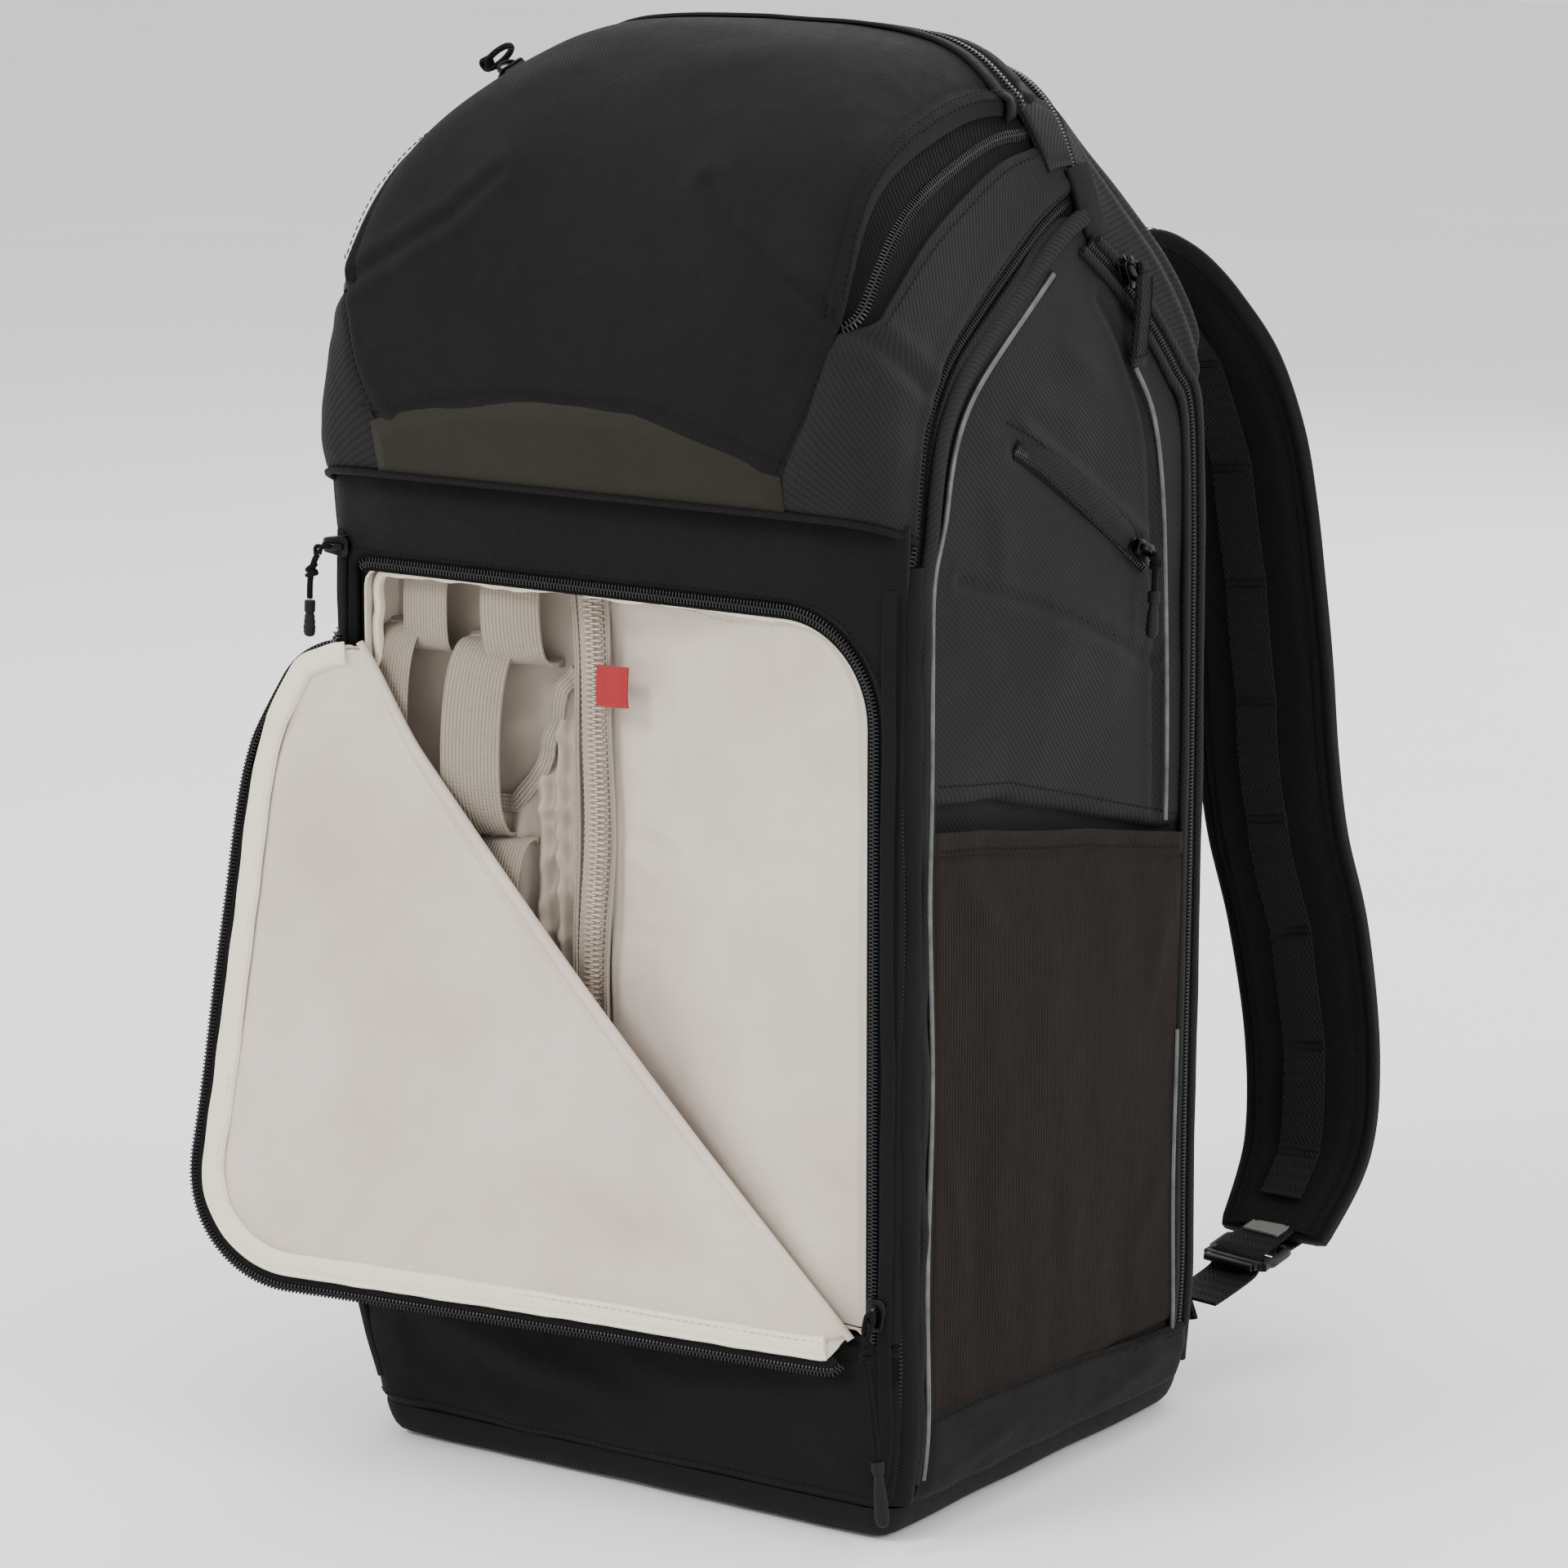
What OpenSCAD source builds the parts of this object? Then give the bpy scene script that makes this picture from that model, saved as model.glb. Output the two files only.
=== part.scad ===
// Tall camera backpack: a soft zipped clamshell pack with a hooded top pocket,
// a front organiser pocket whose corner flap is folded open, stretch side
// pockets and two padded shoulder straps.
// Millimetres. +Z up, front of the pack faces -Y, harness faces +Y.
// The origin is the centre of the base, on the surface the pack stands on.

/* [Pack body] */
// Width of the pack across its sides
pack_w = 280; // [272:2:290]
// Depth of the pack from front face to harness face
pack_d = 238; // [230:2:246]
// Thickness of the fabric shell panels
shell_t = 3; // [2.5:0.5:3.5]
// Radius of the two front vertical corners
front_r = 12; // [10:1:14]
// Radius of the two back vertical corners
back_r = 22; // [18:1:24]
// Height of the base board and its rolled edge
base_h = 13; // [11:1:13]

/* [Hood] */
// Height at which the hood starts above the front pocket
hood_z = 412; // [408:1:416]
// How far the hood stands out over the front pocket
hood_out = 15; // [10:1:18]
// Height of the hood crown above its lower edge
hood_rise = 177; // [165:1:182]

/* [Front pocket] */
// Lower edge of the zipped opening
open_z0 = 84; // [80:1:90]
// Upper edge of the zipped opening
open_z1 = 372; // [366:1:374]
// Radius of the opening's upper corner
open_r = 50; // [40:1:60]
// Depth of the organiser space behind the front face
organiser_d = 24; // [22:1:26]
// How far the corner flap is turned back from closed, in degrees
flap_turn = 161; // [150:1:162]
// Thickness of the flap cloth
flap_t = 2.4; // [2:0.2:2.6]

/* [Side pockets] */
// Room between the side wall and the stretch pocket
pocket_gap = 6; // [5:0.5:6.5]
// Height of the stretch pocket's mouth at the front
mouth_front_z = 287; // [280:1:290]
// Height of the stretch pocket's mouth at the back
mouth_back_z = 258; // [250:1:270]

/* [Harness] */
// Width of the shoulder strap pads
strap_w = 66; // [58:1:70]
// Thickness of the shoulder strap pads
strap_t = 11; // [9:1:12]
// Width of the strap webbing
webbing_w = 25; // [20:1:25]
// Width of the carrying handle between its two ends
handle_w = 78; // [72:2:80]

/* [Zip hardware] */
// Length of a zip slider body
slider_l = 13; // [11:1:14]
// Width of a zip slider body
slider_w = 9; // [8:1:10]
// Diameter of the puller cords
cord_d = 2.6; // [2:0.2:3]
// Diameter of the moulded puller grips
grip_d = 6.5; // [6:0.5:7]

/* [Hidden] */
$fn = 32;

hw = pack_w / 2;            // half width
yf = -pack_d / 2;           // front face
yb = pack_d / 2;            // harness face
door_y = yf + 11.5;         // back edge of the clamshell door's rim
gap = 0.5;                  // clearance between neighbouring panels
open_x = hw - 14;           // half width of the zipped opening
organiser_y = yf + organiser_d;   // face of the organiser wall
wall_x = hw - shell_t - pocket_gap; // outer face of the side wall

black = [0.10, 0.10, 0.11];
twill = [0.20, 0.20, 0.20];
stretch = [0.17, 0.155, 0.14];
lining = [0.80, 0.77, 0.74];
cream = [0.86, 0.84, 0.80];
elastic = [0.66, 0.63, 0.60];
plastic = [0.06, 0.06, 0.06];

// ---------------------------------------------------------------- helpers
function mix(a, b, t) = a + (b - a) * t;
function clampi(i, n) = max(0, min(n - 1, i));
// smooth curve through the points of P, u runs from 0 to len(P)-1
function curve(P, u) =
  let (n = len(P), i = min(n - 2, floor(u)), f = u - i,
       a = P[clampi(i - 1, n)], b = P[i], c = P[i + 1], d = P[clampi(i + 2, n)])
  0.5 * ((2 * b) + (c - a) * f + (2 * a - 5 * b + 4 * c - d) * f * f
         + (3 * b - a - 3 * c + d) * f * f * f);
function smooth(a, b, t) = let (u = max(0, min(1, (t - a) / (b - a)))) u * u * (3 - 2 * u);
function unit(v) = v / norm(v);
function toward(p, c, d) = p + d * unit(c - p);

// half width of the pack at height z
function half_w(z) = hw + lookup(z, [[0, -6], [40, 0], [425, 0], [455, -5], [480, -12],
                                     [500, -18], [521, -23], [560, -32]]);

// closed sheet between two offsets of the point grid G, measured towards C
module skin(G, C, d0, d1) {
  m = len(G); n = len(G[0]); k = m * n;
  pts = concat([for (r = G) for (p = r) toward(p, C, d0)],
               [for (r = G) for (p = r) toward(p, C, d1)]);
  i0 = floor((m - 1) / 2); j0 = floor((n - 1) / 2);
  turn = cross(G[i0][j0 + 1] - G[i0][j0], G[i0 + 1][j0] - G[i0][j0]) * (G[i0][j0] - C) > 0;
  fs = concat(
    [for (i = [0 : m - 2]) for (j = [0 : n - 2]) [i * n + j, i * n + j + 1, (i + 1) * n + j + 1]],
    [for (i = [0 : m - 2]) for (j = [0 : n - 2]) [i * n + j, (i + 1) * n + j + 1, (i + 1) * n + j]],
    [for (i = [0 : m - 2]) for (j = [0 : n - 2]) [k + i * n + j, k + (i + 1) * n + j + 1, k + i * n + j + 1]],
    [for (i = [0 : m - 2]) for (j = [0 : n - 2]) [k + i * n + j, k + (i + 1) * n + j, k + (i + 1) * n + j + 1]],
    [for (j = [0 : n - 2]) for (f = [[j, k + j, k + j + 1], [j, k + j + 1, j + 1]]) f],
    [for (j = [0 : n - 2]) let (q = (m - 1) * n) for (f = [[q + j, q + j + 1, k + q + j + 1], [q + j, k + q + j + 1, k + q + j]]) f],
    [for (i = [0 : m - 2]) for (f = [[i * n, (i + 1) * n, k + (i + 1) * n], [i * n, k + (i + 1) * n, k + i * n]]) f],
    [for (i = [0 : m - 2]) let (q = n - 1) for (f = [[i * n + q, k + i * n + q, k + (i + 1) * n + q], [i * n + q, k + (i + 1) * n + q, (i + 1) * n + q]]) f]);
  polyhedron(points = pts,
             faces = turn ? [for (f = fs) [f[0], f[2], f[1]]] : fs, convexity = 6);
}

// tube of n-point sections S(i) swept along the stations, closed at both ends
module loft(rings) {
  m = len(rings); n = len(rings[0]);
  c = [for (r = rings) r[0]];
  ctr = (rings[0][0] + rings[0][floor(n / 2)]) / 2;
  nxt = (rings[1][0] + rings[1][floor(n / 2)]) / 2;
  turn = cross(rings[0][1] - rings[0][0], rings[0][2] - rings[0][0]) * (nxt - ctr) < 0;
  fs = concat(
    [[for (j = [0 : n - 1]) n - 1 - j]],
    [[for (j = [0 : n - 1]) (m - 1) * n + j]],
    [for (i = [0 : m - 2]) for (j = [0 : n - 1]) let (q = (j + 1) % n)
       [i * n + j, i * n + q, (i + 1) * n + q]],
    [for (i = [0 : m - 2]) for (j = [0 : n - 1]) let (q = (j + 1) % n)
       [i * n + j, (i + 1) * n + q, (i + 1) * n + j]]);
  polyhedron(points = [for (r = rings) for (p = r) p],
             faces = turn ? fs : [for (f = fs) [for (q = [len(f) - 1 : -1 : 0]) f[q]]],
             convexity = 6);
}

// cord of diameter d along the route pts
module cord(pts, d, sides = 8) {
  m = len(pts);
  rings = [for (i = [0 : m - 1])
    let (t = unit(pts[min(m - 1, i + 1)] - pts[max(0, i - 1)]),
         u = unit(cross(t, [0.13, 0.99, 0.05])), v = cross(t, u))
    [for (k = [0 : sides - 1]) pts[i] + d / 2 * (cos(360 * k / sides) * u + sin(360 * k / sides) * v)]];
  loft(rings);
}

module slab(x0, x1, y0, y1, z0, z1) {
  translate([x0, y0, z0]) cube([x1 - x0, y1 - y0, z1 - z0]);
}
// outline drawn in the front elevation (x, z), between y0 and y1
module front_plate(y0, y1) {
  translate([0, y1, 0]) rotate([90, 0, 0]) linear_extrude(y1 - y0) children();
}
// outline drawn in the side elevation (y, z), between x0 and x1
module side_plate(x0, x1) {
  translate([x0, 0, 0]) rotate([90, 0, 90]) linear_extrude(x1 - x0) children();
}
module both_sides() { children(); mirror([1, 0, 0]) children(); }

// ---------------------------------------------------------------- outer form
// centre line of the hood in the side elevation, from its lip to its back edge
hood_p = [for (q = [[0, 0], [-6, 28], [-5, 58], [3, 95], [24, 134], [58, 161], [98, 176], [142, 177], [178, 165]])
          [yf - hood_out + q[0], hood_z + q[1] * hood_rise / 177]];
// edge of the hood along the side zip
hood_q = [for (q = [[11, -10], [14, 12], [24, 33], [44, 53], [74, 70], [104, 85], [130, 98], [150, 106], [163, 110]])
          [yf + q[0], hood_z + q[1]]];
// centre line of the top behind the hood, down to the harness face
rear_p = [for (q = [[163.5, 165], [190, 145], [214, 116], [232, 84], [238, 58]]) [yf + q[0], hood_z + q[1]]];
// edge of that top along the back zip
rear_q = [for (q = [[163.5, 110], [171, 90], [192, 62], [207, 36], [218, 13]]) [yf + q[0], hood_z + q[1]]];
// how far across (fx) and how far down towards the zip (fg) each rib lies
front_fx = [[0, 0], [1, 0.40], [2, 0.65], [3, 0.80], [4, 0.88], [5, 0.93], [6, 0.965], [7, 0.985], [8, 0.995], [9, 1]];
front_fg = [[0, 0], [1, 0.00], [2, 0.01], [3, 0.03], [4, 0.08], [5, 0.17], [6, 0.33], [7, 0.55], [8, 0.80], [9, 1]];
ridge_fx = [[0, 0], [1, 0.30], [2, 0.50], [3, 0.64], [4, 0.74], [5, 0.82], [6, 0.89], [7, 0.94], [8, 0.975], [9, 1]];
ridge_fg = [[0, 0], [1, 0.01], [2, 0.035], [3, 0.08], [4, 0.15], [5, 0.26], [6, 0.42], [7, 0.62], [8, 0.82], [9, 1]];

function rib(k, w, P, Q) =
  let (s = k < 0 ? -1 : 1, a = abs(k),
       fx = mix(lookup(a, front_fx), lookup(a, ridge_fx), w),
       fg = mix(lookup(a, front_fg), lookup(a, ridge_fg), w), yz = mix(P, Q, fg))
  [s * half_w(Q[1]) * fx, yz[0], yz[1]];
// point of the hood: k across from -9 to 9, t from lip to back edge
function hood_pt(k, t) = rib(k, smooth(0.3, 0.8, t), curve(hood_p, t * 8), curve(hood_q, t * 8));
// point of the top behind the hood, t from the hood to the harness face
function rear_pt(k, t) = rib(k, 1 - smooth(0.2, 1, t), curve(rear_p, t * 4), curve(rear_q, t * 4));
hood_c = [0, yf + 74, hood_z + 58];
rear_c = [0, yf + 120, hood_z + 10];

// front edge (side zip) and back edge (back zip) of the side panel at height z
function side_y0(z) = yf + lookup(z - hood_z, [[-400, 12], [-10, 12], [12, 15], [33, 25], [53, 45], [70, 75], [85, 105], [98, 131], [103, 147]]);
function side_y1(z) = yf + lookup(z - hood_z, [[-400, 215.5], [13, 215.5], [36, 204], [62, 188.5], [90, 167.5], [103, 160.5]]);

// ---------------------------------------------------------------- pack shell
module base_panel() color(black)
  hull() {
    for (q = [[0, 11], [3, 4.5], [8, 1], [base_h, 0]])
      translate([0, 0, q[0]]) linear_extrude(0.2) offset(r = 18, $fn = 32)
        square([pack_w - 37 - 2 * q[1], pack_d - 37 - 2 * q[1]], center = true);
  }

// outline of the harness shell seen from above, as one bent strip
function corner(s, r) = [for (i = [0 : 12]) let (a = s > 0 ? 90 - 7.5 * i : 90 + 7.5 * i)
  [s * (hw - back_r) + r * cos(a), yb - back_r + r * sin(a)]];
function flip(v) = [for (i = [len(v) - 1 : -1 : 0]) v[i]];
module back_shell() color(twill) {
  translate([0, 0, base_h + 1]) linear_extrude(410)
    polygon(concat(corner(1, back_r), flip(corner(1, back_r - shell_t)), corner(-1, back_r - shell_t), flip(corner(-1, back_r))));
  front_plate(yb - shell_t, yb)
    polygon([[-112, base_h + 410.9], [112, base_h + 410.9], [111, 441], [104, 456], [88, 465], [50, 468], [-50, 468], [-88, 465], [-104, 456], [-111, 441]]);
}

module top_rear_panel() color(twill)
  skin([for (t = [0, 0.15, 0.3, 0.45, 0.6, 0.75, 0.88, 1]) [for (k = [-9 : 9]) rear_pt(k, t)]], rear_c, 0, shell_t);

module side_wall_right() color(twill)
  translate([0, 0, base_h + 1]) linear_extrude(mouth_front_z - base_h - 2)
    polygon([[hw - shell_t, door_y + gap], [hw, door_y + gap], [hw, yf + 39],
             [wall_x, yf + 42], [wall_x, yb - 30], [hw, yb - 27], [hw, yb - back_r - 0.5], [hw - shell_t, yb - back_r - 0.5],
             [hw - shell_t, yb - 25], [wall_x - shell_t, yb - 28], [wall_x - shell_t, yf + 40], [hw - shell_t, yf + 37]]);
module side_wall_left() mirror([1, 0, 0]) side_wall_right();

side_zs = [for (i = [0 : 13]) mix(mouth_front_z, hood_z + 101, pow(i / 13, 0.85))];
module side_upper_right() color(twill)
  skin([for (z = side_zs) [for (j = [0 : 8]) let (y = mix(side_y0(z) + 0.2, side_y1(z) - 0.3, j / 8))
       [half_w(z) + (1.5 * sin(180 * j / 8) + 7) * smooth(mouth_front_z - 8, mouth_front_z + 36, z) - 7, y, z]]],
       [-3000, 0, 380], 0, shell_t);
module side_upper_left() mirror([1, 0, 0]) side_upper_right();

pocket_out = [[yf + 43, 40], [yf + 43, mouth_front_z], [yb - 31, mouth_back_z], [yb - 31, 34]];
pocket_in = [[yf + 46, 44], [yf + 46, mouth_front_z + 9], [yb - 34, mouth_back_z + 9], [yb - 34, 38]];
module stretch_pocket_right() color(stretch)
  difference() {
    side_plate(wall_x + 0.3, hw + 1.5) polygon(pocket_out);
    side_plate(wall_x - 1, hw - 1) polygon(pocket_in);
  }
module stretch_pocket_left() mirror([1, 0, 0]) stretch_pocket_right();

// zip across the upper side pocket, falling towards the harness
module side_pocket_zips() color(plastic) both_sides() {
  side_plate(hw + 1.8, hw + 3.4)
    polygon([[yf + 74, hood_z + 16], [yf + 79, hood_z + 24], [yf + 182, hood_z - 37], [yf + 178, hood_z - 46]]);
}

// zip tape along the clamshell edge, up both sides and over the top
zip_run = concat([for (z = [20, 140, 260, 380]) [hw + 0.1, door_y + 3, z]],
                 [for (t = [0.05 : 0.1 : 0.96]) let (q = curve(hood_q, t * 8)) [half_w(q[1]) + 0.4, q[0] + 4.5 - 1.5 * t, q[1] - 2 - 2 * t]]);
module clamshell_zip() color(plastic) both_sides()
  skin([for (p = zip_run) let (d = p[2] > hood_z ? 4 : 0) [p, [p[0] + half_w(p[2] - d) - half_w(p[2]), p[1] + 6.5, p[2] - d]]], [-3000, 0, 300], -3.6, -2.2);

rear_run = concat([for (z = [20, 150, 290, 420]) [hw + 0.1, yb - 19, z]],
                  [for (q = [[38, -25], [64, -40], [86, -56]]) [half_w(hood_z + q[0]) + 0.4, yb - 19 + q[1] + 14, hood_z + q[0] - 2]]);
module rear_zip() color(plastic) both_sides()
  skin([for (p = rear_run) [[p[0], p[1] - 5, p[2]], p]], [-3000, 0, 300], -2.6, -1.2);

module back_foam() color([0.3, 0.3, 0.32])
  slab(-hw + 24, hw - 24, yb - shell_t - 9.5, yb - shell_t - 0.5, base_h + 4, hood_z + 10);

module camera_dividers() color([0.62, 0.60, 0.58]) {
  for (z = [150, 275]) slab(-wall_x + 5, wall_x - 5, -84, yb - 18, z, z + 7);
  slab(-4, 4, -80, yb - 20, base_h + 6, 149);
}

// padded cushions on the harness face
module pad(x, z, w, h, t) {
  translate([x, yb + 0.4, z]) hull() {
    rotate([-90, 0, 0]) linear_extrude(1) offset(r = 14) square([w - 28, h - 28], center = true);
    rotate([-90, 0, 0]) linear_extrude(t) offset(r = 10) square([w - 38, h - 38], center = true);
  }
}
module back_pads() color([0.13, 0.13, 0.13]) {
  for (s = [-1, 1]) pad(s * 56, 345, 92, 190, 8);
  for (s = [-1, 1]) pad(s * 56, 180, 92, 110, 8);
  pad(0, 77, 190, 72, 10);
}

strap_top = [66, yb + 14, 487];
strap_low = [130, yb + 5, 44];
module strap_anchors() color(black) {
  both_sides() {
    slab(strap_top[0] - 7, strap_top[0] + 3, yb - 5, yb + 7.5, 483, 490);
    front_plate(yb + 0.3, yb + 1.8)
      polygon([[104, 18], [118, 18], [118, 96], [104, 96]]);
    translate([0, 0, 30]) linear_extrude(28)
      polygon([[112, yb + 1.9], [112, yb + 3.4], [124, yb + 3.4], [127, yb + 6.6], [128.4, yb + 5.6], [125, yb + 1.9]]);
  }
}

// ---------------------------------------------------------------- clamshell door
// outline of the door rim seen from above: right-hand corner
module rim_half() {
  difference() {
    union() {
      translate([hw - front_r, yf + front_r]) circle(r = front_r, $fn = 64);
      translate([0, yf]) square([hw - front_r, shell_t]);
    }
    translate([hw - front_r, yf + front_r]) circle(r = front_r - shell_t, $fn = 64);
    translate([0, yf + shell_t]) square([hw - front_r, 40]);
    translate([hw - front_r - 20, door_y]) square([60, 60]);
  }
}
module rim(z0, z1) {
  translate([0, 0, z0]) linear_extrude(z1 - z0) { rim_half(); mirror([1, 0]) rim_half(); }
}
module front_lower_panel() color(black) rim(base_h + 1.2, open_z0 - 0.3);
module front_upper_band() color(black) {
  rim(open_z1 + 0.3, hood_z - 11);
  front_plate(yf, yf + shell_t) translate([-108, hood_z - 11.2]) square([216, 26]);
  slab(-100, 100, yf - hood_out + 4.5, yf + 0.5, hood_z + 0.5, hood_z + 3);
}
module door_gussets() color(twill)
  difference() {
    rim(open_z0, open_z1);
    front_plate(yf - 5, yf + 20) translate([-open_x, 0]) square([2 * open_x, 600]);
  }

// the zipped opening in the front elevation
module opening(d = 0) {
  r = open_r - d;
  translate([-open_x + d, open_z0 + d]) square([2 * open_x - 2 * d, open_z1 - open_z0 - 2 * d - r]);
  translate([-open_x + d, open_z0 + d]) square([2 * open_x - 2 * d - r, open_z1 - open_z0 - 2 * d]);
  translate([open_x - d - r, open_z1 - d - r]) circle(r = r, $fn = 96);
}
// fold of the flap: from the left edge down to the lower right corner
fold_a = [-open_x + 1, 330];
fold_b = [open_x - 7, open_z0 - 1];
fold_dir = unit([fold_b[0] - fold_a[0], 0, fold_b[1] - fold_a[1]]);
fold_y = yf - 2.5;
module below_fold(d) { // region under the fold, moved d away from it
  n = [-fold_dir[2], fold_dir[0]];
  a = fold_a - 300 * [fold_dir[0], fold_dir[2]] - d * n;
  b = fold_b + 300 * [fold_dir[0], fold_dir[2]] - d * n;
  polygon([a, b, b - 600 * n, a - 600 * n]);
}
module flap_fixed_panel() color(black)
  front_plate(yf + 0.2, yf + 0.2 + flap_t)
    intersection() { opening(0.6); below_fold(4); }
// body half of the zip, along the top and the right-hand edge of the opening
module flap_zip_track() color(plastic)
  front_plate(yf + 3.4, yf + 5)
    difference() {
      intersection() {
        opening(-7);
        union() { translate([-open_x, open_z1 - 60]) square([400, 100]); translate([open_x - 60, open_z0 + 3]) square([100, 400]); }
      }
      opening(3);
      translate([-400, 0]) square([400 - open_x - 0.1, 800]);
      translate([open_x - 4, 0]) square([1, open_z0 + 2]);
      translate([open_x + 3.6, 0]) square([100, 800]);
    }

module organizer_panel() color(lining)
  front_plate(organiser_y, organiser_y + 7)
    translate([-hw + 11, base_h + 8]) square([pack_w - 22, hood_z - base_h - 24]);
module organizer_pocket() color(lining)
  front_plate(organiser_y - 9, organiser_y - 6.5)
    difference() {
      translate([-14, open_z0 + 8]) square([open_x + 13, open_z1 - open_z0 - 2]);
      difference() {
        translate([open_x - 41, open_z1 - 36]) square([60, 60]);
        translate([open_x - 41, open_z1 - 36]) circle(r = 40);
      }
    }
module gathered_pocket() color(lining)
  front_plate(organiser_y - 5, organiser_y - 0.4) {
    for (i = [0 : 3]) translate([-104 + 21 * i, 118]) square([18, 150]);
    translate([-104, 112]) square([81, 7]);
    translate([-104, 267]) square([81, 7]);
  }
module inner_pocket_zip() color(elastic)
  front_plate(organiser_y - 8, organiser_y - 0.4) translate([-21.5, open_z0 + 10]) square([6.5, open_z1 - open_z0 - 4]);

// an elastic loop standing off the organiser wall, seen in the side elevation
module elastic_loop(x, z0, z1, w, out) {
  y = organiser_y - 7;
  h = z1 - z0;
  side_plate(x - w / 2, x + w / 2)
    polygon(concat([for (i = [0 : 12]) [y - out * pow(sin(180 * i / 12), 0.7), z0 + h * i / 12]],
                   [for (i = [12 : -1 : 0]) [y + 1.6 - (out + 0.2) * pow(sin(180 * i / 12), 0.7), z0 + 1.5 + (h - 3) * i / 12]]));
}
module elastic_loops() color(elastic) {
  elastic_loop(-90, 290, 352, 30, 10);
  elastic_loop(-46, 290, 356, 30, 10);
  elastic_loop(-92, 215, 286, 30, 11);
  elastic_loop(-50, 135, 286, 32, 12);
}
module red_tab() color([0.78, 0.10, 0.18])
  front_plate(organiser_y - 11.4, organiser_y - 9.4) translate([-12, 323]) square([16, 15]);

module hood_shell() color(black)
  skin([for (i = [0 : 18]) [for (k = [-5 : 5]) hood_pt(k, i / 18)]], hood_c, 0, shell_t);
module hood_gusset_right() color(twill)
  skin([for (i = [0 : 18]) [for (k = [5.12, 6, 7, 8, 9]) hood_pt(k, i / 18)]], hood_c, 0, shell_t);
module hood_gusset_left() mirror([1, 0, 0]) hood_gusset_right();
module hood_band() color([0.24, 0.23, 0.21])
  skin([for (i = [0 : 4]) [for (k = [-3.6, -3, -2, -1, 0, 1, 2, 3, 3.6])
        hood_pt(k, mix(0.012, mix(0.215, 0.12, smooth(0.8, 3.6, abs(k))), i / 4))]], hood_c, -1.6, -0.4);
module hood_inner_panel() color(lining)
  skin([for (i = [0 : 9]) [for (k = [-1, -0.5, 0, 0.5, 1])
        let (q = curve(hood_q, 0.06 * 8 + i / 9 * 0.93 * 8)) [k * (half_w(q[1]) - 5), q[0] + 2, q[1] - 2]]],
       [0, -400, 800], 1.5, 4);
// double zip tape that runs over the hood between its crown and its sides
lid_t = [for (i = [0 : 12]) mix(0.32, 0.985, i / 12)];
module lid_zip() color(plastic) both_sides()
  skin([for (t = lid_t) [for (k = [4.45, 5.05, 5.6]) hood_pt(k, t)]], hood_c, -2, -0.5);

// ---------------------------------------------------------------- corner flap
module turn_flap(a) {
  translate([fold_a[0], fold_y, fold_a[1]])
    rotate(a = a, v = fold_dir)
      translate([-fold_a[0], -fold_y, -fold_a[1]]) children();
}
module flap_outline(d) {
  difference() { opening(d); below_fold(-3.5); }
}
module flap_panel() color(lining) turn_flap(flap_turn)
  front_plate(yf - 1.2, yf - 1.2 + flap_t) flap_outline(7.2);
module flap_binding() color(cream) turn_flap(flap_turn)
  front_plate(yf - 1.5, yf - 1.5 + flap_t + 0.8)
    difference() { flap_outline(3.4); opening(7); translate([-open_x - 1, 0]) square([9, 900]); translate([0, open_z0 - 5]) square([400, 12]); }
module flap_zip_edge() color(plastic) turn_flap(flap_turn)
  front_plate(yf - 1.0, yf + 0.6)
    difference() { flap_outline(0.8); opening(3.2); translate([-open_x - 1, 0]) square([12, 900]); translate([0, open_z0 - 5]) square([400, 15]); }

// ---------------------------------------------------------------- zip sliders
// slider lying in the X-Y plane, running along X, bridge towards +Z
module slider() {
  l = slider_l; w = slider_w;
  difference() {
    union() {
      linear_extrude(4.2) polygon([[-l / 2, -w / 2 + 1], [-l / 2 + 1, -w / 2], [l / 2 - 4, -w / 2], [l / 2, -w / 2 + 2],
                                 [l / 2, w / 2 - 2], [l / 2 - 4, w / 2], [-l / 2 + 1, w / 2], [-l / 2, w / 2 - 1]]);
      translate([-l / 2 + 1, -1.6, 4.2]) cube([l - 2, 3.2, 3.6]);
    }
    translate([-l / 2 + 3, -4, 4.4]) cube([l - 6, 8, 2.0]);
  }
}
// slider on the front face, running along X
top_slider_at = [-open_x - 9, yf - 0.6, open_z1 + 5.5];
side_slider_at = [open_x + 4.8, yf - 0.6, open_z0 + 12];
module slider_flap_top() color(plastic)
  translate(top_slider_at) rotate([90, 0, 0]) slider();
module slider_flap_side() color(plastic)
  translate(side_slider_at) rotate([90, 90, 0]) slider();
// slider on the left run of the lid zip
lid_at = toward(hood_pt(-5.05, 0.70), hood_c, -2.6);
lid_dir = unit(hood_pt(-5.05, 0.74) - hood_pt(-5.05, 0.66));
lid_out = unit(lid_at - hood_c);
lid_side = unit(cross(lid_out, lid_dir));
lid_up = cross(lid_dir, lid_side);
module in_lid() multmatrix([[lid_dir[0], lid_side[0], lid_up[0], lid_at[0]],
                            [lid_dir[1], lid_side[1], lid_up[1], lid_at[1]],
                            [lid_dir[2], lid_side[2], lid_up[2], lid_at[2]], [0, 0, 0, 1]]) children();
module slider_lid() color(plastic) in_lid() slider();
// slider at the top of the back zip
rear_at = [half_w(hood_z + 78) + 4.2, yb - 59, hood_z + 78];
module slider_rear_right() color(plastic)
  translate(rear_at) rotate([0, 0, 0]) rotate([0, 90, 0]) rotate([0, 0, 0]) rotate([0, 0, -35]) slider();
module slider_rear_left() mirror([1, 0, 0]) slider_rear_right();
// slider at the low end of the side pocket zip
pocket_at = [hw + 3.7, yf + 168, hood_z - 33.5];
module slider_pocket_right() color(plastic)
  translate(pocket_at) rotate([0, 90, 0]) rotate([0, 0, 59]) slider();
module slider_pocket_left() mirror([1, 0, 0]) slider_pocket_right();

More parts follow.
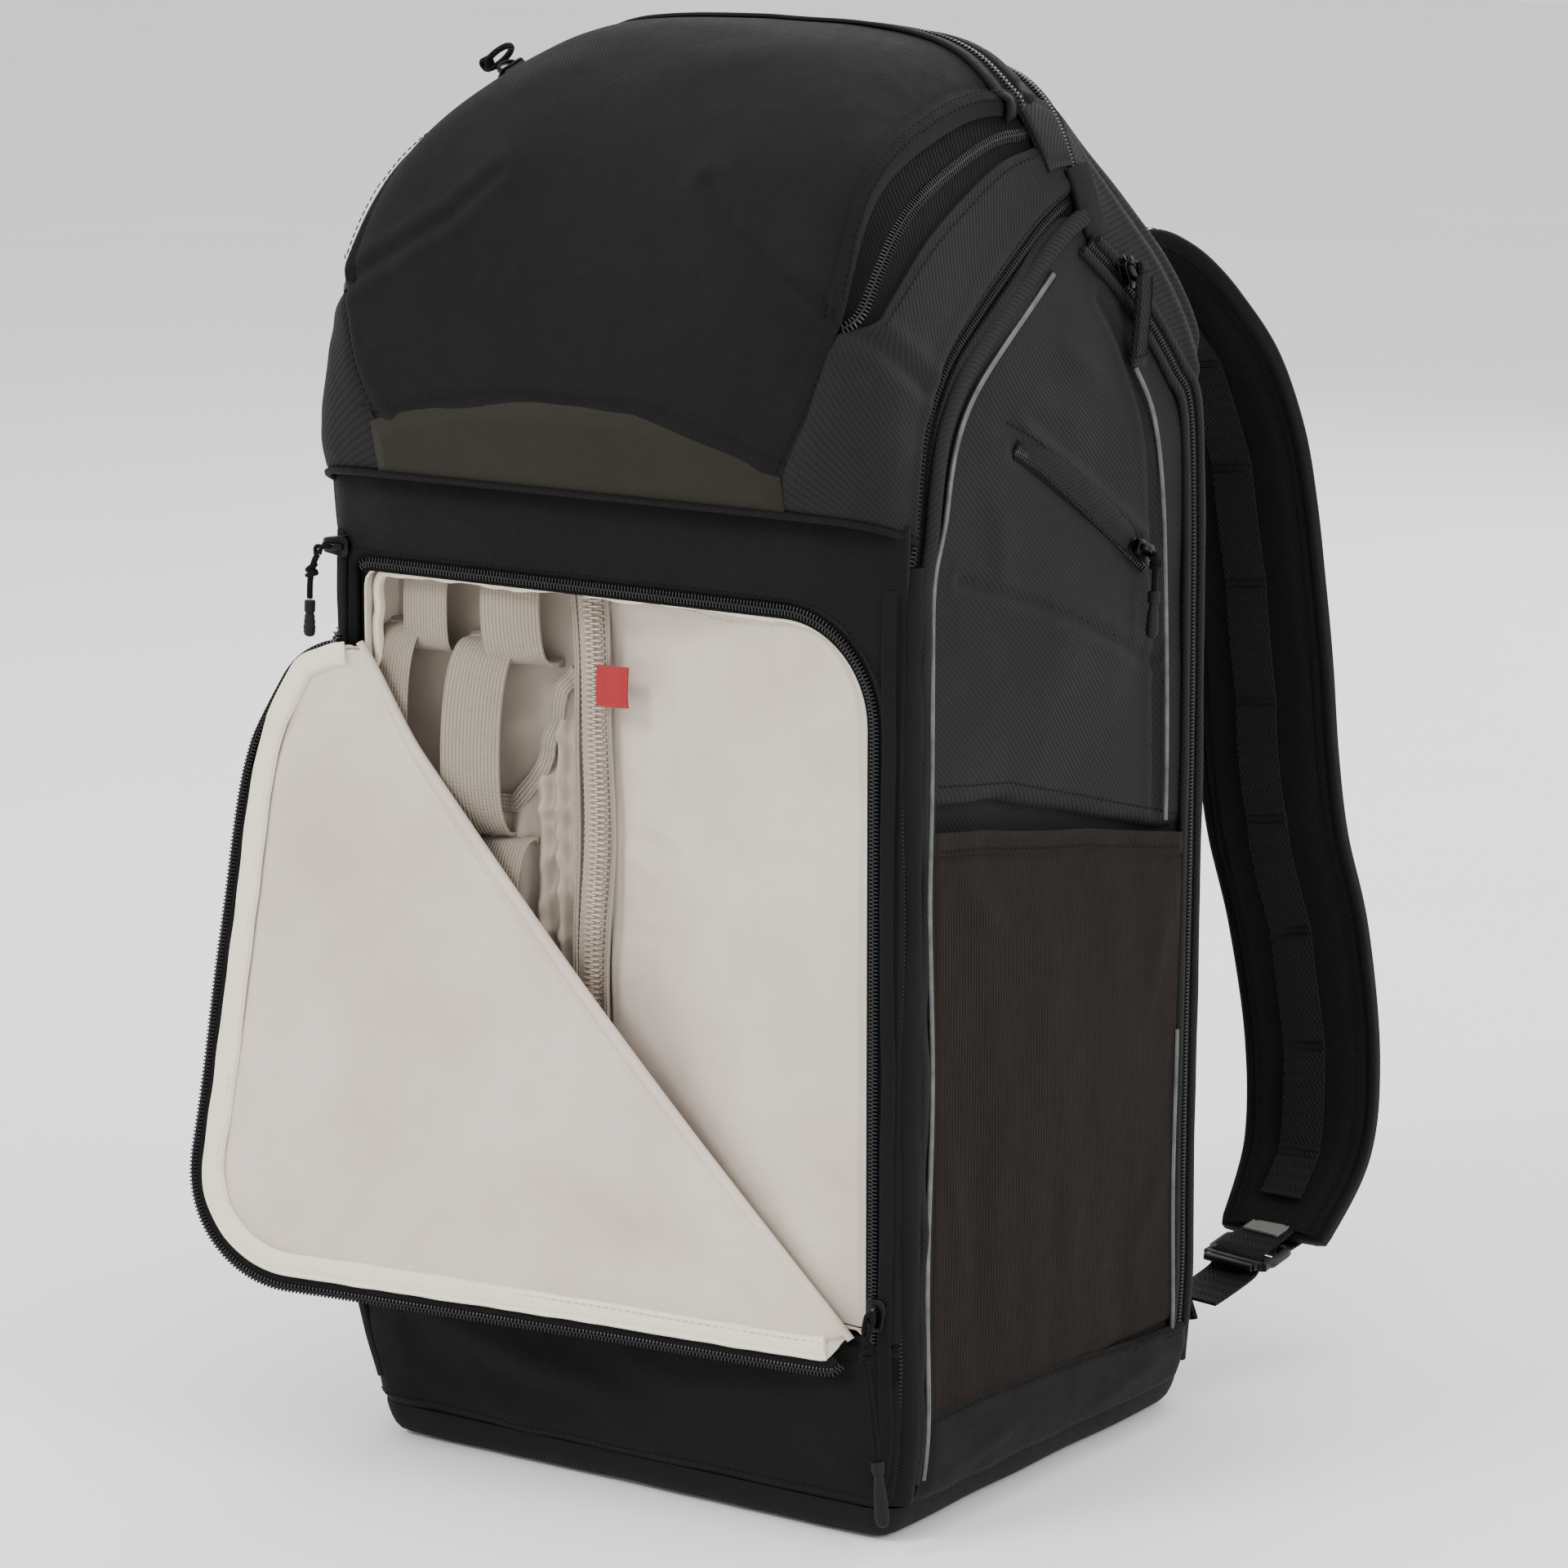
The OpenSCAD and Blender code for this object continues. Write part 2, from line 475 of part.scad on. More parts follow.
// ---------------------------------------------------------------- pullers
// moulded grip hanging from the point p, of length l, along direction v
module grip(p, l, v = [0, 0, -1]) {
  u = unit(v);
  hull() for (q = [[0, 0.62], [0.15, 0.9], [0.9, 1], [1, 0.75]])
    translate(p + u * l * q[0]) sphere(d = grip_d * q[1], $fn = 16);
}
top_cord = [[-4, -8.8, -3], [-5.2, -9.6, -6], [-6.4, -9.8, -10], [-7.4, -9.6, -14], [-8, -9.2, -18], [-8.4, -8.8, -21.5]];
side_cord = [[0, -8.8, -7.6], [0.6, -9.8, -12], [1.2, -10, -18], [2, -9.8, -25], [3, -9.4, -33], [4, -9, -41], [4.8, -8.8, -49], [5.4, -8.6, -56]];
module pull_cord_flap_top() color(black) cord([for (p = top_cord) p + top_slider_at], cord_d);
module pull_grip_flap_top() color(plastic) grip(top_slider_at + [-8.5, -8.7, -24.6], 13.5, [-0.06, 0.02, -1]);
module pull_cord_flap_side() color(black) cord([for (p = side_cord) p + side_slider_at], cord_d);
module pull_grip_flap_side() color(plastic) grip(side_slider_at + [5.6, -8.5, -59.2], 25, [0.09, 0.02, -1]);
module pull_lid() color(black) {
  c = lid_at + lid_up * 9 - lid_dir * 2;
  rr = 7.5;
  cord([for (i = [0 : 10]) let (a = 25 + 31 * i) c + rr * (cos(a) * -lid_dir + sin(a) * 0.8 * lid_side) + rr * lid_dir * 0.2 + lid_up * 2.2], cord_d);
}
module pull_tab_rear_right() color(black)
  translate(rear_at + [8.4, 0, -3]) rotate([5, 0, 0]) translate([0, -6, -38]) {
    cube([2, 12, 34]);
    translate([0, 4.4, 32]) cube([2, 3.2, 5]);
  }
module pull_tab_rear_left() mirror([1, 0, 0]) pull_tab_rear_right();
module pull_pocket_right() color(black) {
  p = pocket_at + [8.6, 1, -2.6];
  cord([for (i = [0 : 4]) p + [0.2 * i, -0.6 * i, -3 * i]], cord_d);
  grip(p + [0.9, -2.8, -15.4], 17, [0.02, -0.12, -1]);
}
module pull_pocket_left() mirror([1, 0, 0]) pull_pocket_right();

// ---------------------------------------------------------------- harness
strap_path = [[66, 14, 487], [72, 24, 491], [80, 37, 483], [88, 53, 465], [94, 71, 440], [99, 84, 408],
              [103, 89, 376], [107, 91, 340], [111, 92, 304], [114, 93, 266], [118, 96, 229], [126, 102, 187],
              [133, 104, 133], [137, 94, 90], [137, 66, 58]];
function strap_at(u) = let (p = curve(strap_path, u)) [p[0], yb + p[1], p[2]];
function strap_half(u) = strap_w / 2 * lookup(u, [[0, 0.72], [2, 0.88], [4, 1], [11, 1], [13, 0.9], [14, 0.72]]);
module strap_pad_right() color(black)
  loft([for (i = [0 : 40])
    let (u = i * 14 / 40, p = strap_at(u),
         t = unit(strap_at(min(14, u + 0.1)) - strap_at(max(0, u - 0.1))),
         w = unit([1, 0, 0] - t * t[0]), n = cross(t, w), h = strap_half(u), d = strap_t / 2)
    [p - w * h - n * d * 0.2, p - w * (h - 4) - n * d, p + w * (h - 4) - n * d, p + w * h - n * d * 0.2,
     p + w * h + n * d * 0.2, p + w * (h - 4) + n * d, p - w * (h - 4) + n * d, p - w * h + n * d * 0.2]]);
module strap_pad_left() mirror([1, 0, 0]) strap_pad_right();

// direction of the pad where it ends at the ladder lock
lock_p = strap_at(14);
lock_t = unit(strap_low - lock_p);
lock_w = unit([1, 0, 0] - lock_t * lock_t[0]);
lock_n = cross(lock_t, lock_w);
module in_lock() multmatrix([[lock_w[0], lock_t[0], lock_n[0], lock_p[0]],
                             [lock_w[1], lock_t[1], lock_n[1], lock_p[1]],
                             [lock_w[2], lock_t[2], lock_n[2], lock_p[2]], [0, 0, 0, 1]]) children();
// frame with two slots and a middle bar
module ladder_lock_right() color(plastic) in_lock() translate([0, 11, 0])
  difference() {
    translate([-17, 0, -2.2]) cube([34, 26, 4.4]);
    translate([-webbing_w / 2 - 0.8, 4, -6]) cube([webbing_w + 1.6, 6.5, 12]);
    translate([-webbing_w / 2 - 0.8, 14.5, -6]) cube([webbing_w + 1.6, 7, 12]);
  }
module ladder_lock_left() mirror([1, 0, 0]) ladder_lock_right();
// webbing from the lock to the pack's lower corner, and its free tail
web_len = norm(strap_low - lock_p);
module strap_webbing_right() color(black) in_lock() {
  translate([-webbing_w / 2, 3.5, 2.5]) cube([webbing_w, 33, 1.5]);
  translate([-webbing_w / 2, 27.5, -4.1]) cube([webbing_w, web_len - 29, 1.5]);
  translate([-webbing_w / 2, 26.5, -4.1]) cube([webbing_w, 1.5, 1.5]);
}
module strap_webbing_left() mirror([1, 0, 0]) strap_webbing_right();

// carrying handle, hanging from two sewn ends behind the top edge
handle_y = yb + 3.4;
module grab_handle() color(black)
  front_plate(handle_y, handle_y + 3.4)
      polygon([[-handle_w / 2, 484], [-handle_w / 2, 459], [-handle_w / 2 + 14, 443], [handle_w / 2 - 14, 443], [handle_w / 2, 459], [handle_w / 2, 484],
               [handle_w / 2 - 13, 484], [handle_w / 2 - 13, 465], [handle_w / 2 - 20, 457], [-handle_w / 2 + 20, 457], [-handle_w / 2 + 13, 465], [-handle_w / 2 + 13, 484]]);

base_panel();
back_shell();
top_rear_panel();
side_wall_left();
side_wall_right();
side_upper_left();
side_upper_right();
stretch_pocket_left();
stretch_pocket_right();
side_pocket_zips();
back_foam();
camera_dividers();
back_pads();
strap_anchors();
clamshell_zip();
rear_zip();
front_lower_panel();
front_upper_band();
door_gussets();
flap_fixed_panel();
flap_zip_track();
organizer_panel();
organizer_pocket();
gathered_pocket();
inner_pocket_zip();
elastic_loops();
red_tab();
hood_shell();
hood_gusset_left();
hood_gusset_right();
hood_band();
hood_inner_panel();
lid_zip();
flap_panel();
flap_binding();
flap_zip_edge();
slider_flap_top();
slider_flap_side();
slider_lid();
slider_rear_left();
slider_rear_right();
slider_pocket_left();
slider_pocket_right();
pull_cord_flap_top();
pull_grip_flap_top();
pull_cord_flap_side();
pull_grip_flap_side();
pull_lid();
pull_tab_rear_left();
pull_tab_rear_right();
pull_pocket_left();
pull_pocket_right();
strap_pad_left();
strap_pad_right();
strap_webbing_left();
strap_webbing_right();
ladder_lock_left();
ladder_lock_right();
grab_handle();
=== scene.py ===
# Camera backpack: visual model and studio scene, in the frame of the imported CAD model.
import math
import numpy as np
import bpy
from mathutils import Vector, Matrix


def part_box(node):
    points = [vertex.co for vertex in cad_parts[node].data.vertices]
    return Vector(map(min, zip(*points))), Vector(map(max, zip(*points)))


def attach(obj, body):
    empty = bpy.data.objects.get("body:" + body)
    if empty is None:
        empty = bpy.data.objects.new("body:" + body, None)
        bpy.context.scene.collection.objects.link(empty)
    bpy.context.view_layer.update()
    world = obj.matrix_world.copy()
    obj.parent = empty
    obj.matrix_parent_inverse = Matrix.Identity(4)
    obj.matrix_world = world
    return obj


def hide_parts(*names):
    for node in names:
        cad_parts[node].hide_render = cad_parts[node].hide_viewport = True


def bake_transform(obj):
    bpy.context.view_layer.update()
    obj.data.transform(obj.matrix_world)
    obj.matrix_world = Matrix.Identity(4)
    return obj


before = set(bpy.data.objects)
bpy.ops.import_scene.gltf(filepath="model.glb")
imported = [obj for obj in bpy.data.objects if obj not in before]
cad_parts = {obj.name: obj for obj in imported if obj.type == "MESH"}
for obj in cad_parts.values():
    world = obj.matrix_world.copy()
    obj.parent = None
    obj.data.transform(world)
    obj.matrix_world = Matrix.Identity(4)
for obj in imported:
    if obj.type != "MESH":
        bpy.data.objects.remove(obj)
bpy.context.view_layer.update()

# ------------------------------------------------------------------ dimensions, mm
HW, YF, YB, HZ = 140.0, -119.0, 119.0, 412.0
DOOR_Y = YF + 11.5
rng = np.random.RandomState(11)


def A(*v):
    return np.array(v, float)


def unit(v):
    v = np.asarray(v, float)
    return v / np.maximum(np.linalg.norm(v, axis=-1, keepdims=True), 1e-12)


def sstep(a, b, x):
    u = np.clip((np.asarray(x, float) - a) / (b - a), 0, 1)
    return u * u * (3 - 2 * u)


def pchip(xs, ys):
    xs, ys = np.array(xs, float), np.array(ys, float)
    h, d = np.diff(xs), np.diff(ys) / np.diff(xs)
    m = np.zeros(len(xs))
    for i in range(1, len(xs) - 1):
        if d[i - 1] * d[i] > 0:
            w1, w2 = 2 * h[i] + h[i - 1], h[i] + 2 * h[i - 1]
            m[i] = (w1 + w2) / (w1 / d[i - 1] + w2 / d[i])
    m[0], m[-1] = d[0], d[-1]

    def f(x):
        x = np.asarray(x, float)
        i = np.clip(np.searchsorted(xs, x, side="right") - 1, 0, len(xs) - 2)
        t = np.clip((x - xs[i]) / h[i], 0, 1)
        t2, t3 = t * t, t * t * t
        return ((2 * t3 - 3 * t2 + 1) * ys[i] + (t3 - 2 * t2 + t) * h[i] * m[i]
                + (3 * t2 - 2 * t3) * ys[i + 1] + (t3 - t2) * h[i] * m[i + 1])
    return f


def cat(P, u):
    P = np.array(P, float)
    u = np.asarray(u, float)
    n = len(P)
    i = np.clip(np.floor(u).astype(int), 0, n - 2)
    f = (u - i)[..., None]
    a, b, c, d = P[np.clip(i - 1, 0, n - 1)], P[i], P[i + 1], P[np.clip(i + 2, 0, n - 1)]
    return .5 * (2 * b + (c - a) * f + (2 * a - 5 * b + 4 * c - d) * f * f + (3 * b - a - 3 * c + d) * f ** 3)


_hw = lambda z: HW + np.interp(z, [0, 40, 425, 455, 480, 500, 521, 560], [-6, 0, 0, -5, -12, -18, -23, -32])


def half_w(z):
    z = np.asarray(z, float)
    return (_hw(z - 9) + _hw(z - 4.5) + 2 * _hw(z) + _hw(z + 4.5) + _hw(z + 9)) / 6


# smooth sums of waves with a fixed seed: height in -1..1, wavelength about L mm
_waves = {}


def noise(P, L, seed=0):
    P = np.asarray(P, float)
    key = (L, seed)
    if key not in _waves:
        r = np.random.RandomState(1000 + seed)
        d = unit(r.normal(size=(9, 3)))
        _waves[key] = (d * (2 * np.pi / (L * r.uniform(.65, 1.7, 9)))[:, None], r.uniform(0, 6.28, 9))
    k, ph = _waves[key]
    s = 0
    for i in range(9):
        s = s + np.sin(P @ k[i] + ph[i])
    return s / 4.2


def resample(L, step=None, n=None, closed=False):
    L = np.asarray(L, float)
    if closed:
        L = np.vstack([L, L[:1]])
    d = np.concatenate([[0], np.cumsum(np.linalg.norm(np.diff(L, axis=0), axis=1))])
    if n is None:
        n = max(2, int(round(d[-1] / step)) + 1)
    s = np.linspace(0, d[-1], n)
    out = np.stack([np.interp(s, d, L[:, i]) for i in range(L.shape[1])], 1)
    return out[:-1] if closed else out


def smoothline(pts, step=3.0):
    """Catmull-Rom through the points, evenly spaced."""
    pts = np.array(pts, float)
    return resample(cat(pts, np.linspace(0, len(pts) - 1, 24 * len(pts))), step)


def dline(P, L):
    """Distance from every point of P to the polyline L, and the share of its length there."""
    P = np.asarray(P, float)
    L = np.asarray(L, float)
    best = np.full(P.shape[:-1], 1e9)
    at = np.zeros(P.shape[:-1])
    seg = np.linalg.norm(np.diff(L, axis=0), axis=1)
    tot = max(seg.sum(), 1e-9)
    s0 = 0.0
    for a, b, l in zip(L[:-1], L[1:], seg):
        if l < 1e-9:
            continue
        ab = b - a
        t = np.clip(((P - a) @ ab) / (l * l), 0, 1)
        d = np.linalg.norm(P - a - t[..., None] * ab, axis=-1)
        m = d < best
        best = np.where(m, d, best)
        at = np.where(m, (s0 + t * l) / tot, at)
        s0 += l
    return best, at


def groove(P, L, depth, w, puff=.35):
    d, _ = dline(P, L)
    return -depth * np.exp(-(d / w) ** 2) + puff * depth * np.exp(-((d - 2.6 * w) / (1.3 * w)) ** 2)


def fold(P, L, height, w, fade=.25):
    d, s = dline(P, L)
    e = np.clip(np.minimum(s, 1 - s) / fade, 0, 1) if fade else 1
    return height * np.exp(-(d / w) ** 2) * e


def normals(P, cu=False, cv=False, ref=None):
    def grad(X, ax, c):
        if c:
            return (np.roll(X, -1, ax) - np.roll(X, 1, ax)) / 2
        return np.gradient(X, axis=ax)
    n = unit(np.cross(grad(P, 0, cu), grad(P, 1, cv)))
    if ref is not None:
        c = np.asarray(ref, float)
        if np.sum(n * (P - c)) < 0:
            n = -n
    return n


def sag(V):
    """The empty lower left corner of the bag draws in a little."""
    V = np.array(V, float)
    w = sstep(98, 6, V[:, 2]) * sstep(-62, -134, V[:, 0]) * sstep(125, 60, V[:, 1])
    V[:, 0] += 13 * w
    return V


class Piece:
    def __init__(s):
        s.v, s.f, s.uv, s.m, s.w, s.n = [], [], [], [], [], 0

    def add(s, V, F, UV, mat=0, wear=None):
        s.v.append(np.asarray(V, float).reshape(-1, 3))
        s.w.append(np.zeros(len(s.v[-1])) if wear is None else np.asarray(wear, float).ravel())
        s.f.append(np.asarray(F, int) + s.n)
        s.uv.append(np.asarray(UV, float).reshape(-1, 2))
        s.m.append(np.full(len(F), mat, int))
        s.n += len(s.v[-1])
        return s

    def grid(s, P, mat=0, cu=False, cv=False, uv=None, out=None, N=None, wear=None, flip=None):
        nu, nv = P.shape[:2]
        I, J = np.meshgrid(np.arange(nu if cu else nu - 1), np.arange(nv if cv else nv - 1), indexing="ij")
        I1, J1 = I + 1, J + 1
        F = np.stack([(I % nu) * nv + J % nv, (I1 % nu) * nv + J % nv, (I1 % nu) * nv + J1 % nv, (I % nu) * nv + J1 % nv], -1).reshape(-1, 4)
        if uv is None:
            du = np.linalg.norm(np.roll(P, -1, 0) - P, axis=2).mean(1)
            dv = np.linalg.norm(np.roll(P, -1, 1) - P, axis=2).mean(0)
            U = np.concatenate([[0], np.cumsum(du)])
            Vv = np.concatenate([[0], np.cumsum(dv)])
            g = lambda a, b: np.stack([U[a], Vv[b]], -1)
        else:
            g = lambda a, b: uv[a % nu, b % nv]
        UV = np.stack([g(I, J), g(I1, J), g(I1, J1), g(I, J1)], -2).reshape(-1, 4, 2)
        if flip is None:
            flip = False
            if N is None and out is not None:
                n = unit(np.cross(np.gradient(P, axis=0), np.gradient(P, axis=1)))
                c = np.asarray(out, float)
                flip = np.sum(n * (P - c)) < 0
            elif N is not None:
                n = np.cross(np.gradient(P, axis=0), np.gradient(P, axis=1))
                flip = np.sum(n * N) < 0
        if flip:
            F, UV = F[:, ::-1], UV[:, ::-1]
        return s.add(P.reshape(-1, 3), F, UV * .001, mat, wear)

    def shell(s, P, t, mats=(0, 0, 0), N=None, ref=None, cu=False, cv=False, uv=None, wear=None):
        """A sheet with a thickness t below its outer face P."""
        if N is None:
            N = normals(P, cu, cv, ref)
        t = np.asarray(t, float)
        if t.ndim == 2:
            t = t[..., None]
        Q = P - N * t
        s.grid(P, mats[0], cu, cv, uv, N=N, wear=wear)
        s.grid(Q, mats[1], cu, cv, uv, N=-N)
        rims = []
        if not cv:
            rims += [np.stack([P[:, 0], Q[:, 0]], 1), np.stack([Q[:, -1], P[:, -1]], 1)]
        if not cu:
            rims += [np.stack([Q[0], P[0]], 1), np.stack([P[-1], Q[-1]], 1)]
        k = 0
        c = P.reshape(-1, 3).mean(0)
        for R in rims:
            n = np.cross(np.gradient(R, axis=0), np.gradient(R, axis=1))
            s.grid(R, mats[2], flip=bool(np.sum(n * (R - c)) < 0))
        return s

    def sweep(s, path, sec, up=None, mat=0, closed=False, caps=True, scale=None, uvk=1.0):
        """sec: closed outline of (side, up) pairs in mm, carried along the path."""
        path = np.asarray(path, float)
        n = len(path)
        if closed:
            T = unit(np.roll(path, -1, 0) - np.roll(path, 1, 0))
        else:
            T = unit(np.gradient(path, axis=0))
        if up is None:
            U = np.zeros((n, 3))
            a = np.cross(T[0], [0, 0, 1.0])
            if np.linalg.norm(a) < .1:
                a = np.cross(T[0], [0, 1.0, 0])
            U[0] = unit(a)
            for i in range(1, n):
                v = U[i - 1] - T[i] * (U[i - 1] @ T[i])
                U[i] = unit(v)
        else:
            U = np.broadcast_to(np.asarray(up, float), (n, 3))
            U = unit(U - T * np.sum(U * T, 1)[:, None])
        S = np.cross(T, U)
        sec = np.asarray(sec, float)
        if sec.ndim == 2:
            sec = np.broadcast_to(sec, (n,) + sec.shape)
        if scale is not None:
            sec = sec * np.asarray(scale, float).reshape(n, 1, -1)
        P = path[:, None] + S[:, None] * sec[..., :1] + U[:, None] * sec[..., 1:]
        s._tube(P, path, mat, closed)
        if caps and not closed:
            m = P.shape[1]
            for e, fl in ((0, True), (n - 1, False)):
                F = np.arange(m)[None]
                uv = sec[e] * .001
                n0 = np.cross(P[e, 1] - P[e, 0], P[e, 2] - P[e, 1])
                want = -T[e] if fl else T[e]
                c = P[e].mean(0)
                nn = sum(np.cross(P[e, i] - c, P[e, (i + 1) % m] - c) for i in range(m))
                if nn @ want < 0:
                    F, uv = F[:, ::-1], uv[::-1]
                s.add(P[e], F, uv, mat)
        return s

    def _tube(s, P, path, mat, closed):
        n = np.cross(np.gradient(P, axis=0), (np.roll(P, -1, 1) - np.roll(P, 1, 1)) / 2)
        fl = np.sum(n * (P - P.mean(1, keepdims=True))) < 0
        s.grid(P, mat, cu=closed, cv=True, flip=bool(fl))

    def copies(s, V, F, O, X, Y, Z, mat=0):
        """Copies of a small template at origins O with axes X, Y, Z; F is a list of faces."""
        V = np.asarray(V, float)
        n, m = len(O), len(V)
        P = O[:, None] + X[:, None] * V[None, :, :1] + Y[:, None] * V[None, :, 1:2] + Z[:, None] * V[None, :, 2:]
        base = s.n
        for size in sorted({len(f) for f in F}):
            f = np.array([q for q in F if len(q) == size])
            FF = (f[None] + (np.arange(n) * m)[:, None, None]).reshape(-1, size)
            s.f.append(FF + base)
            s.uv.append(np.tile((V[f][:, :, :2] * .001).reshape(-1, 2), (n, 1)))
            s.m.append(np.full(len(FF), mat, int))
        s.v.append(P.reshape(-1, 3))
        s.w.append(np.zeros(n * m))
        s.n += n * m
        return s

    def build(s, name, mats, body, repl=(), slot=None, sharp=42, flat=False, do_sag=True):
        V = np.concatenate(s.v)
        if do_sag:
            V = sag(V)
        V = V * .001
        loops = np.concatenate([f.ravel() for f in s.f])
        tot = np.concatenate([np.full(len(f), f.shape[1]) for f in s.f])
        start = np.concatenate([[0], np.cumsum(tot)[:-1]])
        me = bpy.data.meshes.new(name)
        me.vertices.add(len(V))
        me.vertices.foreach_set("co", V.astype(np.float32).ravel())
        me.loops.add(len(loops))
        me.loops.foreach_set("vertex_index", loops.astype(np.int32))
        me.polygons.add(len(tot))
        me.polygons.foreach_set("loop_start", start.astype(np.int32))
        me.polygons.foreach_set("material_index", np.concatenate(s.m).astype(np.int32))
        me.polygons.foreach_set("use_smooth", np.full(len(tot), not flat))
        me.update(calc_edges=True)
        lay = me.uv_layers.new(name="Cloth")
        lay.uv.foreach_set("vector", np.concatenate(s.uv).astype(np.float32).ravel())
        at = me.attributes.new("wear", "FLOAT", "POINT")
        at.data.foreach_set("value", np.concatenate(s.w).astype(np.float32))
        if not flat:
            me.set_sharp_from_angle(angle=math.radians(sharp))
        ob = bpy.data.objects.new(name, me)
        bpy.context.scene.collection.objects.link(ob)
        for m in (mats if isinstance(mats, (list, tuple)) else [mats]):
            me.materials.append(m)
        if body:
            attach(ob, body)
        if repl:
            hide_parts(*repl)
        return ob


def circle(r, n=8, sx=1.0, sy=1.0):
    a = np.linspace(0, 2 * np.pi, n, endpoint=False)
    return np.stack([r * sx * np.cos(a), r * sy * np.sin(a)], 1)


def rrect(w, h, r, n=3):
    """Rounded rectangle outline, width w and height h."""
    r = min(r, w / 2 - 1e-3, h / 2 - 1e-3)
    out = []
    for cx, cy, a0 in ((w / 2 - r, h / 2 - r, 0), (-w / 2 + r, h / 2 - r, 90), (-w / 2 + r, -h / 2 + r, 180), (w / 2 - r, -h / 2 + r, 270)):
        for i in range(n + 1):
            a = math.radians(a0 + 90 * i / n)
            out.append((cx + r * math.cos(a), cy + r * math.sin(a)))
    return np.array(out)


def loft(rings, closed_ends=True):
    """rings (n, m, 3) to vertices and faces."""
    n, m = rings.shape[:2]
    F = []
    for i in range(n - 1):
        for j in range(m):
            F.append((i * m + j, (i + 1) * m + j, (i + 1) * m + (j + 1) % m, i * m + (j + 1) % m))
    F.append(tuple(range(m)))
    F.append(tuple((n - 1) * m + j for j in range(m - 1, -1, -1)))
    return rings.reshape(-1, 3), F


# small templates: a stitch and a zip tooth, lying along X with Z up
def _stitch_template(l, r):
    rings = []
    for x, k, z in ((-.5, .25, -.4), (-.36, 1, .3), (.36, 1, .3), (.5, .25, -.4)):
        rings.append([(x * l, r * k * 1.25 * c, z * r + r * k * d) for c, d in ((1, 0), (0, 1), (-1, 0), (0, -1))])
    return loft(np.array(rings))


def _tooth_template(l, w, h):
    rings = []
    for y, kx, kz in ((-.5, .55, .45), (-.3, .95, .9), (.1, 1, 1), (.42, .8, 1.15), (.5, .45, .7)):
        rings.append([(a * kx * l / 2, y * w, b * kz * h / 2) for a, b in ((1, -.6), (.7, .9), (-.7, .9), (-1, -.6))])
    return loft(np.array(rings))


STITCH = {}
_st = _stitch_template(2.5, .27)


def surf_line(P, N, L):
    """Moves the points of L onto the surface grid P with normals N; returns points and normals."""
    Pf, Nf = P.reshape(-1, 3), N.reshape(-1, 3)
    out, nn = [], []
    for p in L:
        i = np.argmin(((Pf - p) ** 2).sum(1))
        n = Nf[i]
        out.append(p - n * ((p - Pf[i]) @ n))
        nn.append(n)
    return np.array(out), unit(np.array(nn))


def stitches(body, P, N, L, offs=(0,), pitch=3.3, closed=False, key=None, lift=.12):
    """Rows of thread along the line L on the surface grid P."""
    L = resample(L, pitch, closed=closed)
    if len(L) < 3:
        return
    Q, n = surf_line(P, N, L)
    T = unit(np.gradient(Q, axis=0))
    S = unit(np.cross(n, T))
    n = unit(np.cross(T, S))
    pc = STITCH.setdefault(key or body, Piece())
    for o in offs:
        O = Q + S * o + n * lift
        pc.copies(_st[0], _st[1], O, T, S, n)


def zip_teeth(pc, path, up, mat=0, pitch=1.55, w=2.5, h=1.5, gap=.0, l=.95, lift=0.0):
    """Two rows of coil turns that mesh along the path."""
    path = resample(path, pitch / 2)
    T = unit(np.gradient(path, axis=0))
    if callable(up):
        U = up(path)
    else:
        U = np.broadcast_to(np.asarray(up, float), path.shape) if np.ndim(up) == 1 else resample(up, n=len(path))
    U = unit(U - T * np.sum(U * T, 1)[:, None])
    S = np.cross(U, T)
    V, F = _tooth_template(l, w, h)
    for o, sg in ((0, 1.0), (1, -1.0)):
        q = slice(o, None, 2)
        pc.copies(V, F, path[q] + S[q] * (-sg * (w * .32 + gap)) + U[q] * lift, T[q] * sg, S[q] * sg, U[q], mat)
    return pc


def tape_zip(name, path, up, body, mats, width=12.0, teeth=True, lift=.5, repl=(), slot="zip_tape", do_sag=True, tooth=(2.5, 1.5), blendto=None):
    """A zip: a woven tape with thicker edges and a coil down its middle."""
    path = np.asarray(path, float)
    pc = Piece()
    a = width / 2
    sec = np.array([[-a, -.3], [a, -.3], [a, .25], [a - .8, .35], [a - 1.2, .1], [1.6, .1],
                    [-1.6, .1], [-a + 1.2, .1], [-a + .8, .35], [-a, .25]])
    p2 = resample(path, 3.0)
    u2 = up(p2) if callable(up) else (np.asarray(up, float) if np.ndim(up) == 1 else resample(up, n=len(p2)))
    pc.sweep(p2, sec, u2, mat=0)
    if teeth:
        zip_teeth(pc, path, up, mat=1, lift=lift + .1, w=tooth[0], h=tooth[1])
    return pc.build(name, mats, body, repl, slot, do_sag=do_sag)

# ------------------------------------------------------------------ camera and studio
cam_data = bpy.data.cameras.new("camera")
cam_data.sensor_width = 36
cam_data.lens = 127.5
cam_data.clip_start, cam_data.clip_end = .05, 60
cam = bpy.data.objects.new("camera", cam_data)
bpy.context.scene.collection.objects.link(cam)
az, el = math.radians(34.5), math.radians(11.5)
target = Vector((.010, -.009, .276))
back = Vector((math.sin(az) * math.cos(el), -math.cos(az) * math.cos(el), math.sin(el)))
cam.location = target + back * 2.3
cam.rotation_euler = (-back).to_track_quat("-Z", "Y").to_euler()
bpy.context.scene.camera = cam


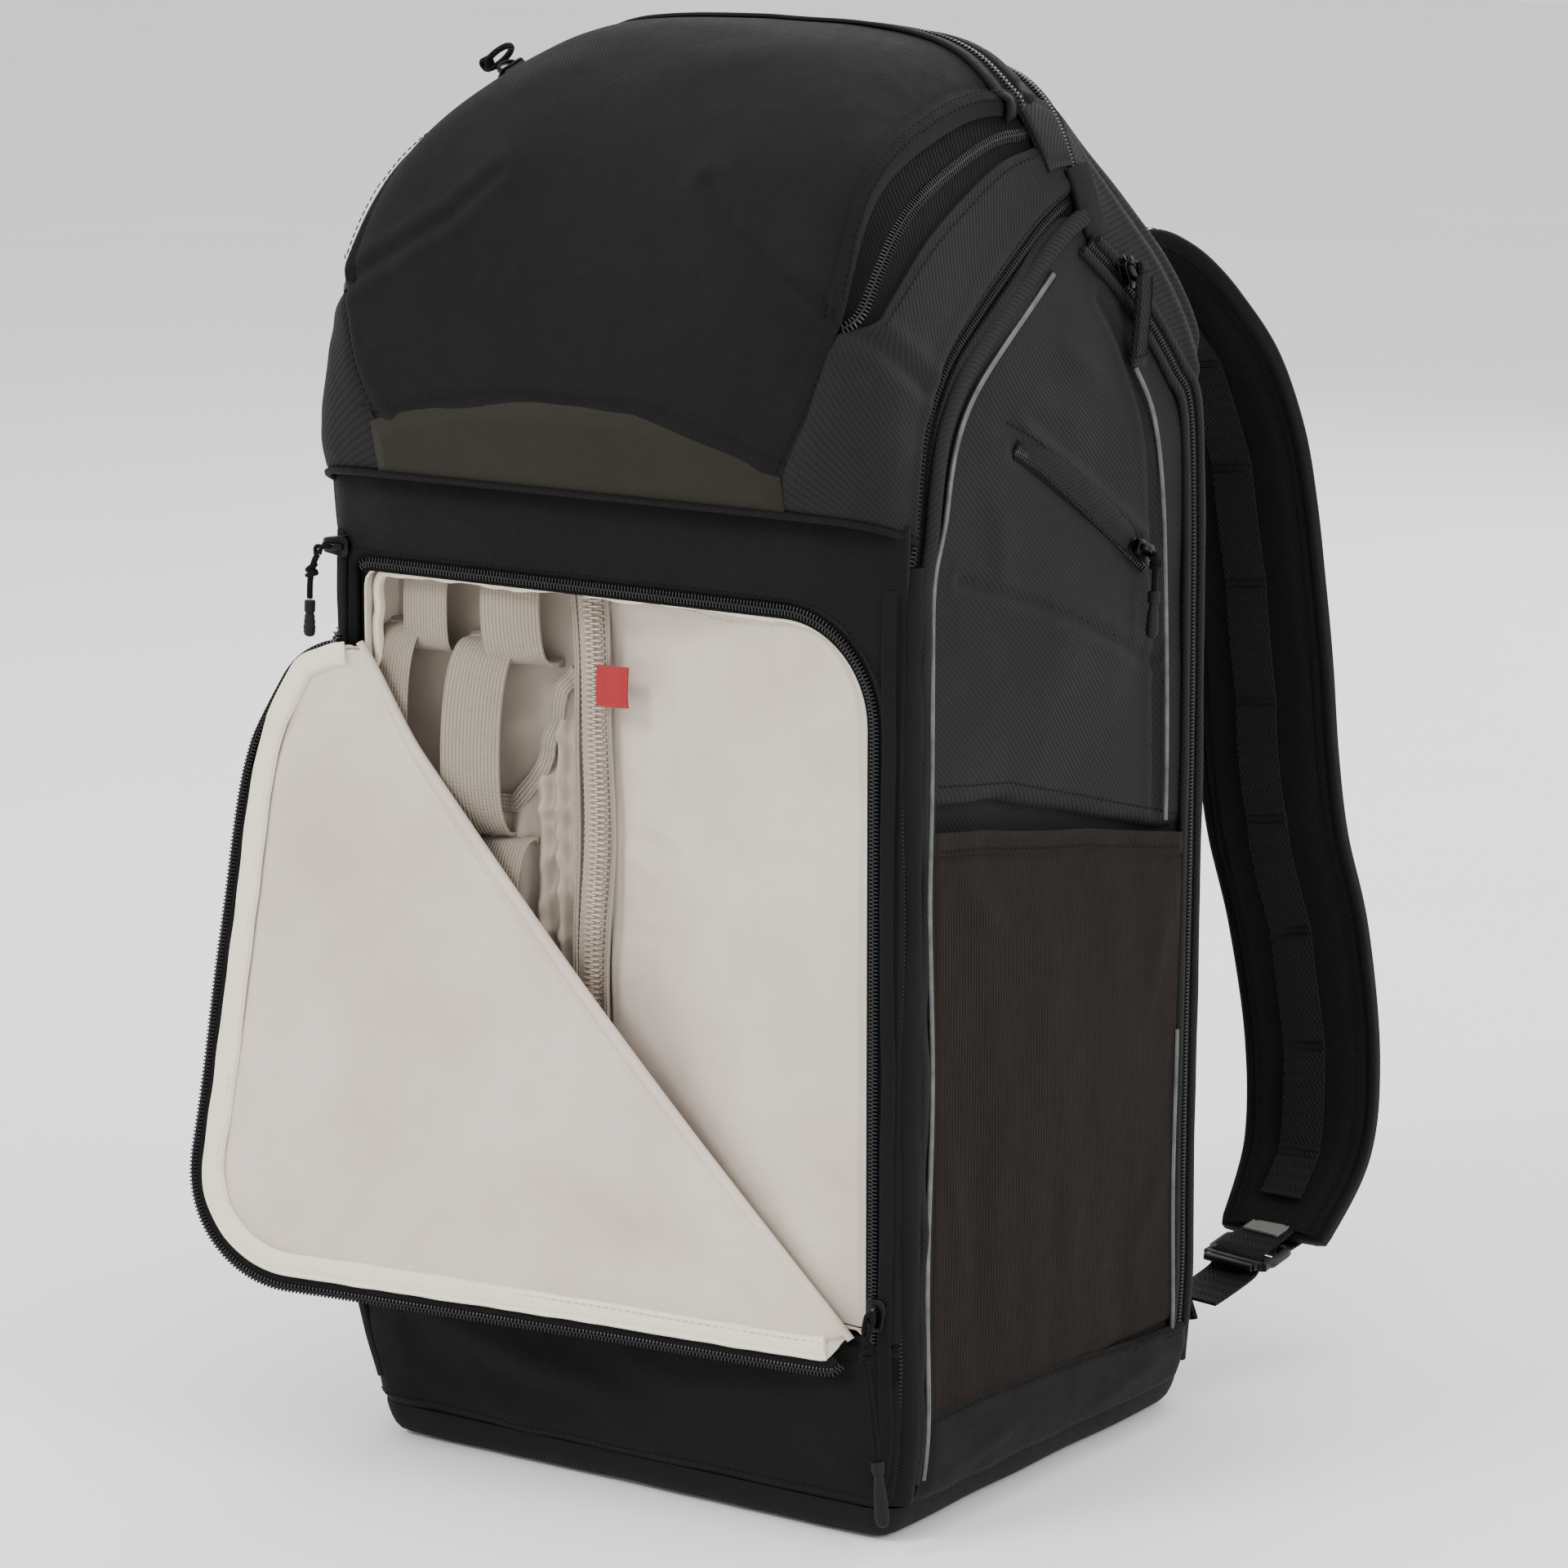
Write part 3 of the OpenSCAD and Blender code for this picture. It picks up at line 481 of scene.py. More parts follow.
def area(name, loc, size, power, aim=(0, 0, .3), color=(1, 1, 1)):
    d = bpy.data.lights.new(name, "AREA")
    d.shape = "RECTANGLE"
    d.size, d.size_y = size
    d.energy = power
    d.color = color
    o = bpy.data.objects.new(name, d)
    o.location = loc
    o.rotation_euler = (Vector(aim) - Vector(loc)).to_track_quat("-Z", "Y").to_euler()
    bpy.context.scene.collection.objects.link(o)


area("key", (-1.1, -2.3, 2.5), (1.1, .9), 70)
area("side", (2.6, -.5, 1.5), (1.0, 1.6), 46)
area("top", (.2, .2, 2.9), (2.2, 2.2), 36)
area("left_fill", (-2.3, -.6, .9), (1.4, 1.6), 14)
area("back_fill", (-.2, 2.6, 1.5), (1.8, 1.6), 34)

world = bpy.data.worlds.new("studio")
bpy.context.scene.world = world
world.use_nodes = True
world.node_tree.nodes["Background"].inputs["Color"].default_value = (1, 1, 1, 1)
world.node_tree.nodes["Background"].inputs["Strength"].default_value = 1.2


# ------------------------------------------------------------------ materials
def lin(c):
    return tuple((x / 255 / 12.92) if x / 255 <= .04045 else ((x / 255 + .055) / 1.055) ** 2.4 for x in c) + (1.0,)


class Nodes:
    def __init__(s, name):
        s.mat = bpy.data.materials.new(name)
        s.mat.use_nodes = True
        s.t = s.mat.node_tree
        s.t.nodes.clear()
        s.out = s.new("ShaderNodeOutputMaterial")
        s.b = s.new("ShaderNodeBsdfPrincipled")
        s.link(s.b.outputs[0], s.out.inputs[0])

    def new(s, kind, **kw):
        n = s.t.nodes.new(kind)
        for k, v in kw.items():
            setattr(n, k, v)
        return n

    def link(s, a, b):
        s.t.links.new(a, b)

    def put(s, sock, v):
        if isinstance(v, (int, float)):
            sock.default_value = v
        elif isinstance(v, tuple):
            sock.default_value = v
        else:
            s.link(v, sock)

    def math(s, op, a, b=0.0, c=0.0, clamp=False):
        n = s.new("ShaderNodeMath", operation=op, use_clamp=clamp)
        for i, v in enumerate((a, b, c)):
            s.put(n.inputs[i], v)
        return n.outputs[0]

    def noise(s, vec, scale, detail=3.0, rough=.55):
        n = s.new("ShaderNodeTexNoise")
        s.link(vec, n.inputs["Vector"])
        n.inputs["Scale"].default_value = scale
        n.inputs["Detail"].default_value = detail
        n.inputs["Roughness"].default_value = rough
        return n.outputs["Fac"]

    def mix(s, f, a, b):
        n = s.new("ShaderNodeMix", data_type="RGBA")
        s.put(n.inputs[0], f)
        s.put(n.inputs[6], a)
        s.put(n.inputs[7], b)
        return n.outputs[2]

    def ramp(s, v, lo, hi, a=0.0, b=1.0):
        n = s.new("ShaderNodeMapRange")
        s.put(n.inputs[0], v)
        for i, x in ((1, lo), (2, hi), (3, a), (4, b)):
            n.inputs[i].default_value = x
        return n.outputs[0]

    def bump(s, h, dist, strength=1.0, prev=None):
        n = s.new("ShaderNodeBump")
        n.inputs["Distance"].default_value = dist
        n.inputs["Strength"].default_value = strength
        s.put(n.inputs["Height"], h)
        if prev is not None:
            s.link(prev, n.inputs["Normal"])
        return n.outputs[0]


def weave(g, kind, p):
    """Height field of a cloth structure with thread pitch p (mm): 0..1."""
    if kind.endswith("_o"):
        tc = g.new("ShaderNodeTexCoord").outputs["Object"]
        sp = g.new("ShaderNodeSeparateXYZ")
        g.link(tc, sp.inputs[0])
        u = g.math("ADD", sp.outputs[0], g.math("MULTIPLY", sp.outputs[1], .9))
        v = sp.outputs[2]
        kind = kind[:-2]
    else:
        m = g.new("ShaderNodeUVMap", uv_map="Cloth").outputs[0]
        sp = g.new("ShaderNodeSeparateXYZ")
        g.link(m, sp.inputs[0])
        u, v = sp.outputs[0], sp.outputs[1]
    k = math.pi * 1000 / p
    su = g.math("SINE", g.math("MULTIPLY", u, k))
    sv = g.math("SINE", g.math("MULTIPLY", v, k))
    au, av = g.math("ABSOLUTE", su), g.math("ABSOLUTE", sv)
    if kind == "plain":
        c = g.math("GREATER_THAN", g.math("MULTIPLY", su, sv), 0.0)
        return g.math("ADD", g.math("MULTIPLY", au, c), g.math("MULTIPLY", av, g.math("SUBTRACT", 1.0, c)))
    if kind == "twill":
        d = g.math("SINE", g.math("MULTIPLY", g.math("ADD", u, v), k * .7))
        return g.math("MULTIPLY", g.math("ADD", g.math("MULTIPLY", d, .5), .5), g.math("ADD", .45, g.math("MULTIPLY", av, .55)))
    if kind == "knit":
        z = g.math("SINE", g.math("ADD", g.math("MULTIPLY", u, k), g.math("MULTIPLY", av, 1.2)))
        return g.math("ADD", g.math("MULTIPLY", z, .35), .5)
    if kind == "rib":
        r = g.math("POWER", av, .6)
        return g.math("MULTIPLY", r, g.math("ADD", .72, g.math("MULTIPLY", au, .28)))
    if kind == "web":
        z = g.math("SINE", g.math("ADD", g.math("MULTIPLY", v, k), g.math("MULTIPLY", g.math("PINGPONG", g.math("MULTIPLY", u, 1000.0), 3.0), 2.4)))
        return g.math("ADD", g.math("MULTIPLY", z, .45), .5)
    if kind == "mesh":
        q = g.math("MULTIPLY", g.math("ADD", su, 1.0), g.math("ADD", sv, 1.0))
        return g.math("MULTIPLY", q, .25)
    return au


def fabric(name, rgb, kind="plain", pitch=.8, rough=.78, bump=.25, var=.18, contrast=.35, sheen=.12, wear=(95, 95, 92), wearamt=.5,
           crumple=.0, spec=.35, tint=None, dist=.00035, fuzz=.35):
    g = Nodes(name)
    h = weave(g, kind, pitch)
    tc = g.new("ShaderNodeTexCoord").outputs["Object"]
    big = g.noise(tc, 14, 3, .6)
    mid = g.noise(tc, 120, 4, .62)
    fine = g.noise(tc, 1500, 2, .5)
    base = lin(rgb)
    if max(rgb) < 90:
        base = tuple(c * .36 for c in base[:3]) + (1.0,)
        spec, sheen, wear, wearamt = spec * .24, sheen * .16, tuple(c * .5 for c in wear), wearamt * .5
        tint = tint or tuple(c * .72 for c in rgb)
    dark = tuple(c * (1 - contrast) for c in base[:3]) + (1.0,)
    light = tuple(min(1, c * (1 + contrast)) for c in base[:3]) + (1.0,)
    f = g.math("ADD", g.math("MULTIPLY", h, .55), g.math("ADD", g.math("MULTIPLY", fine, .45), g.math("MULTIPLY", g.math("SUBTRACT", mid, .5), .5)), clamp=True)
    col = g.mix(f, dark, light)
    t = tint or tuple(min(255, c * 1.28 + 4) for c in rgb)
    col = g.mix(g.ramp(big, .35, .75, 0, var * 2), col, lin(t))
    at = g.new("ShaderNodeAttribute", attribute_name="wear", attribute_type="GEOMETRY").outputs["Fac"]
    wf = g.math("MULTIPLY", g.math("MULTIPLY", at, wearamt), g.math("ADD", .35, mid), clamp=True)
    col = g.mix(wf, col, lin(wear))
    g.link(col, g.b.inputs["Base Color"])
    g.link(g.math("ADD", g.ramp(mid, .25, .75, rough - .07, rough + .07), g.math("MULTIPLY", h, -.05)), g.b.inputs["Roughness"])
    g.b.inputs["Specular IOR Level"].default_value = spec
    g.b.inputs["Sheen Weight"].default_value = sheen
    g.b.inputs["Sheen Roughness"].default_value = .45
    hh = g.math("ADD", h, g.math("MULTIPLY", fine, fuzz))
    n = g.bump(hh, dist, min(1.0, bump * 2))
    if crumple:
        n = g.bump(g.noise(tc, 32, 4, .55), .006, crumple, n)
    else:
        n = g.bump(mid, .0009, .35, n)
    g.link(n, g.b.inputs["Normal"])
    return g.mat


def plastic(name, rgb, rough=.42, grain=.3, wearcol=(70, 70, 70), metallic=0.0, spec=.5, scale=900):
    g = Nodes(name)
    tc = g.new("ShaderNodeTexCoord").outputs["Object"]
    n1, n2 = g.noise(tc, scale, 3, .6), g.noise(tc, 60, 4, .6)
    base, tint = lin(rgb), lin(tuple(min(255, c * 1.25 + 3) for c in rgb))
    if max(rgb) < 60:
        base, tint, spec = tuple(c * .4 for c in base[:3]) + (1.0,), tuple(c * .4 for c in tint[:3]) + (1.0,), spec * .7
    g.link(g.mix(g.ramp(n2, .35, .8, 0, .5), base, tint), g.b.inputs["Base Color"])
    geo = g.new("ShaderNodeAttribute", attribute_name="wear", attribute_type="GEOMETRY").outputs["Fac"]
    g.link(g.math("ADD", g.ramp(n2, .3, .7, rough - .08, rough + .1), g.math("MULTIPLY", geo, -.1)), g.b.inputs["Roughness"])
    g.b.inputs["Metallic"].default_value = metallic
    g.b.inputs["Specular IOR Level"].default_value = spec
    g.link(g.bump(n1, .00012, grain), g.b.inputs["Normal"])
    return g.mat


M_ = {
    "shell": fabric("shell_fabric_dense_weave", (31, 30, 31), "plain", .85, .74, .22, .12, .26, .10),
    "twill": fabric("twill_fabric_side", (49, 49, 48), "twill", 1.0, .8, .3, .16, .42, .14),
    "stretch": fabric("stretch_knit", (41, 32, 25), "knit", 1.0, .82, .22, .14, .25, .16),
    "band": fabric("band_coated_fabric", (58, 54, 44), "plain", .55, .62, .12, .16, .14, .06, spec=.4),
    # the lining's colour is clouded at random towards a darker tint (var .4): painted soft shade standing in for fold
    # shading and satin sheen
    "lining": fabric("lining_taffeta", (206, 194, 181), "plain", .55, .44, .12, .4, .045, .12, wear=(160, 152, 145), wearamt=.35,
                     crumple=.2, spec=.45, tint=(180, 166, 153), dist=.00015),
    "lining_flap": fabric("lining_flap_taffeta", (203, 190, 178), "plain", .55, .45, .12, .4, .04, .12, wear=(165, 158, 150), wearamt=.3,
                          crumple=.16, spec=.4, tint=(176, 162, 150), dist=.00015),
    # darker copy of the lining taffeta: painted shade for the organizer wall and pleated pocket, which sit in the
    # pocket's shade
    "lining_painted_shade": fabric("lining_taffeta_painted_shade", (158, 145, 132), "plain", .55, .52, .12, .25, .05, .12, wear=(120, 110, 100), wearamt=.35,
                           crumple=.14, spec=.4, tint=(146, 133, 120), dist=.00015),
    "lining_dark": fabric("lining_grey_main", (118, 114, 110), "plain", .7, .7, .15, .2, .1, .1, wear=(90, 88, 85), crumple=.08, dist=.0002),
    "binding": fabric("binding_tape_ribbed", (226, 216, 192), "rib", .9, .7, .3, .12, .09, .15, wear=(180, 172, 160), wearamt=.3),
    "binding_black": fabric("binding_tape_black", (26, 26, 26), "rib", .9, .7, .35, .12, .4, .12),
    # elastic colour kept darker than its own taupe: partly its own tone, partly painted shade for the loops inside the
    # pocket
    "elastic": fabric("elastic_webbing_ribbed_tone_and_painted_shade", (140, 129, 115), "rib", 1.7, .78, .8, .12, .26, .15, wear=(112, 102, 92), wearamt=.3, dist=.0006, tint=(155, 143, 129)),
    "ztape": fabric("zip_tape_black", (22, 22, 22), "twill", .9, .8, .4, .1, .4, .1),
    "ztape_light": fabric("zip_tape_light", (152, 138, 126), "twill", .9, .75, .4, .12, .12, .12),
    "mesh": fabric("air_mesh_open", (24, 24, 24), "mesh_o", 2.6, .9, .95, .1, .75, .1, dist=.0011),
    "strap": fabric("strap_fabric", (34, 32, 30), "plain", .9, .85, .3, .12, .3, .14),
    "web": fabric("webbing_nylon", (38, 37, 36), "web", 1.1, .62, .7, .1, .45, .1, dist=.0005),
    "divider": fabric("divider_loop_fabric", (112, 108, 104), "knit_o", 1.3, .92, .6, .2, .2, .3, dist=.0005),
    "foamcover": fabric("foam_panel_cover", (72, 71, 72), "plain_o", 1.0, .85, .4, .15, .25, .2),
    "red": fabric("label_ribbon_red", (150, 2, 18), "rib", .7, .55, .35, .1, .14, .1, wear=(190, 40, 50), wearamt=.3, tint=(170, 4, 24)),
    "label": fabric("label_patch_grey", (95, 95, 92), "plain", .7, .7, .3, .1, .2, .1),
    "coil": plastic("zip_coil_nylon", (24, 24, 24), .38, .2),
    "coil_light": plastic("zip_coil_light", (168, 154, 140), .45, .2),
    "metal": plastic("slider_painted_metal", (20, 20, 21), .3, .25, metallic=.55, scale=1500),
    "acetal": plastic("lock_plastic_acetal", (24, 24, 24), .46, .5),
    "rubber": plastic("grip_rubber", (24, 24, 24), .66, .7, spec=.3),
    "cord": fabric("cord_sheath_braid", (24, 24, 24), "twill", .8, .75, .7, .1, .4, .1),
    "thread": plastic("thread_black", (27, 27, 27), .75, .3, spec=.15),
    "thread_light": plastic("thread_light", (176, 169, 158), .7, .3),
}


def reflective():
    g = Nodes("reflective_piping")
    tc = g.new("ShaderNodeTexCoord").outputs["Object"]
    n = g.noise(tc, 2600, 2, .5)
    m = g.noise(tc, 90, 3, .6)
    g.link(g.mix(g.ramp(m, .3, .75), lin((62, 64, 63)), lin((96, 98, 96))), g.b.inputs["Base Color"])
    g.link(g.ramp(n, .3, .7, .3, .45), g.b.inputs["Roughness"])
    g.b.inputs["Metallic"].default_value = .35
    g.link(g.bump(n, .0001, .5), g.b.inputs["Normal"])
    return g.mat


M_["piping"] = reflective()


def floor_material():
    g = Nodes("studio_floor")
    tc = g.new("ShaderNodeTexCoord").outputs["Object"]
    n = g.noise(tc, 3, 3, .5)
    g.link(g.mix(n, lin((236, 236, 237)), lin((242, 242, 242))), g.b.inputs["Base Color"])
    g.b.inputs["Roughness"].default_value = .85
    return g.mat


fl = Piece()
xs = np.linspace(-9000, 9000, 5)
fl.grid(np.stack(np.meshgrid(xs, xs, [0.0], indexing="ij"), -1)[:, :, 0], flip=False)
floor = fl.build("studio_floor", floor_material(), None, do_sag=False)

# ------------------------------------------------------------------ hood, in rib and station coordinates
HP = [(YF - 15 + a, HZ + b) for a, b in ((0, 0), (-6, 28), (-5, 58), (3, 95), (24, 134), (58, 161), (98, 176), (142, 177), (178, 165))]
HQ = [(YF + a, HZ + b) for a, b in ((11, -10), (14, 12), (24, 33), (44, 53), (74, 70), (104, 85), (130, 98), (150, 106), (163, 110))]
RP = [(YF + a, HZ + b) for a, b in ((163.5, 165), (190, 145), (214, 116), (232, 84), (238, 58))]
RQ = [(YF + a, HZ + b) for a, b in ((163.5, 110), (171, 90), (192, 62), (207, 36), (218, 13))]
K10 = np.arange(10.0)
ffx, ffg = pchip(K10, [0, .40, .65, .80, .88, .93, .965, .985, .995, 1]), pchip(K10, [0, 0, .01, .03, .08, .17, .33, .55, .80, 1])
rfx, rfg = pchip(K10, [0, .30, .50, .64, .74, .82, .89, .94, .975, 1]), pchip(K10, [0, .01, .035, .08, .15, .26, .42, .62, .82, 1])
HOOD_C, REAR_C = A(0, -45, 470), A(0, 1, 422)


def rib(k, w, P, Q):
    a = np.abs(k)
    fx, fg = ffx(a) * (1 - w) + rfx(a) * w, ffg(a) * (1 - w) + rfg(a) * w
    yz = P * (1 - fg)[..., None] + Q * fg[..., None]
    return np.stack([np.sign(k) * half_w(Q[..., 1]) * fx, yz[..., 0], yz[..., 1]], -1)


def hood(k, t):
    k, t = np.broadcast_arrays(np.asarray(k, float), np.asarray(t, float))
    return rib(k, sstep(.3, .8, t), cat(HP, np.clip(t, 0, 1) * 8), cat(HQ, np.clip(t, 0, 1) * 8))


def rear(k, t):
    k, t = np.broadcast_arrays(np.asarray(k, float), np.asarray(t, float))
    return rib(k, 1 - sstep(.2, 1, t), cat(RP, np.clip(t, 0, 1) * 4), cat(RQ, np.clip(t, 0, 1) * 4))


def kline(pts, n=40):
    """A line on the hood through (k, t) points."""
    p = np.array(pts, float)
    d = np.concatenate([[0], np.cumsum(np.hypot(np.diff(p[:, 0]) * 14, np.diff(p[:, 1]) * 300))])
    s = np.linspace(0, d[-1], n)
    return hood(np.interp(s, d, p[:, 0]), np.interp(s, d, p[:, 1]))


k_edge = pchip([0, .04, .175, .30, .325, .5, .65, .79, .84, 1.0], [2.02, 2.1, 2.9, 3.95, 4.3, 5.15, 5.75, 6.1, 6.25, 6.3])   # edge of the crown
k_gus = pchip([0, .04, .175, .30, .335, .36, .5, .65, .79, .84, 1.0], [2.02, 2.1, 2.9, 3.95, 5.6, 6.1, 6.8, 7.05, 7.15, 7.2, 7.2])  # inner edge of the gusset
DART = [(1.05, .46), (1.5, .405), (2.4, .355), (3.1, .333), (3.95, .312)]
CREASE = [(3.95, .312), (5.2, .318), (6.6, .315), (8.2, .31)]


def crown():
    nt, nk = 190, 150
    t = np.linspace(0, 1, nt)
    u = np.linspace(-1, 1, nk)
    T, U = np.meshgrid(t, u, indexing="ij")
    K = U * k_edge(T)
    P = hood(K, T)
    N = normals(P, ref=HOOD_C)
    h = .9 * noise(P, 150, 1) + .35 * noise(P, 60, 2) + .10 * noise(P, 26, 3)
    edge = (1 - np.abs(U)) * k_edge(T) * 14
    h = h * sstep(0, 22, edge)
    for sx in (1, -1):
        L = kline([(k * sx, tt) for k, tt in DART])
        h += groove(P, L, 1.5 if sx > 0 else 1.2, 2.6, .55)
        d, s = dline(P, L)
        h += 2.2 * np.exp(-(d / 16) ** 2) * (.3 + .7 * (1 - s)) * (d > 0)
        # rolled edge over the lid zip
        e = np.abs(U * k_edge(T) - sx * k_edge(T)) * 12
        onz = sstep(.30, .34, T) * sstep(.88, .85, T)
        h += onz * (1.5 * np.exp(-((e - 5) / 3.0) ** 2) - 1.3 * np.exp(-(e / 1.6) ** 2) - .55 * np.exp(-((e - 9.5) / 1.3) ** 2))
        h += (1 - onz) * (-1.1 * np.exp(-(e / 2.0) ** 2) + .5 * np.exp(-((e - 4.5) / 3) ** 2))
    # soft drape folds near the shoulders
    for k0, t0, k1, t1, hh, w in ((-1.2, .2, -2.3, .42, .9, 9), (.4, .24, 1.6, .30, .8, 8), (-3.2, .3, -4.4, .5, 1.0, 8), (2.0, .24, 3.3, .29, .9, 6),
                                  (-.4, .62, 2.5, .72, .8, 14), (3.4, .42, 4.6, .60, .8, 7), (-2.6, .55, -.6, .66, .8, 13)):
        h += fold(P, kline([(k0, t0), ((k0 + k1) / 2, (t0 + t1) / 2 + .012), (k1, t1)]), hh, w, .45)
    # lower hem turned under
    h += -1.4 * np.exp(-(T / .010) ** 2)
    # seam above the band
    seam = kline([(-2.6, .105), (-2.1, .118), (-.75, .158), (-.2, .167), (.55, .165), (2.55, .083)], 70)
    h += groove(P, seam, .9, 1.8, .3)
    P2 = P + N * h[..., None]
    wear = .55 * np.exp(-(edge / 2.5) ** 2) + .25 * np.exp(-(dline(P, kline(DART))[0] / 2.5) ** 2) + .12 * sstep(.4, 1, noise(P, 45, 9))
    pc = Piece()
    pc.shell(P2, 2.2 + .0 * T, (0, 1, 0), N=N, wear=wear)
    ob = pc.build("hood_crown", [M_["shell"], M_["lining_dark"]], "front_door", ("hood_shell",), "shell_fabric")
    N2 = normals(P2, ref=HOOD_C)
    for sx in (1, -1):
        L = kline([(sx * (float(k_edge(tt)) - .42), tt) for tt in np.linspace(.325, .87, 50)], 120)
        stitches("front_door", P2, N2, L, (-.8, 3.0) if sx > 0 else (.8, -3.0))
        L = kline([(sx * (float(k_edge(tt)) - .18), tt) for tt in np.linspace(.0, .30, 30)], 60)
        stitches("front_door", P2, N2, L, (-1.2 * sx,))
        stitches("front_door", P2, N2, kline([(k * sx, tt) for k, tt in DART], 60), (2.6 * sx, -2.6 * sx))
    stitches("front_door", P2, N2, seam, (1.6, 4.2))
    return P2, N2


CROWN = crown()


def gusset(sx):
    nt, nk = 170, 60
    t = np.linspace(0, 1, nt)
    u = np.linspace(0, 1, nk)
    T, U = np.meshgrid(t, u, indexing="ij")
    K = k_gus(T) + (9 - k_gus(T)) * U
    P = hood(K * sx, T)
    N = normals(P, ref=HOOD_C)
    e0, e1 = U * (9 - k_gus(T)) * 13, (1 - U) * (9 - k_gus(T)) * 13
    h = .8 * noise(P, 90, 12) * sstep(0, 14, e0) * sstep(0, 10, e1)
    h += -1.0 * np.exp(-(e0 / 1.8) ** 2) - 2.2 * np.exp(-(e1 / 2.2) ** 2) + 1.3 * np.exp(-((e1 - 6) / 3.5) ** 2)
    h += groove(P, hood(np.array([c[0] for c in CREASE]) * sx, [c[1] for c in CREASE]), 1.3, 3.4, .7)
    h += fold(P, kline([(sx * 5.5, .10), (sx * 7.3, .17), (sx * 8.6, .2)]), 1.1, 7, .4)
    h += fold(P, kline([(sx * 4.2, .22), (sx * 6.2, .25), (sx * 8.2, .255)]), 1.2, 7, .4)
    h += fold(P, kline([(sx * 3.6, .04), (sx * 5.4, .07), (sx * 8.0, .06)]), 1.0, 7, .4)
    h += -1.4 * np.exp(-(T / .012) ** 2)
    P2 = P + N * h[..., None]
    wear = .5 * np.exp(-(e1 / 4) ** 2) + .3 * np.exp(-(e0 / 2.5) ** 2)
    pc = Piece()
    pc.shell(P2, 2.0 + 0 * T, (0, 1, 0), N=N, wear=wear)
    side = "right" if sx > 0 else "left"
    pc.build("hood_gusset_" + side, [M_["twill"], M_["lining_dark"]], "front_door", ("hood_gusset_" + side,), "twill_fabric")
    N2 = normals(P2, ref=HOOD_C)
    stitches("front_door", P2, N2, kline([(sx * 8.72, tt) for tt in np.linspace(.02, .99, 60)], 140), (0,))
    stitches("front_door", P2, N2, kline([(sx * (float(k_gus(tt)) + .2), tt) for tt in np.linspace(.35, .87, 50)], 120), (0,))
    # the sunk channel of the lid zip
    tt = np.linspace(.312, .885, 130)
    uu = np.linspace(0, 1, 12)
    TT, UU = np.meshgrid(tt, uu, indexing="ij")
    a, b = k_edge(TT) - .35, k_gus(TT) + .3
    Pz = hood((a + (b - a) * UU) * sx, TT)
    Nz = normals(Pz, ref=HOOD_C)
    Pz = Pz + Nz * (-2.4 + .5 * np.cos(UU * 2 * np.pi * 2))[..., None]
    pz = Piece()
    pz.shell(Pz, .8 + 0 * TT, (0, 0, 0), N=Nz)
    mid = hood((k_edge(tt) * .45 + k_gus(tt) * .55) * sx, tt)
    _, nm = surf_line(P, N, mid)
    mid = mid - nm * 1.5
    zip_teeth(pz, resample(mid, 1.0), resample(nm, n=len(resample(mid, 1.0))), 1, w=3.0, h=1.9, l=1.0, pitch=1.7)
    return pz


ZIPS = Piece()
for sx in (1, -1):
    gz = gusset(sx)
    gz.build("lid_zip_" + ("right" if sx > 0 else "left"), [M_["ztape"], M_["coil"]], "front_door",
             ("lid_zip",) if sx > 0 else (), "zip_tape")


def lid_back():
    """The lid zip where it crosses behind the crown, with the rest of the panel behind it."""
    uu = np.linspace(-1, 1, 120)
    mid = hood(6.7 * uu, .875 + 0 * uu)
    # a thin tape on the crown with a coil; the crown's rear strip covers its edge
    P, N = CROWN
    q, n = surf_line(P, N, hood(6.2 * uu, .875 + 0 * uu))
    pc = Piece()
    pc.sweep(q + n * .5, np.array([[-6, -.3], [6, -.3], [6, .2], [5.2, .3], [-5.2, .3], [-6, .2]]), n, 0)
    zip_teeth(pc, resample(q + n * .9, 1.0), resample(n, n=len(resample(q, 1.0))), 1, w=3.0, h=1.7, l=1.0, pitch=1.7)
    for o in (-9.5, 9.5):
        S = unit(np.cross(n, unit(np.gradient(q, axis=0))))
        pc.sweep(q + S * o + n * .2, np.array([[-3.8, -.3], [3.8, -.3], [3.8, .5], [3.0, 1.2], [-3.0, 1.2], [-3.8, .5]]), n, 2)
    pc.build("lid_zip_rear", [M_["ztape"], M_["coil"], M_["shell"]], "front_door", (), "zip_tape")


lid_back()


def band():
    nk, nt = 120, 34
    k = np.linspace(-2.48, 2.2, nk)
    top = np.interp(k, [-2.48, -2.1, -.75, -.3, .5, 2.2], [.098, .112, .149, .157, .155, .072])
    U = np.linspace(0, 1, nt)
    K, UU = np.meshgrid(k, U, indexing="ij")
    T = .002 + (top[:, None] - .002) * UU
    P = hood(K, T)
    N = normals(P, ref=HOOD_C)
    L = np.abs(P[..., 0])
    ex = np.minimum(K + 2.48, 2.2 - K) * 38
    ey = np.minimum(UU, 1 - UU) * (top[:, None] * 330)
    e = np.minimum(ex, ey)
    h = .35 + 2.0 * sstep(0, 12, e) + .25 * noise(P, 60, 21) * sstep(2, 12, e) - .7 * np.exp(-(e / 1.0) ** 2)
    P2 = P + N * h[..., None]
    pc = Piece()
    pc.shell(P2, 1.6 + 0 * T, (0, 0, 0), N=N, wear=.4 * np.exp(-(e / 1.5) ** 2))
    pc.build("hood_band", [M_["band"]], "front_door", ("hood_band",), "band_fabric")


band()


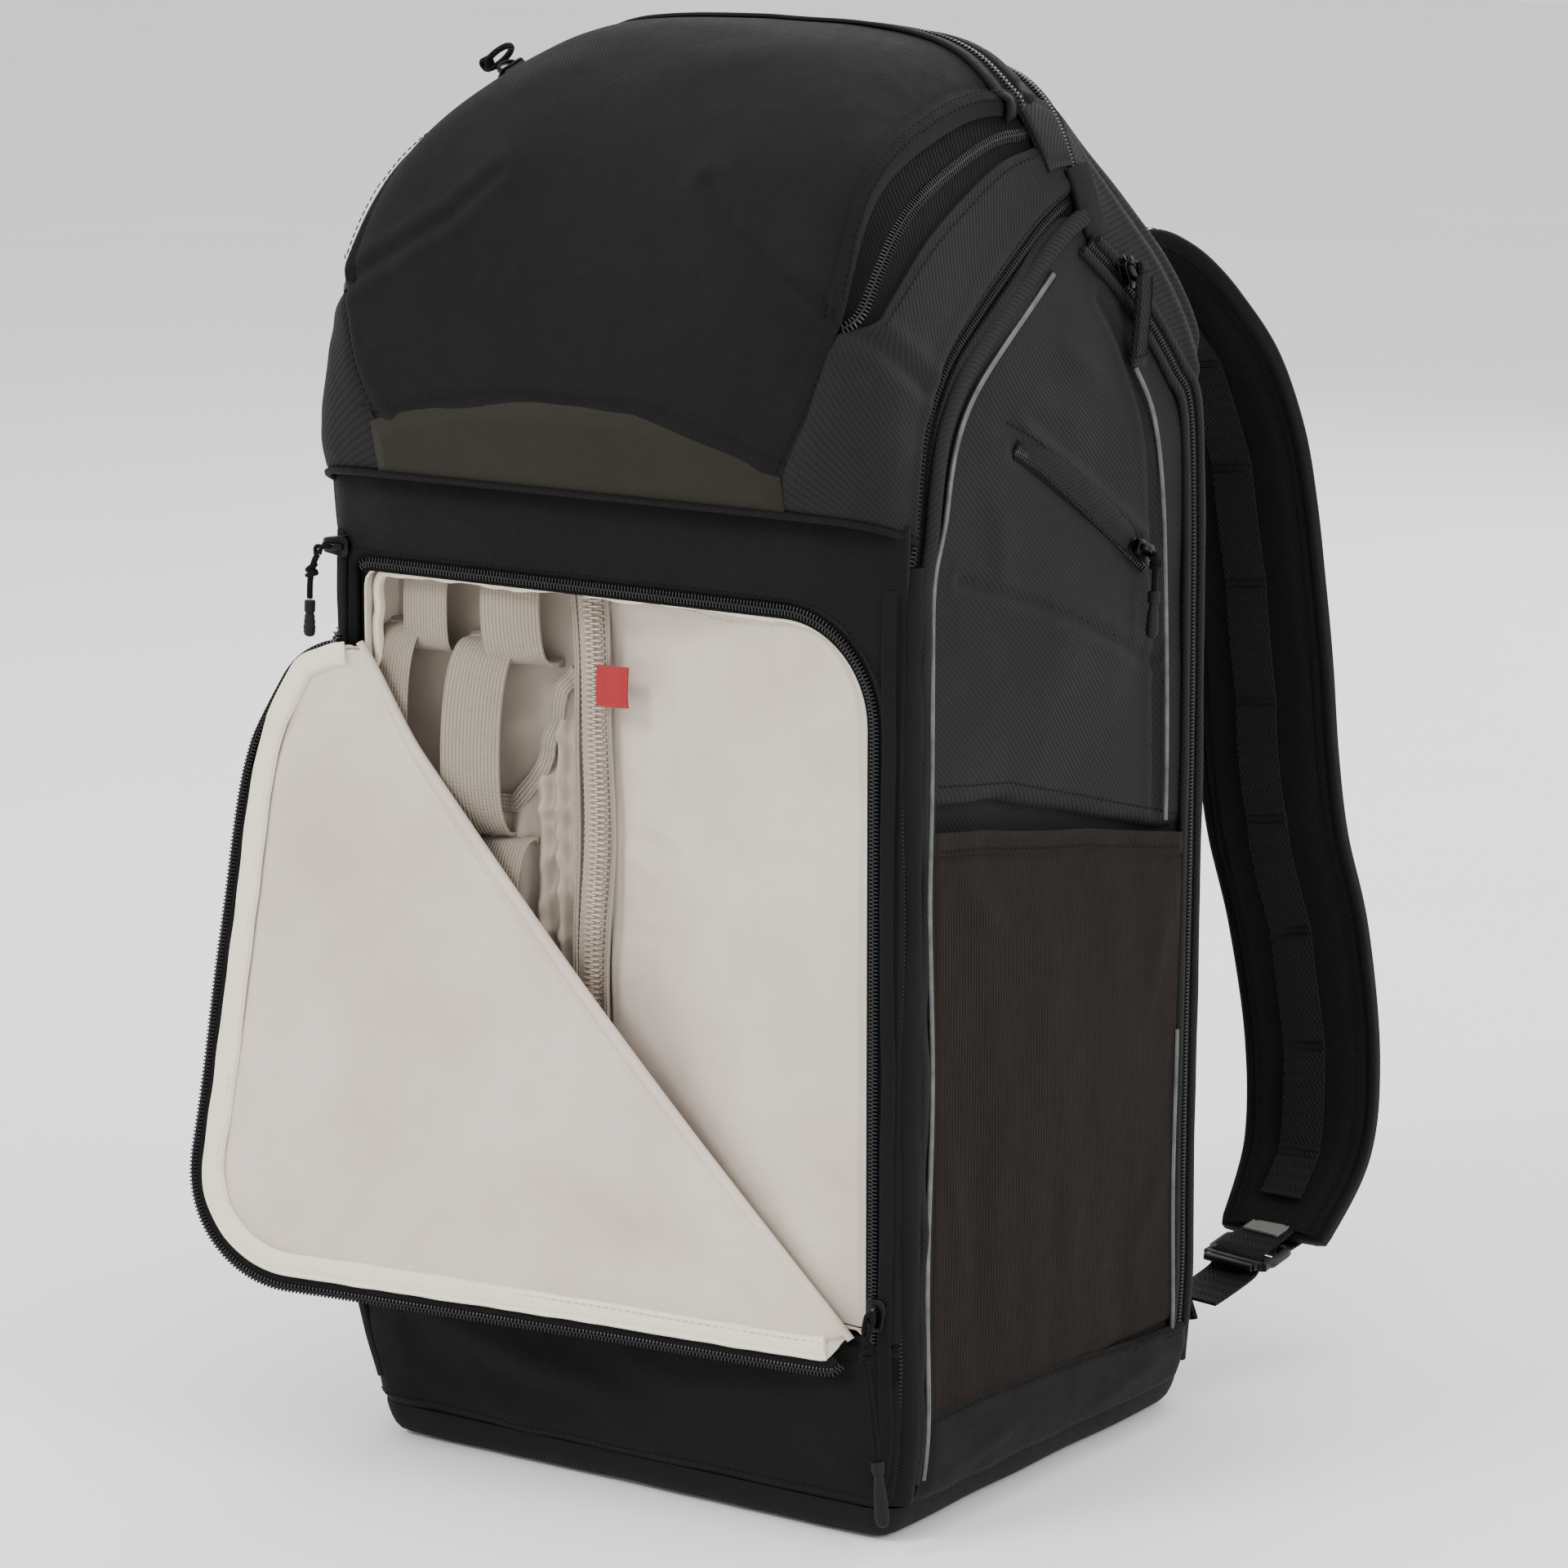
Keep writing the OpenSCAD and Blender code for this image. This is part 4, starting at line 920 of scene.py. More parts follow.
def hood_lip():
    """The hem of the hood rolled under, back to the front wall."""
    k = np.linspace(-8.9, 8.9, 220)
    P0 = hood(k, 0 * k)
    inn = P0.copy()
    inn[:, 0] *= .985
    inn[:, 1] = np.maximum(P0[:, 1] + 1.0, YF + .5)
    inn[:, 2] = P0[:, 2] + 4
    v = np.linspace(0, 1, 10)[None, :, None]
    P = P0[:, None] * (1 - v) + inn[:, None] * v
    P[..., 2] -= 1.6 * np.sin(np.pi * v[..., 0] ** .55)
    pc = Piece()
    pc.shell(P, 1.2 + 0 * P[..., 0], (0, 0, 0), N=normals(P, ref=A(0, -110, 520)))
    # a corded edge along the hem
    pc.sweep(resample(P0 + A(0, -.3, -.4), 4.0), circle(1.5, 8), None, 0)
    pc.build("hood_hem", [M_["shell"]], "front_door", (), "shell_fabric")


hood_lip()


def padded_board(name, lo, hi, body, mat, repl, slot, r=3.0, bulge=1.5, edge=None, n=26):
    """A soft board: rounded edges, crowned faces, and a bound rim."""
    lo, hi = A(*lo), A(*hi)
    c, s = (lo + hi) / 2, (hi - lo) / 2
    ax = int(np.argmin(s))
    a1, a2 = [i for i in range(3) if i != ax]
    r = min(r, s[ax] * .98)
    pc = Piece()
    for sg in (1, -1):
        U, V = np.meshgrid(np.linspace(-1, 1, n * 2), np.linspace(-1, 1, n * 2), indexing="ij")
        U = np.sign(U) * (1 - (1 - np.abs(U)) ** 1.35)
        V = np.sign(V) * (1 - (1 - np.abs(V)) ** 1.35)
        P = np.zeros(U.shape + (3,))
        P[..., a1] = c[a1] + U * s[a1]
        P[..., a2] = c[a2] + V * s[a2]
        e = np.minimum((1 - np.abs(U)) * s[a1], (1 - np.abs(V)) * s[a2])
        q = np.sqrt(np.clip(1 - (1 - np.clip(e / r, 0, 1)) ** 2, 0, 1))
        hgt = (s[ax] - r) + r * q
        hgt = hgt + bulge * sstep(0, 30, e) * (.6 + .4 * noise(P, 70, 31)) - bulge * .2
        P[..., ax] = c[ax] + sg * hgt
        nn = np.zeros_like(P)
        nn[..., ax] = sg
        pc.grid(P, 0, N=nn, wear=.5 * np.exp(-(e / 3) ** 2))
        # the band between the two faces
    rim = []
    m = n * 2
    lin1 = np.linspace(-1, 1, m)
    for (u, v) in [(x, -1) for x in lin1] + [(1, x) for x in lin1[1:]] + [(-x, 1) for x in lin1[1:]] + [(-1, -x) for x in lin1[1:-1]]:
        p = np.zeros(3)
        p[a1], p[a2], p[ax] = c[a1] + u * s[a1], c[a2] + v * s[a2], c[ax]
        rim.append(p)
    rim = np.array(rim)
    upv = np.zeros(3)
    upv[ax] = 1
    hh = max(s[ax] - r, .4) + .25
    pc.sweep(rim, rrect(1.8, 2 * hh + .6, .8), np.broadcast_to(upv, rim.shape), 1, closed=True)
    return pc.build(name, [mat, edge or M_["binding_black"]], body, repl, slot, do_sag=False)




def hood_inner():
    """Lining wall that closes the hood pocket from below."""
    T, K = np.meshgrid(np.linspace(.06, .99, 60), np.linspace(-1, 1, 70), indexing="ij")
    q = cat(HQ, T * 8)
    P = np.stack([K * (half_w(q[..., 1]) - 5), q[..., 0] + 3.0, q[..., 1] - 3.2], -1)
    N = normals(P, ref=A(0, 200, 200))
    h = 1.1 * noise(P, 70, 33) + .5 * noise(P, 32, 34) - 1.0
    pc = Piece()
    pc.shell(P + N * h[..., None], 1.6 + 0 * T, (0, 0, 0), N=N)
    pc.build("hood_inner_wall", [M_["lining_dark"]], "front_door", ("hood_inner_panel",), "lining_fabric")


hood_inner()

# ------------------------------------------------------------------ front door: frame round the opening, lower panel, zip
OPEN_L, OPEN_R, OPEN_T, OPEN_B, OPEN_RAD = -128.0, 130.0, 374.0, 84.0, 45.0
PHI1 = math.radians(62)
S1 = 128 + 12 * PHI1


def front(s, z, h=0.0):
    """Front wall unrolled: s runs across it and round both corners, h stands out from it."""
    s, z, h = np.broadcast_arrays(np.asarray(s, float), np.asarray(z, float), np.asarray(h, float))
    a = np.abs(s)
    phi = np.clip((a - 128) / 12, 0, math.radians(100))
    x = np.where(a < 128, a, 128 + (12 + h) * np.sin(phi))
    y = YF + 12 - (12 + h) * np.cos(phi)
    return np.stack([np.sign(s) * x * half_w(z) / HW, y, z], -1)


def outline(inset=0.0, n=200, close=False, b=None):
    """Opening outline (s, z), from its lower left corner up, over and down."""
    L, R, T, B = OPEN_L + inset, OPEN_R - inset, OPEN_T - inset, (OPEN_B if b is None else b)
    r = max(OPEN_RAD - inset, 2)
    r2 = 6.0
    pts = [(L, B), (L, T - r2)]
    pts += [(L + r2 - r2 * math.cos(a), T - r2 + r2 * math.sin(a)) for a in np.linspace(0, np.pi / 2, 6)[1:]]
    pts += [(R - r, T)]
    pts += [(R - r + r * math.sin(a), T - r + r * math.cos(a)) for a in np.linspace(0, np.pi / 2, 24)[1:]]
    pts += [(R, B)]
    return resample(np.array(pts), n=n, closed=close)


def door_frame():
    n, m = 260, 22
    inn = outline(0, n)
    # where each station sits on the outer edge
    key = lambda p: int(np.argmin(((inn - np.array(p)) ** 2).sum(1)))
    ks = [0, key((OPEN_L, 374)), key((OPEN_R - 45, OPEN_T)), key((116.8, 360.8)), key((OPEN_R, 329)), n - 1]
    outer = [(-S1, 84), (-S1, 409), (102, 409), (S1, 409), (S1, 345), (S1, 84)]
    i = np.arange(n)
    out = np.stack([np.interp(i, ks, [o[c] for o in outer]) for c in (0, 1)], 1)
    v = np.linspace(0, 1, m) ** 1.0
    SZ = inn[:, None] * (1 - v)[None, :, None] + out[:, None] * v[None, :, None]
    S, Z = SZ[..., 0], SZ[..., 1]
    P = front(S, Z)
    N = normals(P, ref=A(0, 0, 250))
    dn = np.linalg.norm(SZ - inn[:, None], axis=2)
    up = sstep(372, 384, Z)
    h = -1.8 * np.exp(-(dn / 1.5) ** 2) + .9 * np.exp(-((dn - 4) / 2.5) ** 2)
    h += up * (7.5 * np.sin(np.pi * np.clip((Z - 374) / 52, 0, 1)) ** .8) * (1 - .55 * sstep(100, 138, np.abs(S)))
    h += (.5 * noise(P, 70, 41) + .25 * noise(P, 30, 42)) * sstep(0, 8, dn)
    h += up * .8 * noise(P * A(.5, 1, 1.6), 60, 43)
    dout = np.linalg.norm(out[:, None] - SZ, axis=2)
    side = (np.abs(out[:, 0]) > S1 - .5)[:, None]
    h += np.where(side, -1.2 * np.exp(-(dout / 1.4) ** 2) + .8 * np.exp(-((dout - 4) / 2) ** 2), 0)
    P2 = P + N * h[..., None]
    pc = Piece()
    wear = .5 * np.exp(-(dn / 2) ** 2) + np.where(side, .5 * np.exp(-(dout / 2) ** 2), 0)
    pc.shell(P2, 2 + 0 * S, (0, 1, 0), N=N, wear=wear, uv=np.stack([S, Z], -1))
    pc.build("door_frame", [M_["shell"], M_["lining"]], "front_door", ("door_gussets", "front_upper_band"), "shell_fabric")
    N2 = normals(P2, ref=A(0, 0, 250))
    L = outline(-3.6, 220)
    stitches("front_door", P2, N2, front(L[:, 0], L[:, 1]), (0,))
    # zip half on the opening's edge, along the top and the right side
    o = outline(2.2, 300)
    k0 = int(np.argmin(((o - np.array((OPEN_L + 2.2, OPEN_T - 3))) ** 2).sum(1)))
    o = o[k0:]
    Pz = front(o[:, 0], o[:, 1], -.8)
    pz = Piece()
    up = np.tile(A(0, -1, 0), (len(Pz), 1))
    pz.sweep(resample(Pz, 3.0), np.array([[-5.5, -.3], [3.6, -.3], [3.6, .25], [-5.5, .25]]), A(0, -1, 0), 0)
    zip_teeth(pz, Pz, A(0, -1, 0), 1, w=2.6, h=1.7, lift=.7)
    pz.build("opening_zip_half", [M_["ztape"], M_["coil"]], "front_door", ("flap_zip_track",), "zip_tape")
    return P2, N2


FRAME_PN = door_frame()


def lower_panel():
    ns, nz = 240, 70
    s = np.linspace(-S1, S1, ns)
    z = np.linspace(15.2, 84.5, nz)
    S, Z = np.meshgrid(s, z, indexing="ij")
    P = front(S, Z)
    N = normals(P, ref=A(0, 0, 250))
    ex = np.minimum(S1 - np.abs(S), 40)
    h = 3.4 * np.sin(np.pi * np.clip((Z - 13) / 74, 0, 1)) ** .8 * sstep(0, 30, S1 - np.abs(S))
    h += 1.0 * noise(P * A(.55, 1, 1.3), 60, 51) + .5 * noise(P * A(.7, 1, 1.2), 28, 52)
    # slack folds: two long ones falling from the left of the opening, and a few by the slider
    for a, b, c, hh, w in (((-122, 70), (-60, 52), (30, 40), 3.0, 8), ((-126, 45), (-70, 36), (0, 34), -1.8, 8), ((-30, 66), (40, 52), (104, 58), 1.6, 7),
                           ((60, 76), (95, 70), (124, 60), 2.0, 5), ((40, 24), (90, 34), (128, 30), 1.4, 6), ((-100, 22), (-30, 20), (50, 24), 1.3, 6)):
        h += fold(P, smoothline(front(*np.array([a, b, c]).T), 5), hh, w, .35)
    d1 = 84.5 - Z
    h += -1.6 * np.exp(-(d1 / 1.8) ** 2) + .9 * np.exp(-((d1 - 4.5) / 2.2) ** 2)
    h += -1.8 * np.exp(-((Z - 15.2) / 2.2) ** 2)
    h += -1.2 * np.exp(-((S1 - np.abs(S)) / 1.5) ** 2)
    P2 = P + N * h[..., None]
    pc = Piece()
    wear = .45 * np.exp(-((Z - 15) / 5) ** 2) + .4 * np.exp(-(d1 / 2) ** 2) + .3 * np.exp(-((S1 - np.abs(S)) / 2.5) ** 2)
    pc.shell(P2, 2.4 + 0 * S, (0, 1, 0), N=N, wear=wear, uv=np.stack([S, Z], -1))
    pc.build("front_lower_panel_cloth", [M_["shell"], M_["lining_dark"]], "front_door", ("front_lower_panel",), "shell_fabric")
    N2 = normals(P2, ref=A(0, 0, 250))
    ss = np.linspace(-138, 138, 120)
    stitches("front_door", P2, N2, front(ss, 0 * ss + 80.4), (0, 3.0))
    stitches("front_door", P2, N2, front(ss, 0 * ss + 19.5), (0,))
    return P2, N2


lower_panel()

# ------------------------------------------------------------------ lining of the front pocket
ORG_Y = YF + 24.0


def cavity():
    o = outline(5.5, 240)
    b = np.array([(x, OPEN_B + 4) for x in np.linspace(OPEN_R - 5.5, OPEN_L + 5.5, 60)[1:-1]])
    ring = resample(np.vstack([o, b]), n=340, closed=True)
    c = ring.mean(0)
    m = 14
    v = np.linspace(0, 1, m)
    y = YF + 1.4 + (ORG_Y - YF - 1.6) * v
    grow = -3.0 * np.sin(np.pi * v) + 1.5 * v
    d = unit(ring - c)
    XZ = ring[:, None] - d[:, None] * grow[None, :, None]
    P = np.stack([XZ[..., 0], np.broadcast_to(y, XZ.shape[:2]), XZ[..., 1]], -1)
    w = np.sin(np.arange(len(ring)) * .9)[:, None] * np.sin(np.pi * v)[None] * .5 + .8 * noise(P, 30, 61) * np.sin(np.pi * v)[None]
    P[..., 0] += d[:, None, 0] * w
    P[..., 2] += d[:, None, 1] * w
    pc = Piece()
    N = -normals(P, cu=True, ref=A(c[0], -105, c[1]))
    pc.shell(P, .9 + 0 * P[..., 0], (0, 0, 0), N=N, cu=True)
    pc.build("opening_lining", [M_["lining"]], "front_door", (), "lining_fabric")
    e = outline(5.0, 300)[:-2]
    e3 = np.stack([e[:, 0], 0 * e[:, 0] + YF + 7.6, e[:, 1]], 1)
    dd = unit(e - c)
    wv = (1.3 * noise(e3, 34, 65) + .8 * noise(e3, 13, 66) + .8)[:, None]
    e3[:, [0, 2]] -= dd * (1.2 + wv)
    e3[:, 1] += .6 * noise(e3, 20, 67)
    pe = Piece()
    pe.sweep(resample(e3, 2.2), rrect(3.4, 5.0, 1.5, 3), A(0, -1, 0), 0)
    pe.build("opening_turned_edge", [M_["binding"]], "front_door", (), "binding_tape")
    # back wall of the pocket, with a little slack
    X, Z = np.meshgrid(np.linspace(-131, 129, 120), np.linspace(80, 377, 130), indexing="ij")
    P = np.stack([X, ORG_Y + 0 * X, Z], -1)
    h = .9 * noise(P, 55, 62) + .5 * noise(P, 24, 63)
    for zc in (118, 163, 214, 262, 305, 349):
        L = smoothline([A(-112, ORG_Y, zc + 5), A(-78, ORG_Y, zc), A(-30, ORG_Y, zc + 8)], 4)
        h += fold(P, L, 1.6, 4.5, .4)
    P[..., 1] -= 1.5 + h
    pc = Piece()
    N = np.tile(A(0, -1, 0), X.shape + (1,))
    pc.shell(P, 2.5 + 0 * X, (0, 1, 0), N=N)
    # the organizer wall takes the darker lining copy: painted shade for the pocket's recess
    pc.build("organizer_wall_cloth", [M_["lining_painted_shade"], M_["lining_dark"]], "front_door", ("organizer_panel",), "lining_fabric")
    # the padded core of the organizer wall, seen from behind when the bag is open
    core = padded_board("organizer_core", (-128.5, ORG_Y + 1.4, 22), (128.5, ORG_Y + 6.9, 394), "front_door", M_["lining_dark"], (), "lining_fabric", 2.4, bulge=.6)


cavity()


def slip_pocket():
    nz, nx = 150, 130
    z = np.linspace(88, 368, nz)
    R = 41.0
    xr = np.where(z > 368 - R, 124.5 - R + np.sqrt(np.clip(R * R - (z - (368 - R)) ** 2, 0, None)), 124.5)
    u = np.linspace(0, 1, nx)
    Z, U = np.meshgrid(z, u, indexing="ij")
    X = -13 + (xr[:, None] + 13) * U
    y0 = -98.5 + (-115.4 + 98.5) * sstep(0, .9, U) ** .8
    top = sstep(368, 340, Z)
    belly = 2.6 * np.sin(np.pi * U) * np.sin(np.pi * np.clip((Z - 80) / 300, 0, 1)) ** .6
    Y = y0 - belly * top
    Y = Y + (1 - top) * (-.0)
    P = np.stack([X, Y, Z], -1)
    N = normals(P, ref=A(55, 400, 230))
    h = 1.1 * noise(P, 95, 71) + .55 * noise(P, 42, 72) - .4
    for x0, z0, x1, z1, hh, w in ((-12, 270, 34, 262, -1.8, 4), (-12, 226, 30, 232, -1.4, 4), (90, 350, 110, 280, -1.2, 9), (112, 200, 84, 120, -1.2, 10), (118, 330, 84, 322, 1.0, 6), (40, 364, 66, 300, 1.1, 9), (10, 196, 60, 150, 1.0, 10), (122, 210, 80, 150, 1.1, 9), (-12, 262, 22, 250, 1.3, 3.2), (-12, 240, 18, 246, 1.0, 2.8), (-12, 208, 14, 214, .8, 2.6), (-12, 300, 16, 292, .9, 3), (-10, 150, 20, 158, .8, 3.4),
                                  (118, 300, 92, 288, .8, 4), (122, 240, 98, 236, .9, 4), (122, 180, 96, 186, 1.0, 4), (120, 130, 92, 142, 1.1, 5), (60, 366, 52, 330, .7, 5)):
        h += fold(P, np.linspace(A(x0, -100 if x0 < 50 else -114, z0), A(x1, -106 if x0 < 50 else -114, z1), 12), hh, w, .5)
    ed = np.minimum((1 - U) * (xr[:, None] + 13), (368 - Z) * .9)
    h += -.9 * np.exp(-(ed / 1.3) ** 2) + .5 * np.exp(-((ed - 6.3) / 2.5) ** 2) - .5 * np.exp(-((ed - 4.0) / .8) ** 2)
    P2 = P + N * h[..., None]
    pc = Piece()
    pc.shell(P2, 1.1 + 0 * X, (0, 0, 0), N=N, wear=.5 * np.exp(-(ed / 3) ** 2))
    ob = pc.build("slip_pocket_cloth", [M_["lining"]], "front_door", ("organizer_pocket",), "lining_fabric")
    N2 = normals(P2, ref=A(55, 400, 230))
    i = np.arange(nz)
    edge = np.stack([xr - 3.9, 0 * z - 110, z], 1)
    edge = edge[(z > 92) & (z < 365)]
    stitches("front_door", P2, N2, edge, (0,), key="front_door_light")
    L = np.stack([np.linspace(-8, 84, 60), 0 * np.linspace(0, 1, 60) - 105, 0 * np.linspace(0, 1, 60) + 364.2], 1)
    stitches("front_door", P2, N2, L, (0,), key="front_door_light")
    # binding along the top and round the corner
    rim = np.vstack([P2[-1, 8:], P2[::-1, -1][1:60]])
    rim = resample(rim, 3.0)
    pb = Piece()
    pb.sweep(rim, rrect(2.6, 4.4, 1.2), A(.5, -.3, 1), 0)
    pb.build("slip_pocket_binding", [M_["binding"]], "front_door", (), "binding_tape")


slip_pocket()


def light_zip():
    """The light zip that closes the pleated pocket, standing upright beside the slip pocket."""
    z = np.linspace(92, 368, 90)
    x = -19.0 + 1.1 * np.sin(z / 37) + .5 * np.sin(z / 13)
    y = -101.8 - .9 * np.sin(z / 29 + 1)
    path = np.stack([x, y, z], 1)
    pc = Piece()
    n = A(.12, -1, 0)
    pc.sweep(path, np.array([[-6.2, -.3], [6.2, -.3], [6.2, .3], [5.0, .5], [-5.0, .5], [-6.2, .3]]), n, 0)
    zip_teeth(pc, resample(path, .9), unit(n), 1, w=4.6, h=2.0, l=1.25, pitch=2.3, lift=.7)
    for sd in (-1, 1):
        # woven herringbone ridges beside the coil
        zip_teeth(pc, resample(path + A(sd * 5.2, 0, 0), .9), unit(n), 0, w=1.9, h=1.0, l=1.1, pitch=2.6, lift=.45)
    for o, wd in ((-8.6, 2.6), (8.2, 2.4)):
        q = path + A(o, -.9, 0)
        q[:, 0] += .7 * np.sin(z / 21 + o)
        pc.sweep(q, rrect(wd, 1.7, .8), n, 2)
    pc.build("pleated_pocket_zip", [M_["ztape_light"], M_["coil_light"], M_["elastic"]], "front_door", ("inner_pocket_zip",), "light_zip_tape")


light_zip()


def pleated_pocket():
    nx, nz = 200, 90
    X, V = np.meshgrid(np.linspace(-112, -26, nx), np.linspace(0, 1, nz), indexing="ij")
    ztop = np.interp(X, [-112, -60, -44, -34, -26], [276, 278, 296, 330, 338])
    Z = 92 + (ztop - 92) * V
    g = sstep(ztop, ztop - 21, Z)
    ph = X * .62 + 1.6 * noise(np.stack([X, 0 * X, Z * .35], -1), 45, 81) + .5 * np.sin(Z / 19)
    amp = 1.2 + 2.4 * g
    y = -98.6 - amp * (.5 + .5 * np.sin(ph)) ** 1.3 - 3.5 * np.sin(np.pi * np.clip((X + 112) / 86, 0, 1)) * np.sin(np.pi * np.clip((Z - 85) / 190, 0, 1))
    P = np.stack([X, y, Z], -1)
    P[..., 1] -= .8 * noise(P, 22, 82)
    for j in range(18):
        zc = 104 + 13.0 * j
        L = smoothline([A(-27, -100, zc + 7 * math.sin(j * 2.1)), A(-38, -100, zc + 6 + 4 * math.sin(j * 1.3)), A(-52 - 5 * math.sin(j), -100, zc + 2 + 9 * math.sin(j * 1.7))], 2)
        P[..., 1] -= fold(A(1, 0, 1) * P + A(0, -100, 0), L, 2.4 + .7 * math.sin(j * 3.1), 2.6, .3)
    for j in range(9):
        zc = 112 + 18 * j
        L = smoothline([A(-111, -100, zc + 5 * math.sin(j * 1.9)), A(-96, -100, zc + 4), A(-78 - 6 * math.sin(j * 2), -100, zc - 3 + 6 * math.sin(j))], 2)
        P[..., 1] -= fold(A(1, 0, 1) * P + A(0, -100, 0), L, 1.8, 3.0, .3)
    pc = Piece()
    N = np.tile(A(0, -1, 0), X.shape + (1,))
    pc.shell(P, .8 + 0 * X, (0, 0, 0), N=N)
    top = P[::5, -1] + A(0, -1.0, -3)
    pc.sweep(resample(top, 3), rrect(7.5, 1.9, .9), A(0, -1, 0), 1)
    # the pleated pocket takes the darker lining copy: painted shade for the pocket's recess
    ob = pc.build("pleated_pocket_cloth", [M_["lining_painted_shade"], M_["elastic"]], "front_door", ("gathered_pocket",), "lining_fabric")


pleated_pocket()


def loops():
    sec = lambda w: np.array([[-w / 2, -.1], [-w / 2 + .6, -.6], [w / 2 - .6, -.6], [w / 2, -.1], [w / 2, .4], [w / 2 - .6, .7], [-w / 2 + .6, .7], [-w / 2, .4]])
    k = 0
    for x, z0, z1, w, out, sk in ((-98, 336, 371, 24, 9, 2.0), (-53, 335, 371, 28, 10, -1.5), (-114, 268, 345, 22, 13, 3.0), (-70, 262, 343, 28, 15, 3.0),
                                  (-64, 178, 261, 27, 12, 2.0)):
        k += 1
        t = np.linspace(0, 1, 64)
        y = ORG_Y - 6.6 - (out * np.sin(np.pi * t ** .86) ** .42) * (1 + .16 * (t - .5))
        z = z0 + (z1 - z0) * t
        z = z + 3.5 * np.sin(2 * np.pi * t) * -1
        xx = x + sk * (t - .5) + .8 * np.sin(3 * t + k)
        path = resample(np.stack([xx, y, z], 1), 1.6)
        tw = np.stack([.16 * np.sin(np.pi * np.linspace(0, 1, len(path)) + k), 0 * path[:, 0] - 1, 0 * path[:, 0]], 1)
        T = unit(np.gradient(path, axis=0))
        up = np.cross(np.tile(unit(A(1, .10 * (-1) ** k, .05)), (len(path), 1)), T)
        up = np.where((up[:, 1:2] > 0), -up, up)
        pc = Piece()
        pc.sweep(path, sec(w), up, 0)
        # folded ends with a bar tack
        for e in (0, -1):
            p = path[e]
            pc.sweep(np.array([p + A(-w / 2, 4.2, 0), p + A(w / 2, 4.2, 0)]), rrect(3.2, 6.5, 1.2), A(0, -1, 0), 0)
            pc.sweep(np.array([p + A(-w / 2 + 1.5, -.3, 0), p + A(w / 2 - 1.5, -.3, 0)]), rrect(.8, 1.4, .35), A(0, -1, 0), 1)
        pc.build("elastic_loop_%d" % k, [M_["elastic"], M_["thread_light"]], "front_door", ("elastic_loops",) if k == 1 else (), "elastic_webbing")


loops()


def red_label():
    pc = Piece()
    nu, nv = 16, 18
    U, V = np.meshgrid(np.linspace(0, 1, nu), np.linspace(0, 1, nv), indexing="ij")
    X = -13.5 + 17.0 * U
    Z = 322 + 16.5 * V + .8 * U
    Y = -107.4 - 2.8 * np.sin(np.pi * U * .62) - .5 * np.sin(4 * V)
    P = np.stack([X, Y, Z], -1)
    N = np.tile(A(0, -1, 0), U.shape + (1,))
    e = np.minimum(np.minimum(U, 1 - U) * 17, np.minimum(V, 1 - V) * 16)
    P = P + N * (-.35 * np.exp(-((e - 1.4) / .5) ** 2))[..., None]
    pc.shell(P, 1.2 + 0 * U, (0, 0, 0), N=N, wear=.5 * np.exp(-(e / .8) ** 2))
    pc.build("side_label_red", [M_["red"]], "front_door", ("red_tab",), "tab_red", do_sag=False)


red_label()

# ------------------------------------------------------------------ front flap, folded back on itself
FA, FB = A(-125.0, 330.0), A(119.0, 83.0)
E2 = (FB - FA) / np.linalg.norm(FB - FA)
M2 = A(-E2[1], E2[0])
FLEN = np.linalg.norm(FB - FA)
AX_Y, RHO, TH = YF - 2.5, 2.5, math.radians(160)
E3, M3, Y3 = A(E2[0], 0, E2[1]), A(M2[0], 0, M2[1]), A(0, 1, 0)
BOW = 8.0


def flap_at(x, z, h=0.0):
    """Folded place of a point (x, z) of the closed flap; h stands out on the lined side."""
    x, z, h = np.broadcast_arrays(np.asarray(x, float), np.asarray(z, float), np.asarray(h, float))
    dx, dz = x - FA[0], z - FA[1]
    p, q = dx * E2[0] + dz * E2[1], dx * M2[0] + dz * M2[1]
    lift = (1 - sstep(0, 48, p)) * sstep(-32, 0, q)
    # the corner by the upper slider bunches up toward the end of the fold
    p = p + .62 * 8 * np.logaddexp(0, (12 - p) / 8) * sstep(0, 14, q)
    bow = BOW * np.sin(np.pi * np.clip(p / FLEN, 0, 1)) * np.clip(1 - np.abs(q) / 80, 0, 1) ** 2
    th = np.where(q > 0, TH, 0.0)
    qq = q + np.where(q > 0, bow, -bow)
    ax = A(FA[0], AX_Y, FA[1]) + p[..., None] * E3
    md = np.cos(th)[..., None] * M3 - np.sin(th)[..., None] * Y3
    yd = np.sin(th)[..., None] * M3 + np.cos(th)[..., None] * Y3
    return ax + md * qq[..., None] + yd * (RHO + h)[..., None] + A(1.0, 0, 8.0) * (lift * (1 + 1.1 * sstep(1, 16, q)))[..., None]


